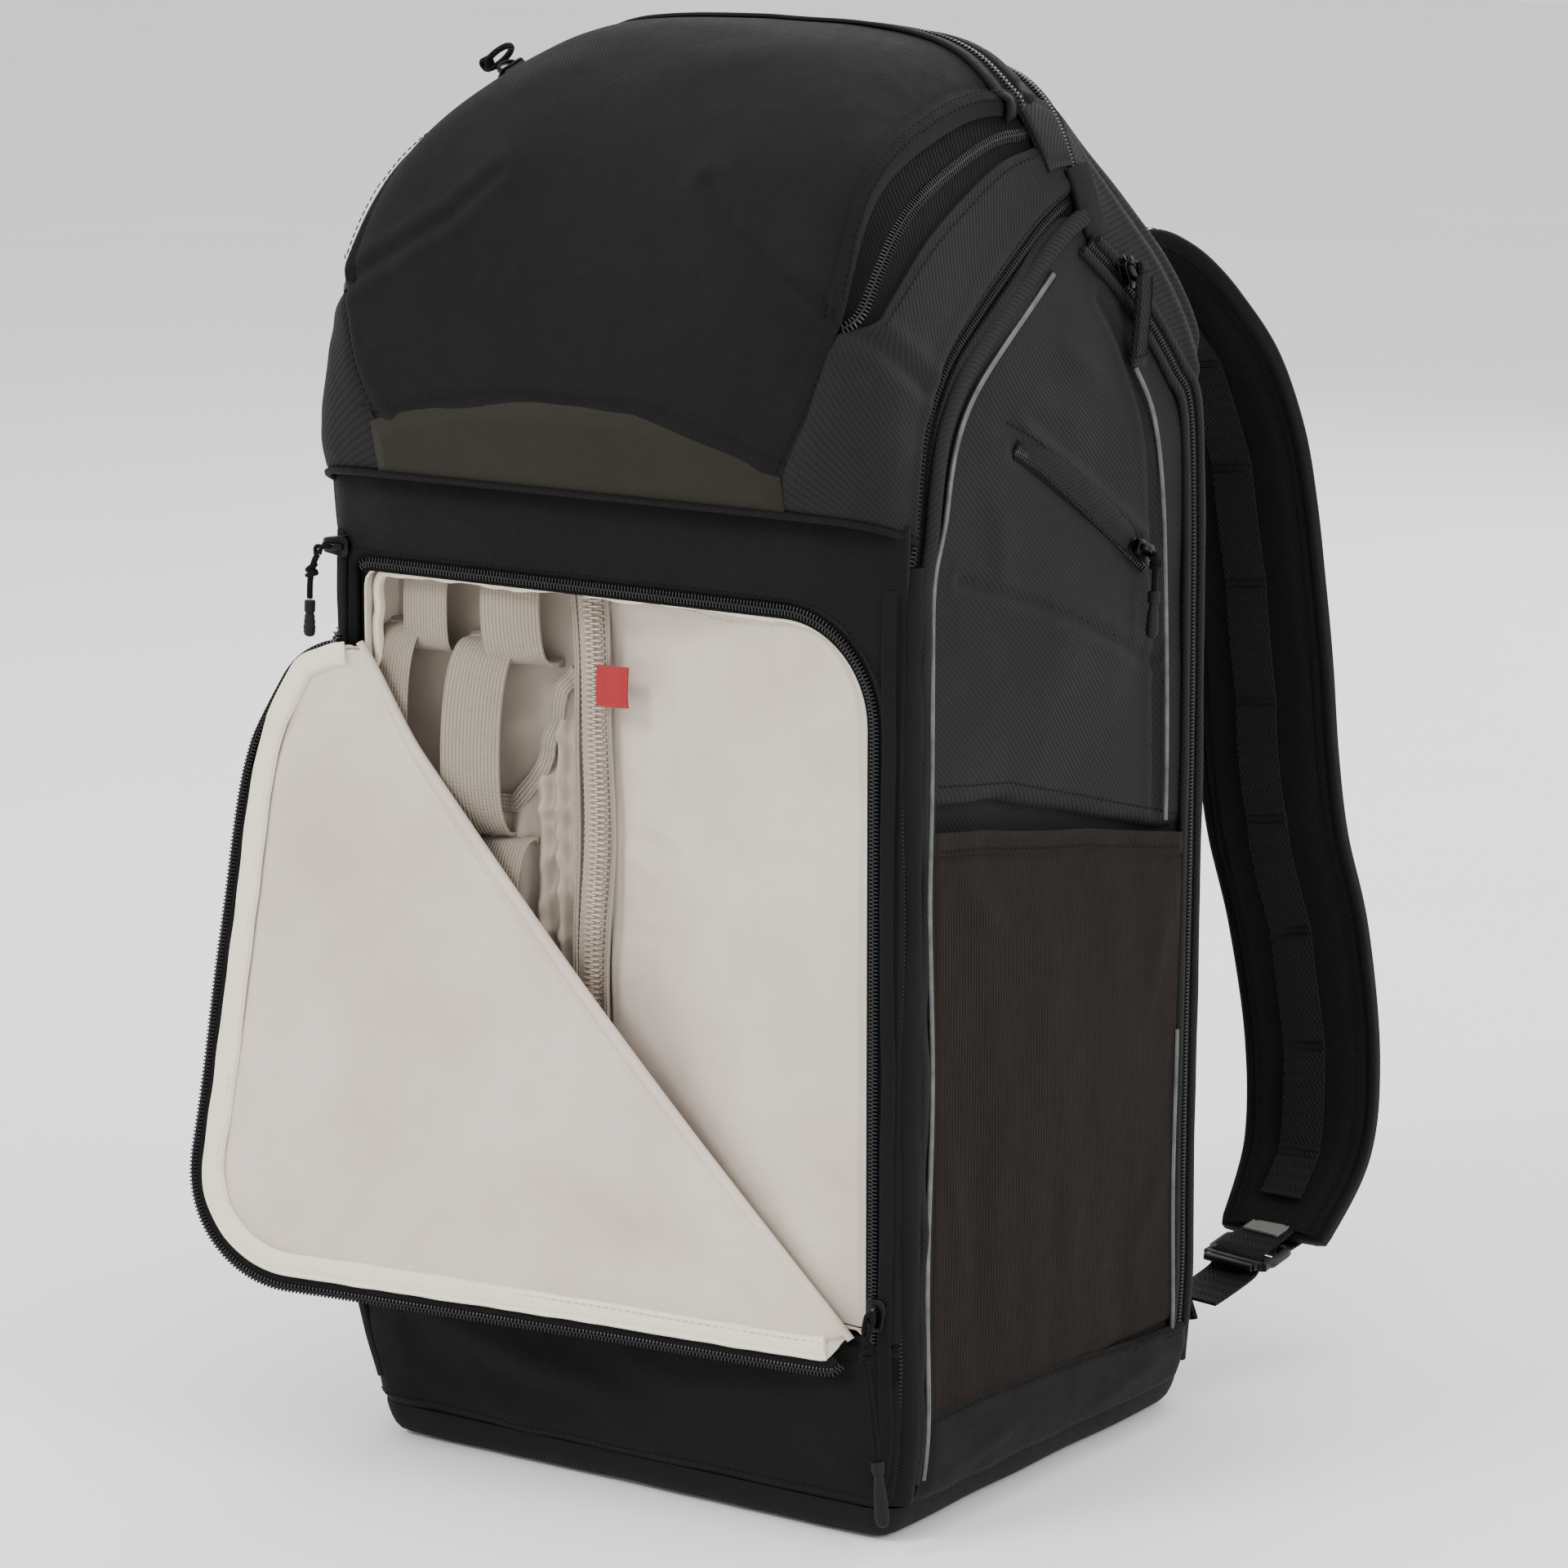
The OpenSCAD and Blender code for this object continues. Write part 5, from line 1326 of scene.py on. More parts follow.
def flap_shape(P2, q, p):
    """Soft belly and drag folds of the hanging part, out from the lined side."""
    s = np.clip(p / FLEN, -.2, 1.2)
    # it bellies away from the pocket, so that it clears the pocket when it is closed
    h = -6.5 * np.sin(np.pi * np.clip(q / 225, 0, 1)) ** .8 * np.sin(np.pi * np.clip(s, 0, 1)) ** .5
    h = h + (1.7 * noise(P2, 120, 91) + .8 * noise(P2, 52, 92) - 1.6) * sstep(0, 40, q)
    # soft drag lines: from the slider's end down the panel, and fanning out of the lower end of the fold
    for x0, z0, x1, z1, hh, w in ((-100, 352, -30, 362, 2.2, 9), (-92, 330, 10, 350, -2.4, 13), (-70, 306, 60, 330, 1.8, 15), (118, 110, 108, 240, 1.9, 11), (112, 118, 70, 250, -2.0, 14),
                                  (20, 210, 70, 300, 1.5, 17), (116, 250, 92, 330, -1.6, 14), (60, 170, 100, 200, 1.2, 10), (-20, 345, 96, 352, 1.4, 8)):
        h = h + fold(P2, np.linspace(A(x0, 0, z0), A(x1, 0, z1), 10), hh, w, .5) * sstep(4, 26, q)
    return h


def flap_panel():
    n = 260
    # free edge from the upper left end of the fold, round to its lower right end
    L, R, T, B, r = -124.5, 126.5, 371.0, 86.5, 44.0
    pts = [tuple(FA + E2 * 1.5), (L, 334), (L, T - 6), (L + 1.8, T - 1.8), (L + 6, T), (R - r, T)]
    pts += [(R - r + r * math.sin(a), T - r + r * math.cos(a)) for a in np.linspace(0, np.pi / 2, 20)[1:]]
    pts += [(R, B + 4), tuple(FB - E2 * 1.5)]
    free = resample(np.array(pts), n=n)
    # fixed edge from the same end, down the left side and along the bottom
    pts = [tuple(FA + E2 * 1.5), (L, 322), (L, B + 8), (L + 8, B), (108, B), tuple(FB - E2 * 1.5)]
    fixed = resample(np.array(pts), n=n)
    s = np.linspace(.002, .998, n)
    s = .5 * s + .5 * (1 - np.cos(np.pi * s)) / 2
    F = FA + np.outer(s * FLEN, E2)
    rows, H, kind = [], [], []
    for v in np.linspace(1, .02, 26):
        rows.append(("p", F + (fixed - F) * v))
    for a in np.linspace(0, 1, 12):
        rows.append(("r", a))
    for v in np.linspace(.012, 1, 74):
        rows.append(("f", F + (free - F) * v))
    P, Nn, Q, Pp, ED = [], [], [], [], []
    for kd, val in rows:
        if kd == "r":
            th = TH * val
            ax = A(FA[0], AX_Y, FA[1]) + np.outer(s * FLEN, E3)
            b = BOW * np.sin(np.pi * s)
            dirn = math.sin(th) * M3 + math.cos(th) * Y3
            # the roll sits below the straight axis by the bow, and is a little fuller in the middle
            rr = RHO + 2.2 * np.sin(np.pi * s) * math.sin(math.pi * val)
            P.append(ax - np.outer(b, M3) + rr[:, None] * dirn + np.outer(1 - sstep(0, 48, s * FLEN), A(1.0, 0, 8.0)))
            Nn.append(np.tile(dirn, (n, 1)))
            Q.append(0 * s)
            ED.append(0 * s + 99)
            Pp.append(s * FLEN)
        else:
            d = val - FA
            q = d @ M2
            p = d @ E2
            ed = np.linalg.norm(val - (free if kd == "f" else fixed), axis=1)
            th = TH if kd == "f" else 0.0
            h = flap_shape(np.stack([val[:, 0], 0 * q, val[:, 1]], -1), q, p) if kd == "f" else 0 * q
            if kd == "f":
                h = h - 1.5 * np.exp(-((ed - 8.9) / 1.7) ** 2)
                q = np.maximum(q, .001)
                x, z = (FA + np.outer(p, E2) + np.outer(q, M2)).T
            else:
                x, z = val.T
                q = np.minimum(q, -.001)
                x, z = (FA + np.outer(p, E2) + np.outer(q, M2)).T
            V = flap_at(x, z, h)
            if kd == "p":
                # the lower left corner draws in with the bag's own corner
                V = V + (sag(V.copy()) - V) * sstep(0, 30, -q)[:, None]
            P.append(V)
            dirn = math.sin(th) * M3 + math.cos(th) * Y3
            Nn.append(np.tile(dirn, (n, 1)))
            Q.append(q)
            ED.append(ed)
            Pp.append(p)
    P, Nn, ED = np.array(P), np.array(Nn), np.array(ED)
    N = normals(P)
    if np.sum(N * Nn) < 0:
        N = -N
    # creases in the lining by lines given in the closed panel's own plane
    pc = Piece()
    wear = .5 * np.exp(-(ED / 6) ** 2)
    pc.shell(P, np.full(P.shape[:2], 1.3), (0, 1, 1), N=N, wear=wear)
    ob = pc.build("front_flap_cloth", [M_["lining_flap"], M_["shell"]], None, (), None, do_sag=False)
    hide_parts("flap_panel", "flap_fixed_panel")
    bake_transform(ob)
    hang = P[38:]
    return ob, free, hang, N[38:], P


FLAP, FREE, HANG, HANG_N, FLAP_P = flap_panel()


def flap_edges():
    d = FREE - FA
    q, p = d @ M2, d @ E2
    keep = q > 7
    c = FREE[keep]
    cen = c.mean(0)
    # inward direction in the panel's plane
    T = unit(np.gradient(c, axis=0))
    inn = np.stack([T[:, 1], -T[:, 0]], 1)
    if np.sum(inn * (cen - c)) < 0:
        inn = -inn

    def ring(off, h):
        x, z = (c + inn * off).T
        dd = np.stack([x, z], 1) - FA
        qq, pp = dd @ M2, dd @ E2
        hh = flap_shape(np.stack([x, 0 * x, z], -1), qq, pp)
        return flap_at(x, z, hh + h)
    nrm = np.tile(math.sin(TH) * M3 + math.cos(TH) * Y3, (len(c), 1))
    # light binding folded over the edge: rounded tape with a dip along its stitch line
    path = ring(3.6, -.3)
    sec = np.array([[-4.3, -.7], [-4.9, 0], [-4.3, 1.7], [-3.2, 2.3], [-1.6, 2.45], [1.2, 2.25], [2.4, 1.75], [2.9, 1.45], [3.5, 1.7], [4.3, 1.65], [4.75, .9], [4.6, -.3], [3.6, -.7]])
    pc = Piece()
    pr = resample(path, 2.2)
    wob = 1 + .05 * noise(pr, 22, 93)[:, None] * np.ones((1, 2))
    pc.sweep(pr, sec, resample(nrm, n=len(pr)), 0, scale=wob)
    ob = pc.build("front_flap_binding", [M_["binding"]], None, (), None, do_sag=False)
    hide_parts("flap_binding")
    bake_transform(ob)
    sx = Piece()
    n2 = np.tile(math.sin(TH) * M3 + math.cos(TH) * Y3, (len(c), 1))
    # which side of the tape faces in: find the dip's place from the ring
    dip = resample(ring(6.2, 1.5), 3.2)
    dipo = dip
    TT = unit(np.gradient(dipo, axis=0))
    nn = unit(resample(n2, n=len(dipo)))
    sx.copies(_st[0], _st[1], dipo + nn * .3, TT, unit(np.cross(nn, TT)), nn)
    ob = sx.build("front_flap_stitching", [M_["thread_light"]], None, (), None, do_sag=False)
    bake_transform(ob)
    # dark outer cloth turned over the edge, and its half of the zip
    pz = Piece()
    pth = resample(ring(-1.9, -1.8), 2.5)
    nn = resample(n2, n=len(pth))
    pz.sweep(pth, rrect(4.6, 2.2, 1.0), nn, 2)
    pth = ring(-4.2, -1.4)
    pz.sweep(resample(pth, 3), np.array([[-2.6, -.3], [2.6, -.3], [2.6, .3], [-2.6, .3]]), resample(n2, n=len(resample(pth, 3))), 0)
    zip_teeth(pz, resample(ring(-5.8, -1.2), 1.0), unit(n2[0]), 1, w=2.2, h=1.5)
    ob = pz.build("front_flap_zip_half", [M_["ztape"], M_["coil"], M_["shell"]], None, (), None, do_sag=False)
    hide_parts("flap_zip_edge")
    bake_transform(ob)


flap_edges()

# ------------------------------------------------------------------ sliders, pullers and their cords
NODE_C = {}


def cbox(node):
    lo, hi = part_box(node)
    return A(*lo) * 1000, A(*hi) * 1000


def slider(name, node, at, dirv, upv, body, flip=1.0, drop=0.0):
    """A coil-zip slider: two plates joined by a wedge, side slots, and a bridge for the puller."""
    X, Z = unit(dirv), unit(upv)
    Z = unit(Z - X * (X @ Z))
    Y = np.cross(Z, X)
    at = A(*at) + Z * drop
    pc = Piece()
    one = lambda V, F: pc.copies(V, F, at[None], X[None], Y[None], Z[None])
    for z0, hgt, k in ((1.75, 1.3, 1.0), (-1.6, 1.1, .98)):
        rings = []
        for x, w, q in ((-6.5, 2.0, .5), (-6.1, 2.9, .85), (-4.5, 3.3, 1), (-1.0, 3.7, 1), (2.4, 4.4, 1), (4.4, 4.45, 1), (5.9, 3.6, .9), (6.5, 2.5, .5)):
            rings.append([(x, c * k, z0 + d * hgt / 2 * q) for c, d in rrect(2 * w, 2, .8, 2)])
        one(*loft(np.array(rings)))
    rings = [[(x, c, d) for c, d in rrect(w, 2.6, .3, 1)] for x, w in ((1.2, .5), (2.4, 2.4), (5.2, 3.2), (5.9, 2.2))]
    one(*loft(np.array(rings)))
    for sgn in (1, -1):
        rings = [[(x, sgn * y + c, d * hh) for c, d in rrect(.9, 2, .3, 1)] for x, y, hh in ((-5.6, 2.6, .75), (-1, 3.3, .75), (2.4, 4.0, .75), (4.6, 4.1, .5))]
        one(*loft(np.array(rings)))
    arch = np.array([(-4.8, 2.0), (-4.9, 3.8), (-3.9, 4.9), (-1.6, 5.2), (1.2, 5.0), (3.1, 4.2), (3.9, 3.0), (4.0, 2.0)])
    path = smoothline(np.stack([arch[:, 0], 0 * arch[:, 0], arch[:, 1]], 1), .6)
    W = at + path[:, :1] * X + path[:, 1:2] * Y + path[:, 2:] * Z
    pc.sweep(W, rrect(2.6, 1.1, .4), np.cross(unit(np.gradient(W, axis=0)), Y), 0)
    return pc.build(name, [M_["metal"]], body, (node,), "slider_metal", do_sag=False)


def grip(name, node, at, dirv, length, body, r=3.1, wide=(1, 0, 0)):
    """A moulded puller end: flattened drop with grip ribs and a collar."""
    D = unit(dirv)
    Wd = unit(np.cross(np.cross(D, wide), D))
    T = np.cross(D, Wd)
    n = 44
    s = np.linspace(0, 1, n)
    prof = np.interp(s, [0, .03, .09, .16, .2, .45, .8, .93, .985, 1], [.35, .62, .72, .7, .62, .88, 1, .86, .5, .12])
    prof = prof * (1 + .05 * np.sin(s * length * 2 * np.pi / 2.3) * sstep(.28, .34, s) * sstep(.88, .82, s))
    a = np.linspace(0, 2 * np.pi, 22, endpoint=False)
    P = A(*at) + (D * length)[None, None] * s[:, None, None] + (prof[:, None] * r)[..., None] * (np.cos(a)[None, :, None] * Wd * 1.0 + np.sin(a)[None, :, None] * T * .82)
    pc = Piece()
    pc._tube(P, None, 0, False)
    m = len(a)
    for e, fl in ((0, -1), (n - 1, 1)):
        c = P[e].mean(0)
        f = np.arange(m)
        nn = sum(np.cross(P[e, i] - c, P[e, (i + 1) % m] - c) for i in range(m))
        if nn @ D * fl < 0:
            f = f[::-1]
        pc.add(P[e], f[None], P[e][:, :2] * .001, 0)
    pc.sweep(np.array([A(*at) - D * 1.2, A(*at) + D * 3.4]), circle(r * .84, 16), None, 0)
    return pc.build(name, [M_["rubber"]], body, (node,), "grip_rubber", do_sag=False)


SIDE_AT, TOP_AT = A(130.8, -119.6, 96), A(-135, -119.6, 377.5)
SIDE_CORD = [SIDE_AT + A(*o) for o in ((0, -8.8, -7.6), (.6, -9.8, -12), (1.2, -10, -18), (2, -9.8, -25), (3, -9.4, -33), (4, -9, -41), (4.8, -8.8, -49), (5.4, -8.6, -56))]
TOP_CORD = [TOP_AT + A(*o) for o in ((-4, -8.8, -3), (-5.2, -9.6, -6), (-6.4, -9.8, -10), (-7.4, -9.6, -14), (-8, -9.2, -18), (-8.4, -8.8, -21.5))]


def pulls():
    slider("side_slider_body", "slider_flap_side", SIDE_AT, (0, 0, 1), (0, -1, 0), "side_slider")
    slider("top_slider_body", "slider_flap_top", TOP_AT, (1, 0, 0), (0, -1, 0), "top_slider")
    g1 = grip("side_pull_grip", "pull_grip_flap_side", SIDE_CORD[-1] + A(.2, .1, -2.2), (.09, .02, -1), 26, "side_pull")
    g2 = grip("top_pull_grip", "pull_grip_flap_top", TOP_CORD[-1] + A(-.1, .1, -2.2), (-.06, .02, -1), 14, "top_pull", r=2.7)
    for nm, node, route, body, at in (("side_pull_cord", "pull_cord_flap_side", SIDE_CORD, "side_pull", SIDE_AT), ("top_pull_cord", "pull_cord_flap_top", TOP_CORD, "top_pull", TOP_AT)):
        P = resample(cat(route, np.linspace(0, len(route) - 1, 80)), .9)
        pc = Piece()
        a = np.linspace(0, 2 * np.pi, 20, endpoint=False)
        # two laid strands read as one flat cord
        rad = 1.3 * (1 - .16 * np.cos(2 * a) ** 8)
        sec = np.stack([rad * np.cos(a), rad * np.sin(a) * .92], 1)
        pc.sweep(P, sec, A(0, -1, 0), 0)
        ob = pc.build(nm, [M_["cord"]], body, (node,), "cord_sheath", do_sag=False)
        # the loop through the slider's bridge, and the knot below it
        pk = Piece()
        top = P[0]
        br = at + A(0, -4.9, 0) if body == "side_pull" else at + A(-1.5, -4.9, 0)
        hole = at + A(0, -3.4, 0)
        lp = smoothline([top + A(.9, 0, 0), top + A(1.5, 1.0, 3), br + A(1.4, -1.6, 0), br + A(0, -2.0, 1.6), br + A(-1.4, -1.6, 0), top + A(-1.5, 1.0, 3), top + A(-.9, 0, 0)], .9)
        pk.sweep(lp, circle(.95, 10), None, 0)
        kn = P[min(8, len(P) - 1)]
        for j, (ra, ti) in enumerate(((2.1, .5), (2.0, -.5), (1.8, 1.3))):
            aa = np.linspace(0, 2 * np.pi, 22, endpoint=False)
            ringp = kn + np.stack([ra * np.cos(aa), .8 * ra * np.sin(aa), (j - 1) * 1.5 + ti * np.cos(aa)], 1)
            pk.sweep(ringp, circle(.95, 8), None, 0, closed=True)
        pk.build(nm + "_knot", [M_["cord"]], body, (), "cord_sheath", do_sag=False)


pulls()

# ------------------------------------------------------------------ pack: base, sides, back
WALL_X = 131.0
_sy0 = pchip([-400, -10, 12, 33, 53, 70, 85, 98, 103], [12, 12, 15, 25, 45, 75, 105, 131, 147])
_sy1 = pchip([-400, 0, 13, 36, 62, 90, 103], [216.5, 216.5, 214.5, 204, 188.5, 167.5, 160.5])


def side_y0(z):
    return YF + _sy0(np.asarray(z, float) - HZ)


def side_y1(z):
    return YF + _sy1(np.asarray(z, float) - HZ)


MOUTH = lambda y: np.interp(y, [-100, -40, 20, 90], [300, 292, 276, 257])


def side_x(y, z):
    return half_w(z) + 2.0 * np.sin(np.pi * np.clip((y + 105) / 200, 0, 1)) * sstep(300, 350, z) * sstep(515, 480, z)


def upper_side(sx):
    nz, ny = 170, 120
    a = np.linspace(0, 1, ny)
    w = np.linspace(0, 1, nz)
    Aa, W = np.meshgrid(a, w, indexing="ij")
    ylow = -98 + 195 * Aa
    zlow = MOUTH(ylow) - 3
    Z = zlow + (513.5 - zlow) * W ** .93
    Y = (side_y0(Z) + 4.5) + ((side_y1(Z) - .5) - (side_y0(Z) + 4.5)) * Aa
    roll = (1 - np.sqrt(np.clip(1 - (1 - np.clip((Z - zlow) / 9, 0, 1)) ** 2, 0, 1))) * 8.5
    X = side_x(Y, Z) - roll
    P = np.stack([X * sx, Y, Z], -1)
    N = normals(P, ref=A(0, 0, 380))
    h = 1.0 * noise(P, 110, 101) + .45 * noise(P, 48, 102) + .15 * noise(P, 22, 103)
    # fuller over the pocket, drawn in at the zip and the seams
    h += 3.2 * np.sin(np.pi * np.clip((Z - zlow) / 110, 0, 1)) * np.sin(np.pi * np.clip((Y + 98) / 180, 0, 1)) * sstep(120, 60, Z - zlow)
    ptop = [(-43, 436), (-20, 424), (20, 399), (61, 374)]
    L = smoothline([A(float(side_x(y, z)) * sx, y, z) for y, z in ptop], 4)
    d, s = dline(P, L)
    up = (Z - np.interp(Y, [-43, 61], [436, 374]))
    h += 2.0 * np.exp(-((up - 7) / 5.0) ** 2) * (d < 30) * np.clip((s * (1 - s)) * 14, 0, 1)
    h += -2.3 * np.exp(-((up + 4.5) / 5.2) ** 2) * (d < 16) * np.clip((s * (1 - s)) * 14, 0, 1)
    S2 = smoothline([A(float(side_x(y, z)) * sx, y, z) for y, z in ((-79, 383), (-40, 371), (10, 353), (58, 334), (78, 326))], 4)
    h += groove(P, S2, 1.1, 2.2, .5)
    S3 = smoothline([A(float(side_x(y, z)) * sx, y, z) for y, z in ((72, 268), (70, 320), (66, 370), (60, 430), (50, 462), (40, 480))], 4)
    h += groove(P, S3, 1.3, 2.4, .4)
    for pts, hh, ww in ((((-60, 452), (-20, 446), (20, 430)), 1.3, 8), (((-62, 420), (-50, 395), (-55, 365)), .9, 7), (((60, 372), (66, 350), (66, 325)), 1.2, 5), (((0, 470), (20, 455), (44, 446)), 1.0, 6),
                        (((-84, 330), (-40, 322), (10, 310)), .8, 9)):
        h += fold(P, smoothline([A(float(side_x(y, z)) * sx, y, z) for y, z in pts], 4), hh, ww, .45)
    e0 = Y - (side_y0(Z) + 4.5)
    e1 = (side_y1(Z) - .5) - Y
    h += -1.8 * np.exp(-(e1 / 2.0) ** 2) - 1.2 * np.exp(-(e0 / 2) ** 2)
    P2 = P + N * h[..., None]
    wear = .4 * np.exp(-(e0 / 3) ** 2) + .4 * np.exp(-(e1 / 3) ** 2) + .45 * np.exp(-((Z - zlow) / 4) ** 2) + .3 * np.exp(-((up - 2) / 2) ** 2) * (d < 16)
    pc = Piece()
    pc.shell(P2, 2.2 + 0 * X, (0, 1, 0), N=N, wear=wear)
    side = "right" if sx > 0 else "left"
    pc.build("side_upper_cloth_" + side, [M_["twill"], M_["lining_dark"]], "pack", ("side_upper_" + side,), "twill_fabric")
    N2 = normals(P2, ref=A(0, 0, 380))
    stitches("pack", P2, N2, S2, (2.0,))
    stitches("pack", P2, N2, S3, (2.0,))
    stitches("pack", P2, N2, L + A(0, 0, 4.5), (0,))
    lowl = np.stack([(side_x(a * 195 - 98, MOUTH(a * 195 - 98)) - 1) * sx, a * 195 - 98, MOUTH(a * 195 - 98) + 5], 1)
    stitches("pack", P2, N2, lowl[4:-4], (0,))
    # slanted pocket zip: tape, coil and its rain flap
    Lz = smoothline([A(0, y, z) for y, z in ((-38, 429), (-16, 417), (20, 395), (58, 371))], 2)
    q, n = surf_line(P2, N2, np.stack([side_x(Lz[:, 1], Lz[:, 2]) * sx, Lz[:, 1], Lz[:, 2]], 1))
    q, n = resample(q, n=len(q)), unit(np.cumsum(n, 0) / np.arange(1, len(n) + 1)[:, None])
    pz = Piece()
    dn = np.where(np.arange(len(q)) >= 0, 1, 1)[:, None]
    pz.sweep(q + n * .7, np.array([[-5, -.4], [5, -.4], [5, .3], [4.2, .5], [-4.2, .5], [-5, .3]]), n, 0)
    zip_teeth(pz, resample(q + n * 1.3, 1.0), n[len(n) // 2], 1, w=2.6, h=1.5)
    # flap: a soft strip over the upper half of the zip
    T = unit(np.gradient(q, axis=0))
    U = unit(np.cross(n, T))
    U = U * np.sign(U[:, 2:3])
    v = np.linspace(0, 1, 8)
    lenw = np.linspace(1, 1, len(q))
    sh = 1.0 * np.sin(np.linspace(0, np.pi, len(q))) ** .3
    F = q[:, None] + U[:, None] * (9.5 - 10.2 * v)[None, :, None] * np.maximum(sh, .25)[:, None, None] + n[:, None] * (1.0 + 2.4 * np.sin(np.pi * (.1 + .62 * v)))[None, :, None] * np.maximum(sh, .4)[:, None, None]
    F[..., 0] += .5 * noise(F, 18, 104) * sx
    pz.shell(F, 1.2 + 0 * F[..., 0], (2, 2, 2), ref=A(0, 0, 380), wear=np.tile(v ** 4 * .6, (len(q), 1)))
    pz.build("side_pocket_zip_" + side, [M_["ztape"], M_["coil"], M_["twill"]], "pack", ("side_pocket_zips",) if sx > 0 else (), "zip_tape")


def lower_side(sx):
    side = "right" if sx > 0 else "left"
    # recessed wall behind the bottle pocket, with the strips before and behind it
    ny, nz = 90, 60
    Y, Z = np.meshgrid(np.linspace(-103, 98, ny), np.linspace(15, 300, nz), indexing="ij")
    rec = sstep(-100, -82, Y) * sstep(96, 84, Y)
    X = half_w(Z) - 9.0 * rec * sstep(36, 60, Z) + 0
    P = np.stack([X * sx, Y, Z], -1)
    P[..., 0] += sx * .6 * noise(P, 60, 111) * rec
    N = normals(P, ref=A(0, 0, 150))
    pc = Piece()
    pc.shell(P, 2.0 + 0 * X, (0, 1, 0), N=N)
    pc.build("side_wall_cloth_" + side, [M_["twill"], M_["lining_dark"]], "pack", ("side_wall_" + side,), "twill_fabric")
    # stretch bottle pocket
    ny, nz = 110, 130
    a, w = np.meshgrid(np.linspace(0, 1, ny), np.linspace(0, 1, nz), indexing="ij")
    Y = -97 + 189 * a
    zt = np.interp(Y, [-97, -60, 20, 92], [286, 283, 271, 254])
    zt = zt - 3.5 * np.sin(np.pi * a)
    Z = 44 + (zt - 44) * w
    X = half_w(Z) + 1.6 + 1.9 * np.sin(np.pi * a) * np.sin(np.pi * np.clip(w * 1.1, 0, 1)) - 2.4 * np.sin(np.pi * a) ** .7 * sstep(.82, 1, w)
    P = np.stack([X * sx, Y, Z], -1)
    N = normals(P, ref=A(0, 0, 150))
    h = .6 * noise(P * A(1, 1, .5), 60, 112) + .25 * noise(P * A(1, 1, .35), 24, 113)
    e = np.minimum(Y + 97, 92 - Y)
    h += -.9 * np.exp(-(e / 1.5) ** 2) - .8 * np.exp(-((Z - 44) / 2) ** 2)
    for y0, z0, y1, z1, hh, ww in ((-90, 276, -30, 220, .9, 7), (-92, 180, -70, 90, .8, 6), (84, 240, 60, 170, .9, 7), (86, 120, 50, 70, .8, 7), (0, 60, 6, 130, .6, 9), (-60, 60, -52, 150, .5, 8)):
        h += fold(P, np.linspace(A(140 * sx, y0, z0), A(140 * sx, y1, z1), 12), hh, ww, .5)
    hem = (1 - w) * (zt - 44)
    h += .8 * sstep(9.5, 8.0, hem) - .7 * np.exp(-((hem - 9.2) / .8) ** 2)
    P2 = P + N * h[..., None]
    pc = Piece()
    pc.shell(P2, 1.6 + 0 * X, (0, 0, 0), N=N, wear=.35 * np.exp(-(hem / 2) ** 2) + .3 * np.exp(-(e / 3) ** 2))
    ob = pc.build("bottle_pocket_" + side, [M_["stretch"]], "pack", ("stretch_pocket_" + side,), "stretch_fabric")
    N2 = normals(P2, ref=A(0, 0, 150))
    hm = P2[:, int(nz * .962)]
    stitches("pack", P2, N2, hm[3:-3], (0,))
    # front rain gusset: a soft rolled strip beside the clamshell zip, with waves in its lower half
    z = np.concatenate([np.linspace(16, 392, 190)])
    y0 = -114.5 + 1.2 * np.sin(z / 33) * sstep(40, 90, z) * sstep(330, 250, z)
    y1 = -101.5 + 1.6 * np.sin(z / 27 + 1.0) * sstep(40, 90, z) * sstep(320, 250, z) + 1.2 * np.sin(z / 15) * sstep(180, 210, z) * sstep(300, 262, z)
    m = 14
    v = np.linspace(0, 1, m)
    P = np.zeros((len(z), m, 3))
    Yg = y0[:, None] + (y1 - y0)[:, None] * v
    base_x = np.where(Yg < -107, 128 + 12 * np.sqrt(np.clip(1 - ((-107 - Yg) / 12) ** 2, 0, 1)), 140.0)
    P[..., 0] = (base_x * (half_w(z) / HW)[:, None] - 1.2 + 3.6 * np.sin(np.pi * np.clip(v * 1.02, 0, 1)) ** .7) * sx
    P[..., 1] = Yg
    P[..., 2] = z[:, None]
    P[..., 0] += sx * .5 * noise(P, 24, 114) * np.sin(np.pi * v)
    pc = Piece()
    pc.shell(P, 1.6 + 0 * P[..., 0], (0, 0, 0), ref=A(0, 0, 200), wear=np.tile(.4 * np.exp(-((v - .5) / .3) ** 2), (len(z), 1)))
    pc.build("front_gusset_" + side, [M_["shell"]], "pack", (), "shell_fabric")


def hq_path(off_y=0.0, off_z=0.0, n=120, out=.5, t1=1.0, sx=1):
    u = np.linspace(0.35, 8 * t1, n)
    q = cat(HQ, u)
    return np.stack([(half_w(q[:, 1]) + out) * sx, q[:, 0] + off_y, q[:, 1] + off_z], 1)


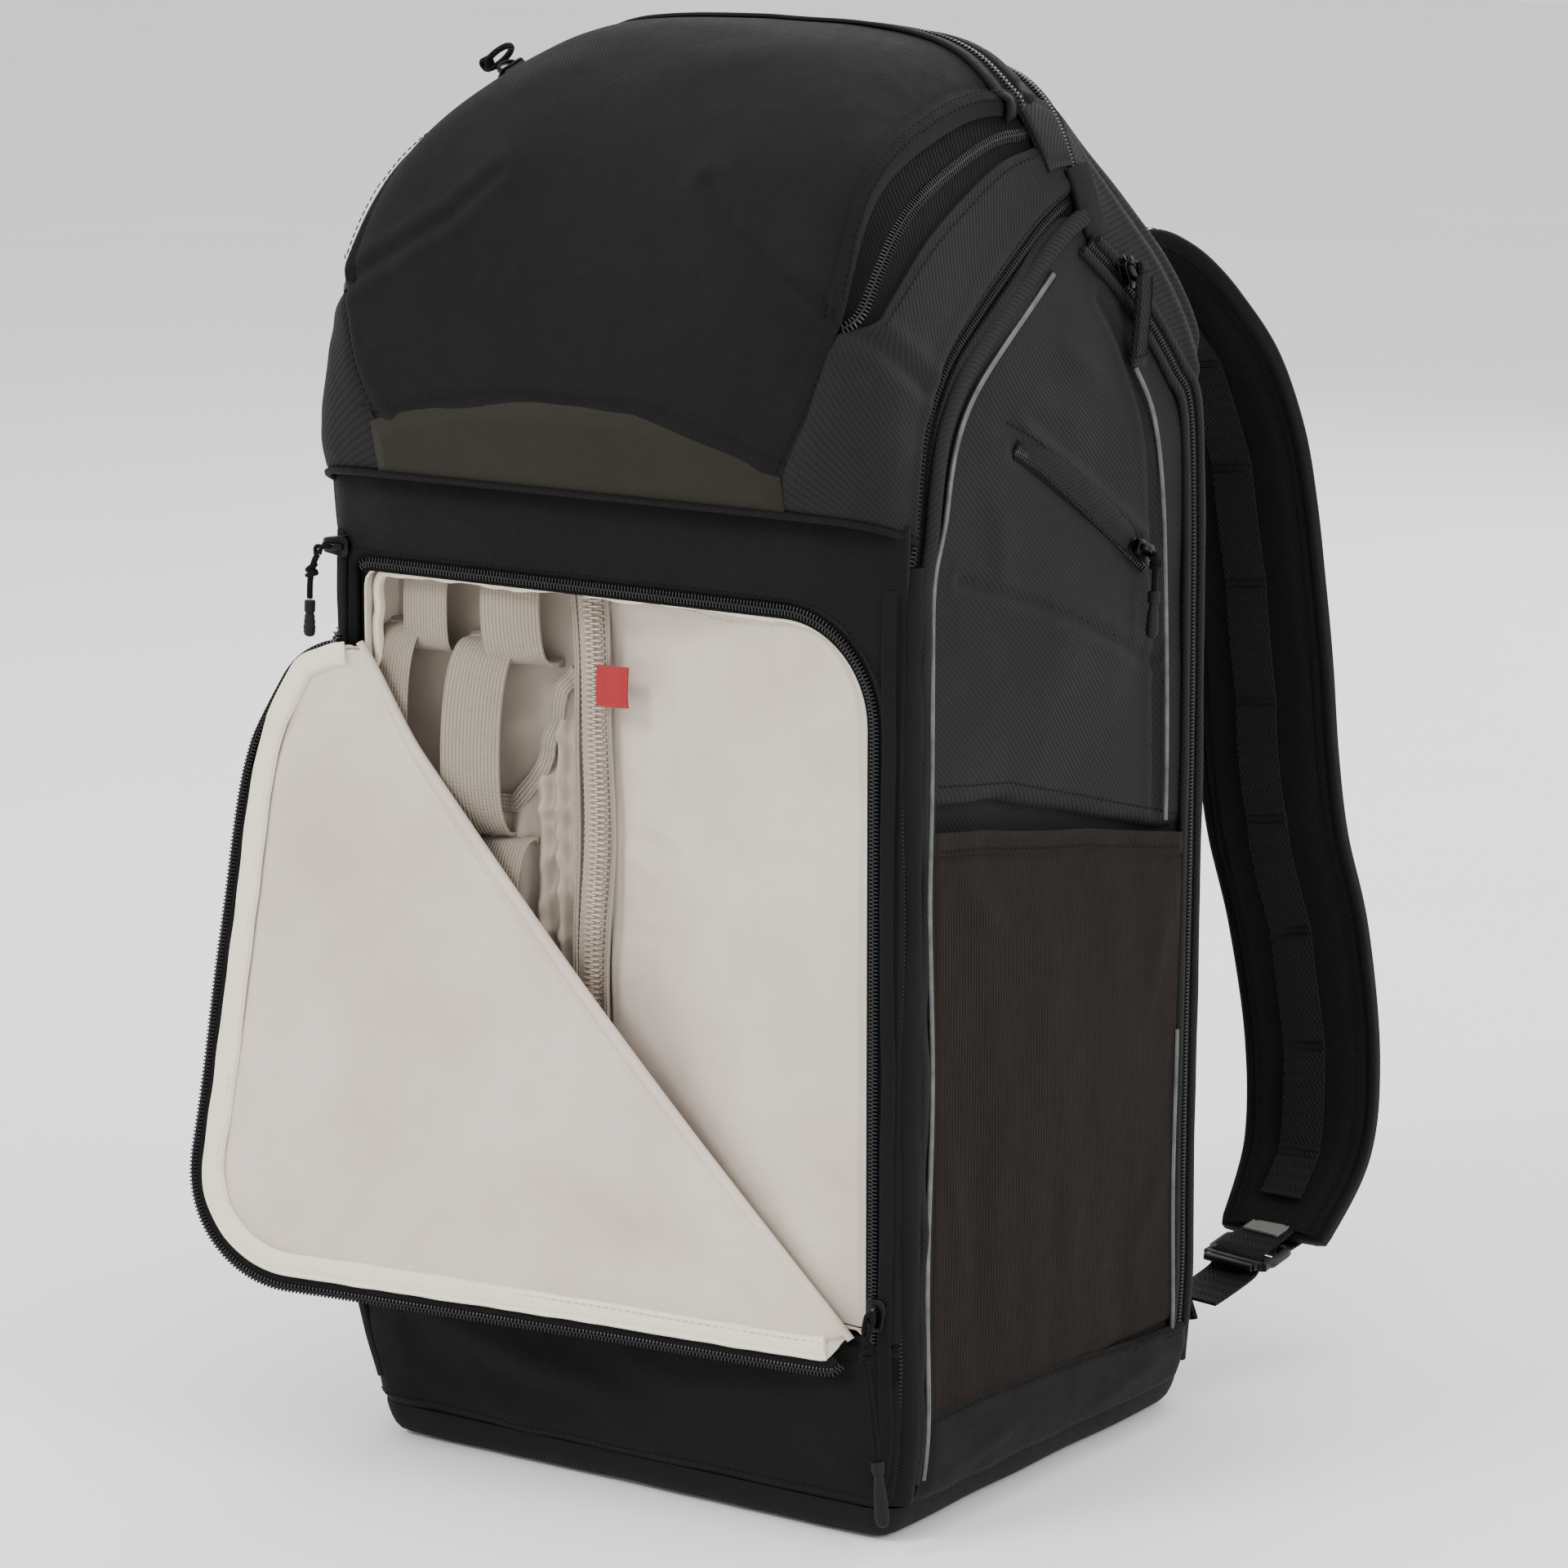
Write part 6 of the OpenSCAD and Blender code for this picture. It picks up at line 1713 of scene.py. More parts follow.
def edge_run(sx, dist, out, z0=16.0, flare=None):
    """A line beside the clamshell seam: up the front corner, then along the hood's foot to the top.
    dist is the distance behind the seam."""
    q = cat(HQ, np.linspace(0, 8, 160))
    d = unit(np.gradient(q, axis=0))
    n = np.stack([d[:, 1], -d[:, 0]], 1)
    n = n * np.where(n[:, :1] < 0, -1, 1)
    p = q + n * np.asarray(dist if np.ndim(dist) == 0 else 0)
    low_z = np.linspace(z0, 385, 60)
    low_y = np.full(60, -113.0 + dist)
    keep = p[:, 1] > 396
    y = np.concatenate([low_y, p[keep, 0]])
    z = np.concatenate([low_z, p[keep, 1]])
    pts = np.stack([y, z], 1)
    pts = resample(pts, 2.0)
    k = np.ones(9) / 9
    sm = np.stack([np.convolve(np.pad(pts[:, i], 4, mode="edge"), k, "valid") for i in (0, 1)], 1)
    y, z = sm.T
    x = np.where(y < -107, (128 + 12 * np.sqrt(np.clip(1 - ((-107 - y) / 12) ** 2, 0, 1))) * half_w(z) / HW, half_w(z)) + out
    return np.stack([x * sx, y, z], 1)


def clamshell(sx):
    side = "right" if sx > 0 else "left"
    up = lambda P: unit(np.stack([np.full(len(P), sx * 1.0), -.9 * sstep(-106, -116, P[:, 1]), 0 * P[:, 0] + .25 * sstep(440, 520, P[:, 2])], 1))
    path = edge_run(sx, 1.2, -1.6)
    pc = Piece()
    pr = resample(path, 3.0)
    pc.sweep(pr, np.array([[-5, -.4], [5, -.4], [5, .3], [4.2, .5], [-4.2, .5], [-5, .3]]), up(pr), 0)
    pr = resample(path, .85)
    zip_teeth(pc, path, up, 1, w=2.7, h=1.7, pitch=1.7, lift=.5)
    pc.build("clamshell_zip_" + side, [M_["ztape"], M_["coil"]], "pack", ("clamshell_zip",) if sx > 0 else (), "zip_tape")
    # rolled rain flap along the hood, with the reflective piping on its outer edge
    run = edge_run(sx, 8.5, 1.2)
    run = run[run[:, 2] > 24]
    low_ = sstep(392, 352, run[:, 2]) * sstep(24, 60, run[:, 2])
    run = run + up(run) * (.8 * noise(run, 26, 111) * low_ - .5 * sstep(372, 340, run[:, 2]))[:, None]
    run[:, 1] += (1.2 * noise(run, 40, 112) + .5) * low_
    pf = Piece()
    w = np.interp(run[:, 2], [24, 340, 400, 480, 560], [3.6, 4.0, 6.0, 6.2, 5.2])
    sec = rrect(2, 2, .9, 3)
    scale = np.stack([w * .9, 2.3 + 0 * w], 1)
    pf.sweep(run, sec * A(.75, .95), up(run), 0, scale=scale)
    pf.build("clamshell_rain_flap_" + side, [M_["twill"]], "pack", (), "twill_fabric")
    # matching fold on the door's side of the zip
    zz = np.linspace(26, 384, 150)
    dp = np.stack([(half_w(zz) - 6.2) * sx, 0 * zz + YF + .6, zz], 1)
    dp[:, 1] -= (.5 * noise(dp, 30, 113) + .3) * sstep(26, 50, zz) * sstep(384, 350, zz)
    dp[:, 0] += .9 * noise(dp, 44, 114) * sx
    pd = Piece()
    pd.sweep(resample(dp, 2.4), rrect(5.6, 2.6, 1.2, 3), A(.25 * sx, -1, 0), 0)
    pd.build("door_edge_fold_" + side, [M_["shell"]], "front_door", (), "shell_fabric")
    pp = Piece()
    a = edge_run(sx, 11.5, 2.8, 20)
    low = a[a[:, 2] < 396]
    low[:, 1] += 1.4 * np.sin(low[:, 2] / 27 + 1.0) * sstep(40, 90, low[:, 2]) * sstep(320, 250, low[:, 2])
    b = edge_run(sx, 14.5, 3.2)
    hi = b[b[:, 2] > 402]
    line = resample(np.vstack([low, hi]), 2.0)
    kk = np.ones(11) / 11
    line = np.stack([np.convolve(np.pad(line[:, i], 5, mode="edge"), kk, "valid") for i in range(3)], 1)
    line = line[: int(len(line) * .93)]
    pp.sweep(line, circle(1.15, 9), up(line), 0)
    pp.sweep(line + up(line) * -.9 + A(0, 1.6, 0), rrect(4.6, 1.3, .6), up(line), 1)
    pp.build("reflective_piping_front_" + side, [M_["piping"], M_["shell"]], "pack", (), "zip_tape")


def back_panel():
    """Back wall: from the rear zip on one side, round the corners, across the harness face."""
    R = 22.0
    L1 = 118 + R * np.pi / 2

    def at(s, z, h=0.0):
        s, z, h = np.broadcast_arrays(np.asarray(s, float), np.asarray(z, float), np.asarray(h, float))
        a = np.abs(s)
        phi = np.clip((a - 118) / R, 0, np.pi / 2)
        x = np.where(a < 118, a, 118 + (R + h) * np.sin(phi)) * half_w(z) / HW
        y = YB - R + (R + h) * np.cos(phi)
        return np.stack([np.sign(s) * x, y, z], -1)
    ns, nz = 260, 150
    s = np.linspace(-L1, L1, ns)
    W = np.linspace(0, 1, nz)
    ztop = np.interp(np.abs(s), [0, 60, 95, 118, 126, 131, 137, 143, 148, L1], [472, 472, 471.5, 470.5, 467.5, 464, 457.5, 448, 438, 430])
    S, WW = np.meshgrid(s, W, indexing="ij")
    Z = 15 + (ztop[:, None] - 15) * WW
    P = at(S, Z)
    N = normals(P, ref=A(0, 0, 220))
    h = .8 * noise(P, 90, 121) + .4 * noise(P, 40, 122)
    for sx in (1, -1):
        z = np.linspace(18, 424, 60)
        h += groove(P, at(sx * 122 + 0 * z, z), 1.6, 2.4, .5)
    h += groove(P, at(np.linspace(-120, 120, 40), 46 + 0 * np.linspace(0, 1, 40)), 1.2, 2.2, .5)
    h += -1.5 * np.exp(-((Z - 15) / 2) ** 2)
    P2 = P + N * h[..., None]
    pc = Piece()
    pc.shell(P2, 2.4 + 0 * S, (0, 1, 0), N=N, wear=.3 * np.exp(-((Z - 15) / 4) ** 2))
    pc.build("back_wall_cloth", [M_["twill"], M_["lining_dark"]], "pack", ("back_shell",), "twill_fabric")
    N2 = normals(P2, ref=A(0, 0, 220))
    for sx in (1, -1):
        z = np.linspace(20, 420, 120)
        stitches("pack", P2, N2, at(sx * 119.5 + 0 * z, z), (0, -3 * sx))
        # rear zip in its channel along the side, then its piping
        zz = np.concatenate([np.linspace(20, 424, 120)])
        path = np.stack([(half_w(zz) + .9) * sx, 0 * zz + 98.5 - 1.0 * np.sin(zz / 60), zz], 1)
        tail = np.array([[(half_w(430) + 1.0) * sx, 96, 432], [(half_w(448) + 1.2) * sx, 88, 448], [(half_w(466) + 1.6) * sx, 76, 466], [(half_w(480) + 2.2) * sx, 64, 481], [(half_w(490) + 2.6) * sx, 52, 492], [(half_w(500) + 2.6) * sx, 40, 502]])
        path = resample(cat(np.vstack([path[::12], tail]), np.linspace(0, len(path[::12]) + len(tail) - 1, 400)), 1.5)
        pz = Piece()
        up = A(sx, .12, 0)
        pz.sweep(resample(path, 3), np.array([[-5.5, -.6], [5.5, -.6], [5.5, .3], [4.5, .5], [-4.5, .5], [-5.5, .3]]), up, 0)
        zip_teeth(pz, path, up, 1, w=2.6, h=1.6, lift=.5)
        for o, wd in ((-6.2, 4.4), (6.0, 4.4)):
            q = path + A(0, o * .95, o * .25)
            fade = 1 + .1 * noise(q, 40, 124)
            pz.sweep(q + A(sx * .6, 0, 0), rrect(wd, 3.0, 1.4), up, 2, scale=np.stack([fade, fade], 1))
        pz.build("rear_zip_" + ("right" if sx > 0 else "left"), [M_["ztape"], M_["coil"], M_["twill"]], "pack", ("rear_zip",) if sx > 0 else (), "zip_tape")
        zl = np.linspace(30, 170, 50)
        pp = Piece()
        pth = np.stack([(half_w(zl) + 2.2) * sx, 88.5 + .8 * np.sin(zl / 22), zl], 1)
        pp.sweep(pth, circle(1.05, 8), None, 0)
        zl = np.array([262, 300, 350, 400, 432, 452])
        yl = np.array([76, 76, 74, 70, 64, 55])
        pth = smoothline(np.stack([(half_w(zl) + 3.0) * sx, yl, zl], 1), 2)
        pp.sweep(pth, circle(1.05, 8), None, 0)
        pp.build("reflective_piping_rear_" + ("right" if sx > 0 else "left"), [M_["piping"]], "pack", (), "zip_tape")
    return P2, N2


def top_rear():
    nt, nk = 110, 170
    T, U = np.meshgrid(np.linspace(0, 1, nt), np.linspace(-9, 9, nk), indexing="ij")
    P = rear(U, T)
    N = normals(P, ref=REAR_C)
    h = (.9 * noise(P, 90, 131) + .4 * noise(P, 40, 132)) * sstep(0, .08, T) * sstep(1, .92, T)
    h += -1.5 * np.exp(-(T / .02) ** 2) - 1.0 * np.exp(-((1 - T) / .02) ** 2)
    for sx in (1, -1):
        L = rear(np.array([5.0, 5.6, 6.2, 6.6]) * sx, np.array([.02, .35, .7, .98]))
        h += groove(P, smoothline(L, 4), 1.2, 2.4, .5)
    P2 = P + N * h[..., None]
    pc = Piece()
    e = np.minimum(T, 1 - T) * 160
    pc.shell(P2, 2.2 + 0 * T, (0, 1, 0), N=N, wear=.5 * np.exp(-(e / 3) ** 2))
    pc.build("top_rear_cloth", [M_["twill"], M_["lining_dark"]], "pack", ("top_rear_panel",), "twill_fabric")
    N2 = normals(P2, ref=REAR_C)
    stitches("pack", P2, N2, rear(np.linspace(-8.8, 8.8, 120), .045 + 0 * np.linspace(0, 1, 120)), (0,))
    for sx in (1, -1):
        L = smoothline(rear(np.array([5.0, 5.6, 6.2, 6.6]) * sx, np.array([.05, .35, .7, .95])), 4)
        stitches("pack", P2, N2, L, (2.2,))
    # clamshell zip over the top, between hood and rear panel
    k = np.linspace(-8.7, 8.7, 160)
    path = rear(k, 0 * k) + A(0, -1.0, 0)
    n = unit(path - A(0, 44, 300))
    path = path + n * .3
    pz = Piece()
    pz.sweep(resample(path, 3), np.array([[-4.5, -.9], [4.5, -.9], [4.5, .1], [3.6, .3], [-3.6, .3], [-4.5, .1]]), resample(n, n=len(resample(path, 3))), 0)
    zip_teeth(pz, path, resample(n, n=len(path)), 1, w=2.7, h=1.6, lift=.3)
    pz.build("clamshell_zip_top", [M_["ztape"], M_["coil"]], "pack", (), "zip_tape")


def base():
    """Boot: bottom panel and the reinforced foot that climbs the sides, one rounded tray."""
    # plan outline with rounded corners, from the front left corner round to the front right
    def plan(inset, n=340):
        hx, y0, y1 = 140 - inset, YF + .8 + inset, YB - inset
        pts = []
        rf, rb = max(12 - inset, 2), max(22 - inset, 3)
        for cx, cy, r, a0 in ((hx - rf, y0 + rf, rf, -90), (hx - rb, y1 - rb, rb, 0), (-hx + rb, y1 - rb, rb, 90), (-hx + rf, y0 + rf, rf, 180)):
            for a in np.linspace(a0, a0 + 90, 10):
                pts.append((cx + r * math.cos(math.radians(a)), cy + r * math.sin(math.radians(a))))
        return resample(np.array(pts), n=n, closed=True)
    R = []
    # from top of the base band down, then across the bottom
    for i, z in ((0.0, 14.8), (-.2, 13.0), (0.1, 10.5), (.9, 7.5), (2.2, 4.8), (4.2, 2.6), (7.0, 1.2), (10.5, .45), (16, .15), (40, .5), (75, .7), (105, .7)):
        p = plan(i)
        R.append(np.concatenate([p * 1.0, np.full((len(p), 1), z)], 1))
    P = np.array(R)
    P[..., 0] *= (half_w(P[..., 2]) / HW)
    N = normals(P, cv=True, ref=A(0, 0, 20))
    h = .35 * noise(P, 50, 141)
    h[8:] *= .25
    h = np.minimum(h, .5)
    P2 = P + N * h[..., None]
    P2[..., 2] = np.maximum(P2[..., 2], .05)
    pc = Piece()
    pc.shell(P2, 1.6 + 0 * P2[..., 0], (0, 0, 0), N=N, cv=True, wear=np.tile(np.interp(np.arange(12), [0, 3, 5, 7, 11], [.2, .35, .7, .6, .3])[:, None], (1, P2.shape[1])))
    # middle of the bottom
    c = P2[-1]
    pc.add(c, np.arange(len(c))[::-1][None], c[:, :2] * .001, 0)
    # inner floor
    X, Y = np.meshgrid(np.linspace(-132, 132, 40), np.linspace(-110, 108, 40), indexing="ij")
    F = np.stack([X, Y, 12.6 + .5 * noise(np.stack([X, Y, 0 * X], -1), 60, 142)], -1)
    pc.shell(F, 1.5 + 0 * X, (1, 1, 1), N=np.tile(A(0, 0, 1), X.shape + (1,)))
    pc.build("base_boot", [M_["shell"], M_["lining_dark"]], "pack", ("base_panel",), "shell_fabric")
    # side foot panels
    for sx in (1, -1):
        Y, W = np.meshgrid(np.linspace(-104, 103, 100), np.linspace(0, 1, 34), indexing="ij")
        zt = np.interp(Y, [-104, -60, 0, 60, 100], [50, 50, 47, 42, 40])
        Z = 14.2 + (zt - 14.2) * W
        X = half_w(Z) + 2.4 + 2.3 * np.sin(np.pi * np.clip(W * .95 + .05, 0, 1))
        end = np.minimum(Y + 104, 103 - Y)
        X = X - 2.2 * np.exp(-(end / 5) ** 2)
        yc = np.clip((Y - 97) / 22, 0, 1)
        X = X - 22 * (1 - np.sqrt(1 - yc ** 2))
        P = np.stack([X * sx, Y, Z], -1)
        N = normals(P, ref=A(0, 0, 30))
        h = .7 * noise(P, 50, 143) + .35 * noise(P, 24, 144)
        h += fold(P, np.linspace(A(141 * sx, -95, 22), A(141 * sx, -20, 34), 10), 1.2, 5, .4) + fold(P, np.linspace(A(141 * sx, 10, 20), A(141 * sx, 90, 32), 10), 1.1, 5, .4)
        h += -1.3 * np.exp(-((1 - W) * 36 / 1.4) ** 2) + .5 * np.exp(-(((1 - W) * 36 - 4) / 2) ** 2) - 1.3 * np.exp(-(W * 36 / 2) ** 2)
        P2 = P + N * h[..., None]
        pc = Piece()
        pc.shell(P2, 1.8 + 0 * X, (0, 0, 0), N=N, wear=.45 * np.exp(-(W * 36 / 5) ** 2) + .4 * np.exp(-((1 - W) * 36 / 1.5) ** 2))
        pc.build("side_boot_" + ("right" if sx > 0 else "left"), [M_["shell"]], "pack", (), "shell_fabric")
        N2 = normals(P2, ref=A(0, 0, 30))
        yy = np.linspace(-102, 94, 80)
        stitches("pack", P2, N2, np.stack([141 * sx + 0 * yy, yy, np.interp(yy, [-104, -60, 0, 60, 100], [50, 50, 47, 42, 40]) - 3.4], 1), (0,))


for sx in (1, -1):
    upper_side(sx)
    lower_side(sx)
    clamshell(sx)
back_panel()
top_rear()
base()

# ------------------------------------------------------------------ other sliders and pullers
LID_AT, LID_DIR = A(-102.70162564, -38.54131701, 565.08978612), A(.14083786, .94452107, .29672319)
LID_UP, LID_SIDE = A(-.76062332, -.08861951, .64311643), A(-.63373248, .31626971, -.70594377)
REAR_AT = A(float(HW + np.interp(HZ + 78, [0, 40, 425, 455, 480, 500, 521, 560], [-6, 0, 0, -5, -12, -18, -23, -32])) + 4.2, YB - 59, HZ + 78)
POCKET_AT = A(HW + 3.7, YF + 168, HZ - 33.5)
mir = lambda v, sx: A(v[0] * sx, v[1], v[2])


def small_hardware():
    slider("lid_slider_body", "slider_lid", LID_AT + LID_UP * 2.3, LID_DIR, LID_UP, "lid_slider")
    # looped cord puller on the left run of the lid zip
    c = LID_AT + LID_UP * 9 - LID_DIR * 2
    a = np.radians(np.linspace(25, 335, 60))
    P = c + 7.5 * (np.cos(a)[:, None] * -LID_DIR + np.sin(a)[:, None] * .8 * LID_SIDE) + 1.5 * LID_DIR + LID_UP * 2.2
    pc = Piece()
    pc.sweep(np.vstack([P, P[:1]]), circle(1.35, 12), None, 0, closed=False)
    k0 = P.mean(0) + LID_DIR * 7.0
    for j in range(3):
        aa = np.linspace(0, 2 * np.pi, 18, endpoint=False)
        pc.sweep(P[0] * .5 + P[-1] * .5 + (1.9 * np.cos(aa))[:, None] * LID_UP + (1.9 * np.sin(aa))[:, None] * LID_SIDE + LID_DIR * (j - 1) * 1.4, circle(.9, 8), None, 0, closed=True)
    pc.build("lid_pull_loop", [M_["cord"]], "lid_pull", ("pull_lid",), "cord_sheath", do_sag=False)
    for sx in (1, -1):
        side = "right" if sx > 0 else "left"
        at = mir(REAR_AT, sx)
        slider("rear_slider_body_" + side, "slider_rear_" + side, at + A(2.3 * sx, 0, 0), (0, math.sin(math.radians(35)), -math.cos(math.radians(35))), (sx, 0, 0), "rear_slider_" + side)
        # long webbing tab folded on itself, box-stitched at its foot
        top = at + A(9.4 * sx, -.2, 1.0)
        pts = [top + A(-.8 * sx, 0, 3.5), top + A(.3 * sx, 0, 0), top + A(1.1 * sx, -1.0, -10), top + A(.9 * sx, -2.0, -22), top + A(.2 * sx, -3.0, -35), top + A(-.2 * sx, -3.2, -38.6)]
        path = resample(cat(pts, np.linspace(0, 5, 60)), 1.3)
        wd = np.interp(np.linspace(0, 1, len(path)), [0, .12, .2, 1], [.42, .5, 1, 1])
        pc = Piece()
        pc.sweep(path, rrect(11.5, 2.3, .9), A(sx, 0, 0), 0, scale=np.stack([wd, 1 + 0 * wd], 1))
        for zz in (3, len(path) - 4):
            t = path[zz]
            pc.sweep(np.array([t + A(1.3 * sx, -4.4, 0), t + A(1.3 * sx, 4.4, 0)]), circle(.4, 6), None, 1)
        for yy in (-4.4, 4.4):
            pc.sweep(path[5:-3] + A(1.25 * sx, yy, 0), circle(.28, 6), None, 1)
        pc.build("rear_pull_tab_" + side, [M_["web"], M_["thread"]], "rear_tab_" + side, ("pull_tab_rear_" + side,), "webbing", do_sag=False)
        at = mir(POCKET_AT, sx)
        slider("pocket_slider_body_" + side, "slider_pocket_" + side, at + A(2.3 * sx, 0, 0), (0, .86, -.51), (sx, 0, 0), "pocket_slider_" + side)
        p = POCKET_AT + A(8.6, 1, -2.6)
        route = [p + A(-.9, 0, 2.2), p, p + A(.4, -1.2, -6), p + A(.8, -2.4, -12), p + A(.9, -2.8, -15)]
        P = resample(cat([mir(q, sx) for q in route], np.linspace(0, 4, 40)), .9)
        pc = Piece()
        pc.sweep(P, circle(1.3, 12), None, 0)
        kn = P[5]
        for j in range(3):
            aa = np.linspace(0, 2 * np.pi, 18, endpoint=False)
            pc.sweep(kn + np.stack([2.0 * np.cos(aa), 2.0 * np.sin(aa), (j - 1) * 1.4 + .5 * np.cos(aa + j)], 1), circle(.9, 8), None, 0, closed=True)
        pc.build("pocket_pull_cord_" + side, [M_["cord"]], "pocket_pull_" + side, ("pull_pocket_" + side,), "cord_sheath", do_sag=False)
        grip("pocket_pull_grip_" + side, "pull_pocket_" + side, mir(p + A(.9, -2.8, -14.4), sx), (.02 * sx, -.12, -1), 18, "pocket_pull_" + side, r=3.0, wide=(0, 1, 0))


small_hardware()

# ------------------------------------------------------------------ harness
STRAP = [(66, 14, 487), (72, 24, 491), (80, 37, 483), (88, 53, 465), (94, 71, 440), (99, 84, 408), (103, 89, 376), (107, 91, 340), (111, 92, 304), (114, 93, 266), (118, 96, 229), (126, 102, 187), (133, 104, 133), (137, 94, 90), (137, 66, 58)]


def strap_at(u):
    p = cat(STRAP, u)
    return np.stack([p[..., 0], YB + p[..., 1], p[..., 2]], -1)


def strap(sx):
    side = "right" if sx > 0 else "left"
    n = 260
    u = np.linspace(0, 14, n)
    P0 = strap_at(u) * A(sx, 1, 1)
    T = unit(np.gradient(P0, axis=0))
    Wd = unit(A(sx, 0, 0) - T * T[:, :1] * sx)
    N0 = np.cross(T, Wd)
    N0 = N0 * np.sign(N0[:, 1:2] + 1e-9)          # away from the pack
    # keep one side throughout
    for i in range(1, n):
        if N0[i] @ N0[i - 1] < 0:
            N0[i] = -N0[i]
    h = 33 * np.interp(u, [0, 2, 4, 11, 13, 14], [.72, .88, 1, 1, .9, .72])
    k = np.ones(21) / 21
    h = np.convolve(np.pad(h, 10, mode="edge"), k, "valid")
    t = 5.5
    m = 60
    a = np.linspace(0, 2 * np.pi, m, endpoint=False) + np.pi / m
    ca, sa = np.cos(a), np.sin(a)
    X = np.sign(ca) * np.abs(ca) ** .42
    Yv = np.sign(sa) * np.abs(sa) ** .8
    # crowned cushion: thinner at its bound edges
    thick = t * (.50 + .50 * (1 - np.abs(X) ** 5.0))
    P = P0[:, None] + Wd[:, None] * (X[None] * h[:, None])[..., None] + N0[:, None] * (Yv[None] * thick[None] * np.ones((n, 1)))[..., None]
    out = (Yv > 0)[None] * np.ones((n, 1))
    nn = N0[:, None] * np.where(Yv > 0, 1, -1)[None, :, None]
    xr = X[None] * h[:, None]
    hh = (.5 * noise(P, 70, 151) + .22 * noise(P, 28, 152)) * (np.abs(X)[None] < .8)
    e = h[:, None] - np.abs(xr)
    hh = hh - .9 * np.exp(-((e - 7.5) / 1.5) ** 2)
    hh = hh - .35 * (1 - out) * (np.abs(np.sin(np.pi * xr / 11)) < .12) * 0
    P = P + nn * hh[..., None]
    pc = Piece()
    half = m // 2
    # outer face (mat 0) and wearer's face (mat 1)
    iu = np.where(Yv > 0)[0]
    il = np.where(Yv < 0)[0]
    order_u = iu[np.argsort(-X[iu])]
    order_l = il[np.argsort(X[il])]
    PU, PL = P[:, order_u], P[:, order_l]
    pc.grid(PU, 0, N=N0[:, None] * np.ones((1, len(order_u), 1)), wear=np.tile(.3 * np.exp(-((1 - np.abs(X[order_u])) / .06) ** 2), (n, 1)))
    pc.grid(PL, 1, N=-N0[:, None] * np.ones((1, len(order_l), 1)))
    pc.build("shoulder_strap_" + side, [M_["strap"], M_["mesh"]], "strap_" + side, ("strap_pad_" + side,), "strap_fabric", do_sag=False)
    # bound edge all round
    rim = np.vstack([P0 + Wd * (h[:, None] - .6), (P0 - Wd * (h[:, None] - .6))[::-1]])
    up = np.vstack([N0, N0[::-1]])
    rim_r = resample(rim, 3.0, closed=True)
    up_r = unit(resample(up, n=len(rim_r)))
    sec = rrect(4.2, 7.0, 2.0, 3)
    pb = Piece()
    pb.sweep(rim_r, sec, up_r, 0, closed=True)
    pb.build("shoulder_strap_binding_" + side, [M_["binding_black"]], "strap_" + side, (), "binding_tape", do_sag=False)
    # stitching beside the binding, both faces
    for sgn in (1, -1):
        for sd in (1, -1):
            line = P0 + Wd * (sd * (h[:, None] - 5.2)) + N0 * (sgn * (t * .86))
            line = resample(line, 3.4)
            upn = unit(resample(N0 * sgn, n=len(line)))
            TT = unit(np.gradient(line, axis=0))
            STITCH.setdefault("strap_" + side, Piece()).copies(_st[0], _st[1], line, TT, unit(np.cross(upn, TT)), upn)
    # webbing sewn down the outer face, tacked into loops
    uu = np.linspace(2.2, 13.6, 330)
    base = strap_at(uu) * A(sx, 1, 1)
    Tn = unit(np.gradient(base, axis=0))
    W2 = unit(A(sx, 0, 0) - Tn * Tn[:, :1] * sx)
    N2 = np.cross(Tn, W2)
    N2 = N2 * np.sign(np.sum(N2 * np.stack([np.interp(uu, u, N0[:, i]) for i in range(3)], 1), 1))[:, None]
    s = np.concatenate([[0], np.cumsum(np.linalg.norm(np.diff(base, axis=0), axis=1))])
    lift = t + .9 + 1.6 * np.clip(np.sin(np.pi * ((s % 52) / 52)), 0, 1) ** .7
    path = base + N2 * lift[:, None]
    pw = Piece()
    pr = resample(path, 2.0)
    pw.sweep(pr, rrect(20, 1.5, .6), unit(resample(N2, n=len(pr))), 0)
    for d in np.arange(0, s[-1], 52):
        i = int(np.argmin(np.abs(s - d)))
        for o in (-1.6, 1.6):
            q = path[i] + Tn[i] * o + N2[i] * .8
            pw.sweep(np.array([q - W2[i] * 9, q + W2[i] * 9]), circle(.45, 6), None, 1)
    pw.build("strap_webbing_sewn_" + side, [M_["web"], M_["thread"]], "strap_" + side, (), "webbing", do_sag=False)
    # ladder lock and its webbing
    lp = strap_at(np.array(14.0))
    low = A(130, 124, 44)
    lt = unit(low - lp)
    lw = unit(A(1, 0, 0) - lt * lt[0])
    ln = np.cross(lt, lw)
    wl = float(np.linalg.norm(low - lp))
    M = lambda x, y, z: mir(lp + lw * x + lt * y + ln * z, sx)
    pc = Piece()

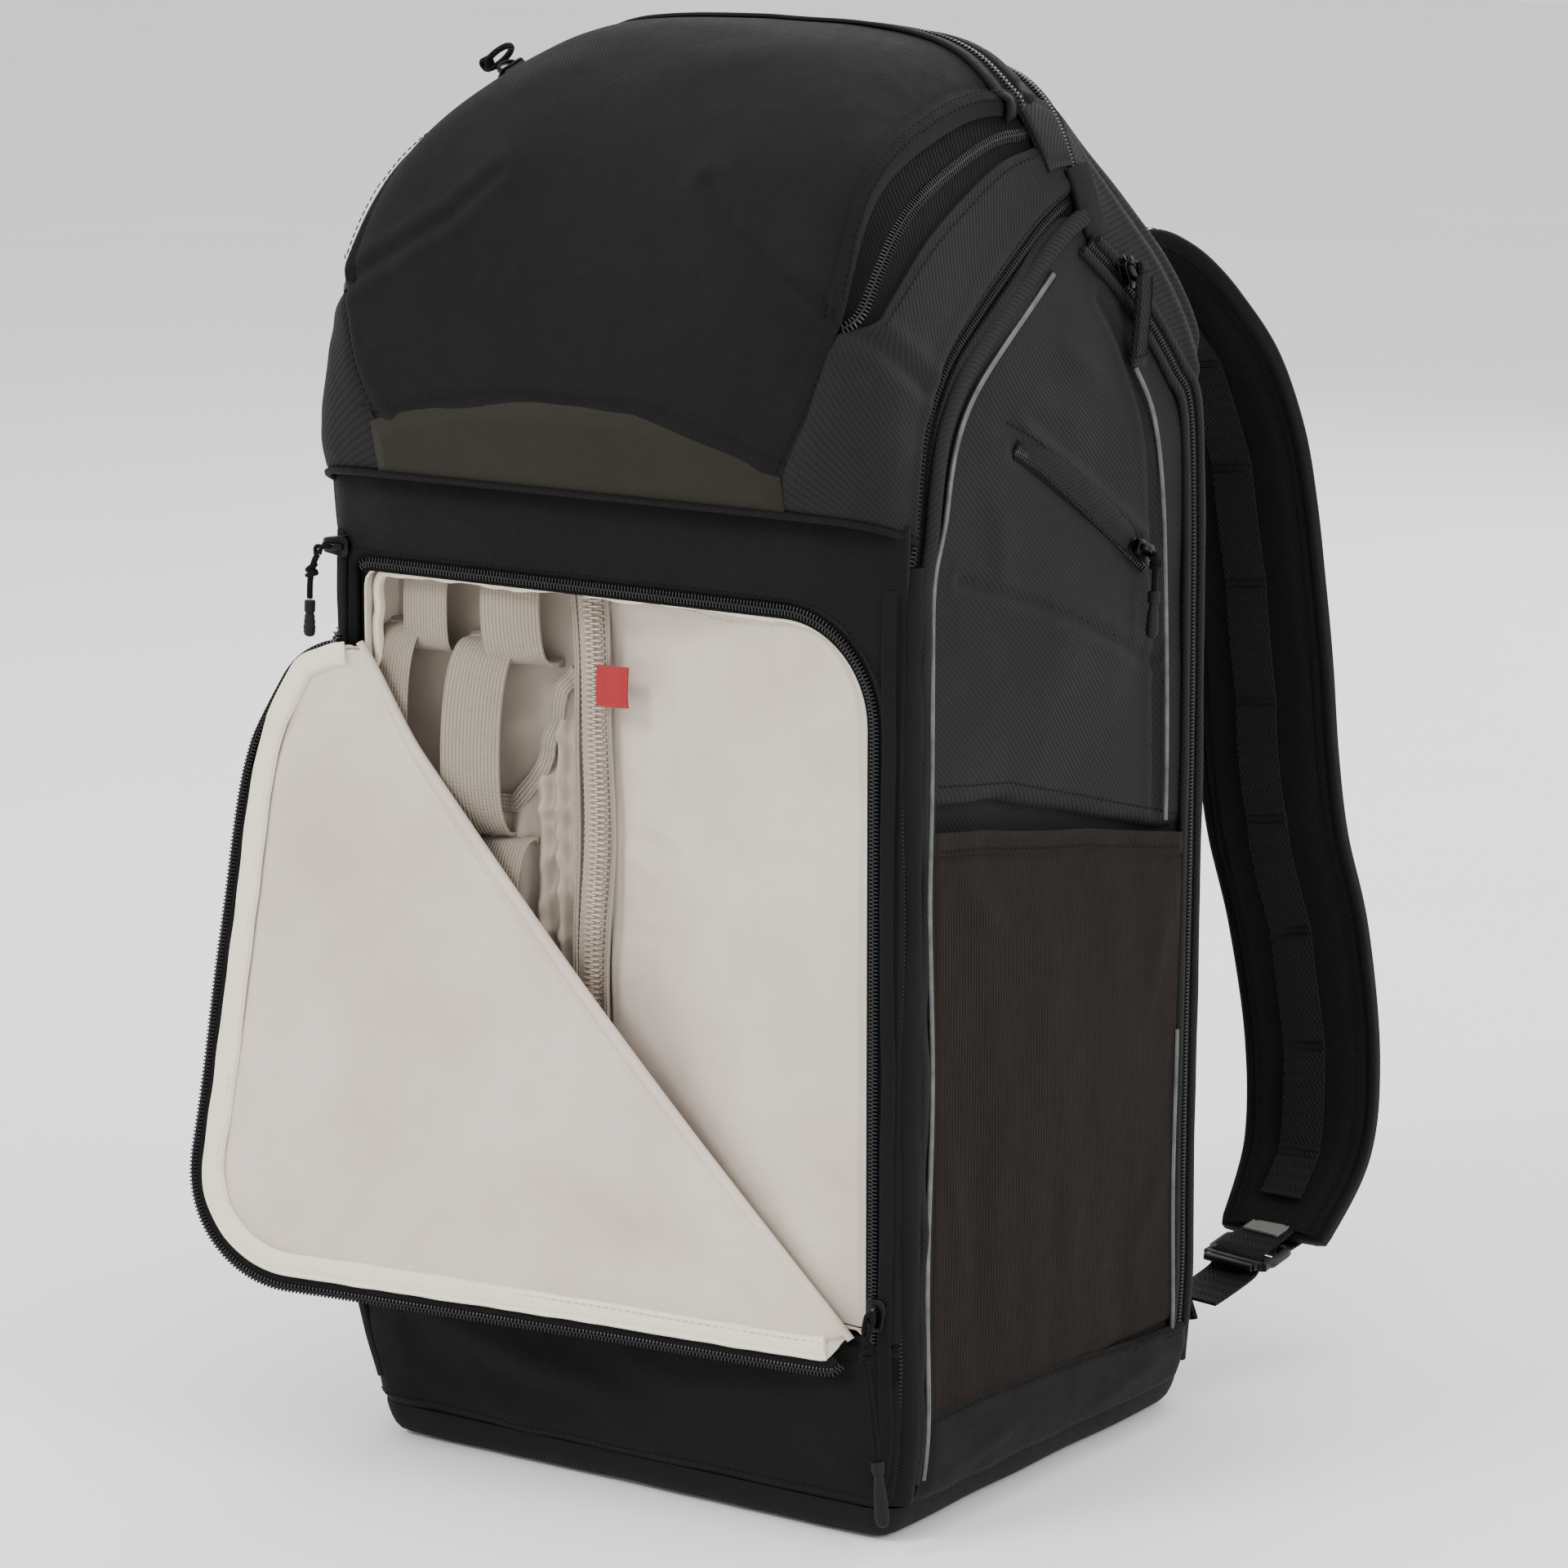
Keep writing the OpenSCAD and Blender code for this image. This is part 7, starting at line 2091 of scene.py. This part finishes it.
    def bar(pts, w_, h_, r_, closed=False, up=None):
        pc.sweep(np.array(pts), rrect(w_, h_, r_), mir(ln, sx) if up is None else up, 0, closed=closed)
    ring = []
    for cx, cy, a0 in ((14.6, 13.4 + 10.2, 0), (-14.6, 13.4 + 10.2, 90), (-14.6, 13.4 - 0.2, 180), (14.6, 13.4 - .2, 270)):
        for aa in np.radians(np.linspace(a0, a0 + 90, 6)):
            ring.append(M(cx + 1.4 * math.cos(aa), cy + 10.0 - 10.0 + (1.4 * math.sin(aa)), 0))
    ring = resample(np.array(ring), 1.6, closed=True)
    bar(ring, 3.2, 4.4, 1.3, closed=True)
    bar([M(-14.6, 23.6, 0), M(0, 23.6, 0), M(14.6, 23.6, 0)], 3.0, 4.2, 1.2)
    bar([M(-14.6, 29.5, .3), M(0, 30.2, .6), M(14.6, 29.5, .3)], 3.4, 4.2, 1.3)
    bar([M(14.8, 23.6, 0), M(15.2, 29.5, .2)], 3.0, 4.2, 1.2)
    bar([M(-14.8, 23.6, 0), M(-15.2, 29.5, .2)], 3.0, 4.2, 1.2)
    bar([M(-12.5, 33.6, 1.4), M(12.5, 33.6, 1.4)], 3.6, 3.0, 1.2)
    bar([M(12.2, 31.0, .8), M(12.2, 33.6, 1.4)], 3.0, 3.0, 1.0)
    bar([M(-12.2, 31.0, .8), M(-12.2, 33.6, 1.4)], 3.0, 3.0, 1.0)
    pc.build("ladder_lock_body_" + side, [M_["acetal"]], "strap_" + side, ("ladder_lock_" + side,), "lock_plastic", do_sag=False)
    pw = Piece()
    nrm = mir(ln, sx)
    run = [M(0, 12.5, 3.4), M(0, 18, 3.3), M(0, 23.6, 3.3), M(0, 27.4, 1.6), M(0, 28.2, -1.2), M(0, 31.0, -3.4), M(0, 37, -4.0), M(0, .5 * wl + 20, -3.9), M(0, wl - 2.0, -3.5)]
    r = resample(cat(run, np.linspace(0, 8, 160)), 1.6)
    Tn = unit(np.gradient(r, axis=0))
    upv = np.cross(Tn, mir(lw, sx))
    upv = upv * np.sign(upv @ nrm + 1e-9)[:, None]
    for i in range(1, len(upv)):
        if upv[i] @ upv[i - 1] < 0:
            upv[i] = -upv[i]
    pw.sweep(r, rrect(24.6, 1.5, .5), upv, 0)
    # strap end stitched round the lock's upper bar
    e = [mir(lp - lt * 20 + ln * 4.6, sx), mir(lp - lt * 8 + ln * 4.4, sx), M(0, 6, 3.4), M(0, 12, 3.0), M(0, 15.4, .8), M(0, 15.2, -1.6), M(0, 12, -3.0), M(0, 4, -3.8), mir(lp - lt * 9 - ln * 4.6, sx)]
    r = resample(cat(e, np.linspace(0, 8, 120)), 1.4)
    Tn = unit(np.gradient(r, axis=0))
    upv = np.cross(Tn, mir(lw, sx))
    if upv[0] @ nrm < 0:
        upv = -upv
    pw.sweep(r, rrect(23.5, 1.5, .5), upv, 0)
    pw.build("strap_webbing_run_" + side, [M_["web"]], "strap_" + side, ("strap_webbing_" + side,), "webbing", do_sag=False)
    # plain woven patch on the tab above the lock
    pl = Piece()
    c = M(0, 2.5, 5.4)
    U, V = np.meshgrid(np.linspace(-1, 1, 14), np.linspace(-1, 1, 12), indexing="ij")
    W3, T3 = mir(lw, sx), mir(lt, sx)
    PP = c + (U * 9)[..., None] * W3 + (V * 7.5)[..., None] * T3 + (nrm * 1.0) * (-.35 * np.exp(-((np.minimum(9 - 9 * np.abs(U), 7.5 - 7.5 * np.abs(V)) - 1.2) / .5) ** 2))[..., None]
    pl.shell(PP, 1.0 + 0 * U, (0, 0, 0), N=np.tile(nrm, U.shape + (1,)))
    pl.build("strap_patch_" + side, [M_["label"]], "strap_" + side, (), "webbing", do_sag=False)


def anchors():
    pc = Piece()
    pb = Piece()
    for sx in (1, -1):
        # top: folded webbing sewn into the panel, one end over the strap's root
        pts = [A(66, 112.5, 487.5), A(66, 116, 487.8), A(66, 120, 488.5), A(66, 124.5, 489.0), A(66, 130, 489.0), A(66.5, 134, 489.0)]
        r = resample(cat([mir(p, sx) for p in pts], np.linspace(0, 5, 40)), 1.2)
        pc.sweep(r, rrect(34, 3.4, 1.4), A(0, 0, 1), 0)
        # foot: a stitched wing with the webbing's end
        U, V = np.meshgrid(np.linspace(0, 1, 26), np.linspace(0, 1, 40), indexing="ij")
        Z = 20 + 74 * V
        x0 = 92 + 6 * V
        x1 = 119.5 + 0 * V
        X = x0 + (x1 - x0) * U
        Y = YB + 1.6 + 1.4 * np.sin(np.pi * U) * np.sin(np.pi * V) + .2 * noise(np.stack([X, Z, 0 * X], -1), 20, 161)
        e = np.minimum(np.minimum(U, 1 - U) * 24, np.minimum(V, 1 - V) * 74)
        Y = Y - .5 * np.exp(-((e - 2.2) / .7) ** 2)
        P = np.stack([X * half_w(Z) / HW * sx, Y, Z], -1)
        pb.shell(P, 1.4 + 0 * X, (0, 0, 0), N=np.tile(A(0, 1, 0), X.shape + (1,)), wear=.4 * np.exp(-(e / 2) ** 2))
        pts = [A(106, 121.0, 44), A(114, 121.6, 44), A(121, 122.8, 44), A(127, 124.6, 44.3), A(129.5, 123.9, 45.0)]
        r = resample(cat([mir(p, sx) for p in pts], np.linspace(0, 4, 40)), 1.2)
        pc.sweep(r, rrect(25, 1.7, .6), A(0, 1, 0), 0)
        for dx, dz in (((0, 0), (-10, 10)), ((16, 16), (-10, 10)), ((0, 16), (-10, -10)), ((0, 16), (10, 10)), ((0, 16), (-10, 10)), ((0, 16), (10, -10))):
            a_, b_ = A((101 + dx[0]) * sx, 122.3, 44 + dz[0]), A((101 + dx[1]) * sx, 122.3, 44 + dz[1])
            pc.sweep(np.array([a_, b_]), circle(.4, 6), None, 1)
        U, V = np.meshgrid(np.linspace(-1, 1, 30), np.linspace(-1, 1, 16), indexing="ij")
    pc.build("strap_anchor_webbing", [M_["web"], M_["thread"]], "pack", ("strap_anchors",), "webbing", do_sag=False)
    pb.build("strap_anchor_wings", [M_["shell"]], "pack", (), "shell_fabric", do_sag=False)


def handle():
    """Carrying handle: webbing wrapped in a padded sleeve, hanging from two sewn ends."""
    pts = [(-33.5, 486), (-32.8, 474), (-31.5, 463), (-26, 453.5), (-15, 450), (0, 449.3), (15, 450), (26, 453.5), (31.5, 463), (32.8, 474), (33.5, 486)]
    r = resample(cat([A(x, YB + 5.1 + 1.5 * math.exp(-(x / 22) ** 2), z) for x, z in pts], np.linspace(0, 10, 200)), 1.4)
    nr = len(r)
    s = np.linspace(-1, 1, nr)
    k = np.interp(np.abs(s), [0, .42, .5, .56, 1], [1.0, 1.0, .95, .62, .6])
    th = np.interp(np.abs(s), [0, .42, .5, .56, 1], [1.0, 1.0, .9, .45, .4])
    k = k * (1 + .03 * noise(r, 16, 171))
    pc = Piece()
    pc.sweep(r, rrect(14.5, 4.4, 2.1, 4), A(0, 1, 0), 0, scale=np.stack([k, th], 1))
    ob = pc.build("grab_handle_sleeve", [M_["strap"]], "handle", ("grab_handle",), "strap_fabric", do_sag=False)
    pw = Piece()
    for sx in (1, -1):
        p = [A(33.4 * sx, YB + 4.6, 474), A(33.5 * sx, YB + 4.5, 480), A(33.6 * sx, YB + 4.2, 485.5)]
        pw.sweep(resample(np.array(p), 1.5), rrect(13, 2.4, .8), A(0, 1, 0), 0)
    pw.build("grab_handle_ends", [M_["web"]], "handle", (), "webbing", do_sag=False)


def pad_shape(cx, cz, w, h, t, r=14, shrink=1.6):
    """Closed cushion blank against the back wall."""
    n = 56
    U, V = np.meshgrid(np.linspace(-1, 1, n), np.linspace(-1, 1, n), indexing="ij")
    # squircle-like plan
    X, Z = U * (w / 2 - shrink), V * (h / 2 - shrink)
    rx = r
    ax, az_ = np.abs(X) - (w / 2 - shrink - rx), np.abs(Z) - (h / 2 - shrink - rx)
    both = (ax > 0) & (az_ > 0)
    m = np.maximum(ax, az_)
    L = np.hypot(ax, az_)
    f = np.where(both, m / np.maximum(L, 1e-6), 1)
    X = np.where(both, np.sign(X) * ((w / 2 - shrink - rx) + ax * f), X)
    Z = np.where(both, np.sign(Z) * ((h / 2 - shrink - rx) + az_ * f), Z)
    e = np.minimum(w / 2 - shrink - np.abs(X), h / 2 - shrink - np.abs(Z))
    e = np.where(both, rx - np.hypot(np.abs(X) - (w / 2 - shrink - rx), np.abs(Z) - (h / 2 - shrink - rx)), e)
    e = np.clip(e, 0, None)
    Y = YB + 1.4 + (t - 3.2) * np.sqrt(np.clip(1 - (1 - np.clip(e / 9, 0, 1)) ** 2, 0, 1))
    F = np.stack([X + cx, Y, Z + cz], -1)
    B = np.stack([X + cx, 0 * X + YB + 1.0, Z + cz], -1)
    return F, B, e


def swell(ob, cap, pressure=4.0, voxel=.005):
    """Cloth simulation: the blank is remeshed, swells under pressure, and keeps the result."""
    bpy.context.view_layer.objects.active = ob
    for o in bpy.context.selected_objects:
        o.select_set(False)
    ob.select_set(True)
    rm = ob.modifiers.new("remesh", "REMESH")
    rm.mode = "VOXEL"
    rm.voxel_size = voxel
    bpy.ops.object.modifier_apply(modifier=rm.name)
    rest = np.empty(len(ob.data.vertices) * 3)
    ob.data.vertices.foreach_get("co", rest)
    rest = rest.reshape(-1, 3)
    # the back edge is sewn to the wall
    vg = ob.vertex_groups.new(name="sewn")
    low = [int(i) for i in np.where(rest[:, 1] < (YB + 2.2) * .001)[0]]
    vg.add(low, 1.0, "REPLACE")
    cl = ob.modifiers.new("cloth", "CLOTH")
    st = cl.settings
    st.quality = 5
    st.mass = .25
    st.tension_stiffness = st.compression_stiffness = 12
    st.shear_stiffness = 6
    st.bending_stiffness = 1.2
    st.use_pressure = True
    st.uniform_pressure_force = pressure
    st.vertex_group_mass = "sewn"
    st.effector_weights.gravity = 0
    cl.point_cache.frame_start, cl.point_cache.frame_end = 1, 20
    for f in range(1, 21):
        bpy.context.scene.frame_set(f)
    dg = bpy.context.evaluated_depsgraph_get()
    ev = ob.evaluated_get(dg).data
    co = np.empty(len(ev.vertices) * 3)
    ev.vertices.foreach_get("co", co)
    co = co.reshape(-1, 3)
    ob.modifiers.remove(cl)
    bpy.context.scene.frame_set(1)
    d = co - rest
    d[~np.isfinite(d).all(1)] = 0
    l = np.linalg.norm(d, axis=1, keepdims=True)
    d = d * np.minimum(1, cap * .001 / np.maximum(l, 1e-9))
    new = rest + d
    new[:, 1] = np.maximum(new[:, 1], (YB + .9) * .001)
    ob.data.vertices.foreach_set("co", new.ravel())
    ob.data.update()
    sb = ob.modifiers.new("sub", "SUBSURF")
    sb.levels = sb.render_levels = 1
    bpy.ops.object.modifier_apply(modifier=sb.name)
    ob.data.polygons.foreach_set("use_smooth", [True] * len(ob.data.polygons))
    ob.data.update()


def back_pads():
    spec = [("upper_right", 56, 345, 92, 190, 8), ("upper_left", -56, 345, 92, 190, 8), ("lower_right", 56, 180, 92, 110, 8), ("lower_left", -56, 180, 92, 110, 8), ("lumbar", 0, 77, 190, 72, 10)]
    for i, (nm, cx, cz, w, h, t) in enumerate(spec):
        F, B, e = pad_shape(cx, cz, w, h, t)
        pc = Piece()
        pc.grid(F, 0, N=np.tile(A(0, 1, 0), F.shape[:2] + (1,)))
        pc.grid(B, 0, N=np.tile(A(0, -1, 0), F.shape[:2] + (1,)))
        ring = lambda G: np.vstack([G[:-1, 0], G[-1, :-1], G[:0:-1, -1], G[0, :0:-1]])
        a_, b_ = ring(F), ring(B)
        pc.grid(np.stack([a_, b_], 1), 0, cu=True, flip=False)
        ob = pc.build("back_pad_" + nm, [M_["mesh"]], None, (), None, do_sag=False)
        bm_fix(ob)
        swell(ob, 4.5)
        # sewn channels across each pad
        co = np.empty(len(ob.data.vertices) * 3)
        ob.data.vertices.foreach_get("co", co)
        co = co.reshape(-1, 3) * 1000
        face = sstep(YB + 2.5, YB + 5, co[:, 1])
        for zc in ([cz - h * .17, cz + h * .17] if h > 80 else []):
            co[:, 1] -= face * 2.6 * np.exp(-((co[:, 2] - zc - 6 * np.abs(co[:, 0] - cx) / w) / 3.0) ** 2)
        if h <= 80:
            for xc in (-40, 40):
                co[:, 1] -= face * 2.8 * np.exp(-((co[:, 0] - xc) / 3.0) ** 2)
        ob.data.vertices.foreach_set("co", (co * .001).ravel())
        ob.data.update()
        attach(ob, "pack")
        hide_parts("back_pads")
        # bound rim
        a = []
        for qx, qz, a0 in ((w / 2 - 14, h / 2 - 14, 0), (-w / 2 + 14, h / 2 - 14, 90), (-w / 2 + 14, -h / 2 + 14, 180), (w / 2 - 14, -h / 2 + 14, 270)):
            for aa in np.radians(np.linspace(a0, a0 + 90, 9)):
                a.append((cx + qx + 13.2 * math.cos(aa), YB + 2.0, cz + qz + 13.2 * math.sin(aa)))
        rim = resample(np.array(a), 3.0, closed=True)
        pb = Piece()
        pb.sweep(rim, rrect(3.0, 3.4, 1.3), A(0, 1, 0), 0, closed=True)
        pb.build("back_pad_rim_" + nm, [M_["binding_black"]], "pack", (), "binding_tape", do_sag=False)


def bm_fix(ob):
    import bmesh
    bm = bmesh.new()
    bm.from_mesh(ob.data)
    bmesh.ops.remove_doubles(bm, verts=bm.verts, dist=1e-6)
    bmesh.ops.recalc_face_normals(bm, faces=bm.faces)
    bm.to_mesh(ob.data)
    bm.free()


def lid_zip_ends():
    """Patches that close the lid zip's runs against the back of the lid."""
    for sx in (1, -1):
        T, K = np.meshgrid(np.linspace(.866, 1.0, 26), np.linspace(5.7, 7.9, 22) * sx, indexing="ij")
        P = hood(K, T)
        N = normals(P, ref=A(0, -20, 480))
        e = np.minimum(np.minimum(K * sx - 5.7, 7.9 - K * sx) * 8, np.minimum(T - .866, 1.0 - T) * 300)
        pc = Piece()
        pc.shell(P + N * (1.3 - .6 * np.exp(-((e - 1.8) / .7) ** 2))[..., None], 2.4 + 0 * T, (0, 0, 0), N=N, wear=.4 * np.exp(-(e / 2) ** 2))
        pc.build("lid_zip_end_" + ("right" if sx > 0 else "left"), [M_["twill"]], "front_door", (), "twill_fabric", do_sag=False)
        # tab over the corner where the lid, the side and the rear panel meet
        q = resample(cat([A(x * sx, y, z) for x, y, z in ((115.2, 45, 533), (117.9, 46.5, 524), (119.8, 48.5, 514), (121.6, 51.5, 504))], np.linspace(0, 3, 30)), 1.2)
        pt = Piece()
        pt.sweep(q, rrect(17, 2.6, 1.1), A(sx, 0, .25), 0)
        pt.build("lid_corner_tab_" + ("right" if sx > 0 else "left"), [M_["shell"]], "pack", (), "shell_fabric", do_sag=False)


def interior():
    lo, hi = cbox("back_foam")
    ob = padded_board("back_panel_foam", lo, hi, "pack", M_["foamcover"], ("back_foam",), "foam", 4.0, bulge=.4)
    for i, (lo, hi) in enumerate((((-126, -84, 150), (126, 101, 157)), ((-126, -84, 275), (126, 101, 282)), ((-4, -80, 19), (4, 99, 149)))):
        ob = padded_board("camera_divider_%d" % (i + 1), lo, hi, "pack", M_["divider"], ("camera_dividers",), "divider_fabric", 3.3, bulge=.8)


for sx in (1, -1):
    strap(sx)
anchors()
lid_zip_ends()
handle()
back_pads()
interior()

# ------------------------------------------------------------------ CAD pieces that stay, with finished materials
KEEP = {"metal": ["slider_lid", "slider_rear_left", "slider_rear_right", "slider_pocket_left", "slider_pocket_right"],
        "acetal": ["ladder_lock_left", "ladder_lock_right"],
        "cord": ["pull_lid", "pull_pocket_left", "pull_pocket_right"]}
for key, names in KEEP.items():
    for nme in names:
        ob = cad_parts[nme]
        if not ob.hide_render:
            if not ob.material_slots:
                ob.data.materials.append(M_[key])
            for ms in ob.material_slots:
                ms.material = M_[key]

# ------------------------------------------------------------------ close
for body_name, pc in STITCH.items():
    key = body_name
    if pc.n:
        pc.build("stitching_" + key, M_["thread_light"] if key.endswith("light") else M_["thread"], key.replace("_light", ""), (), "binding_tape" if key.endswith("light") else "zip_tape", sharp=60)
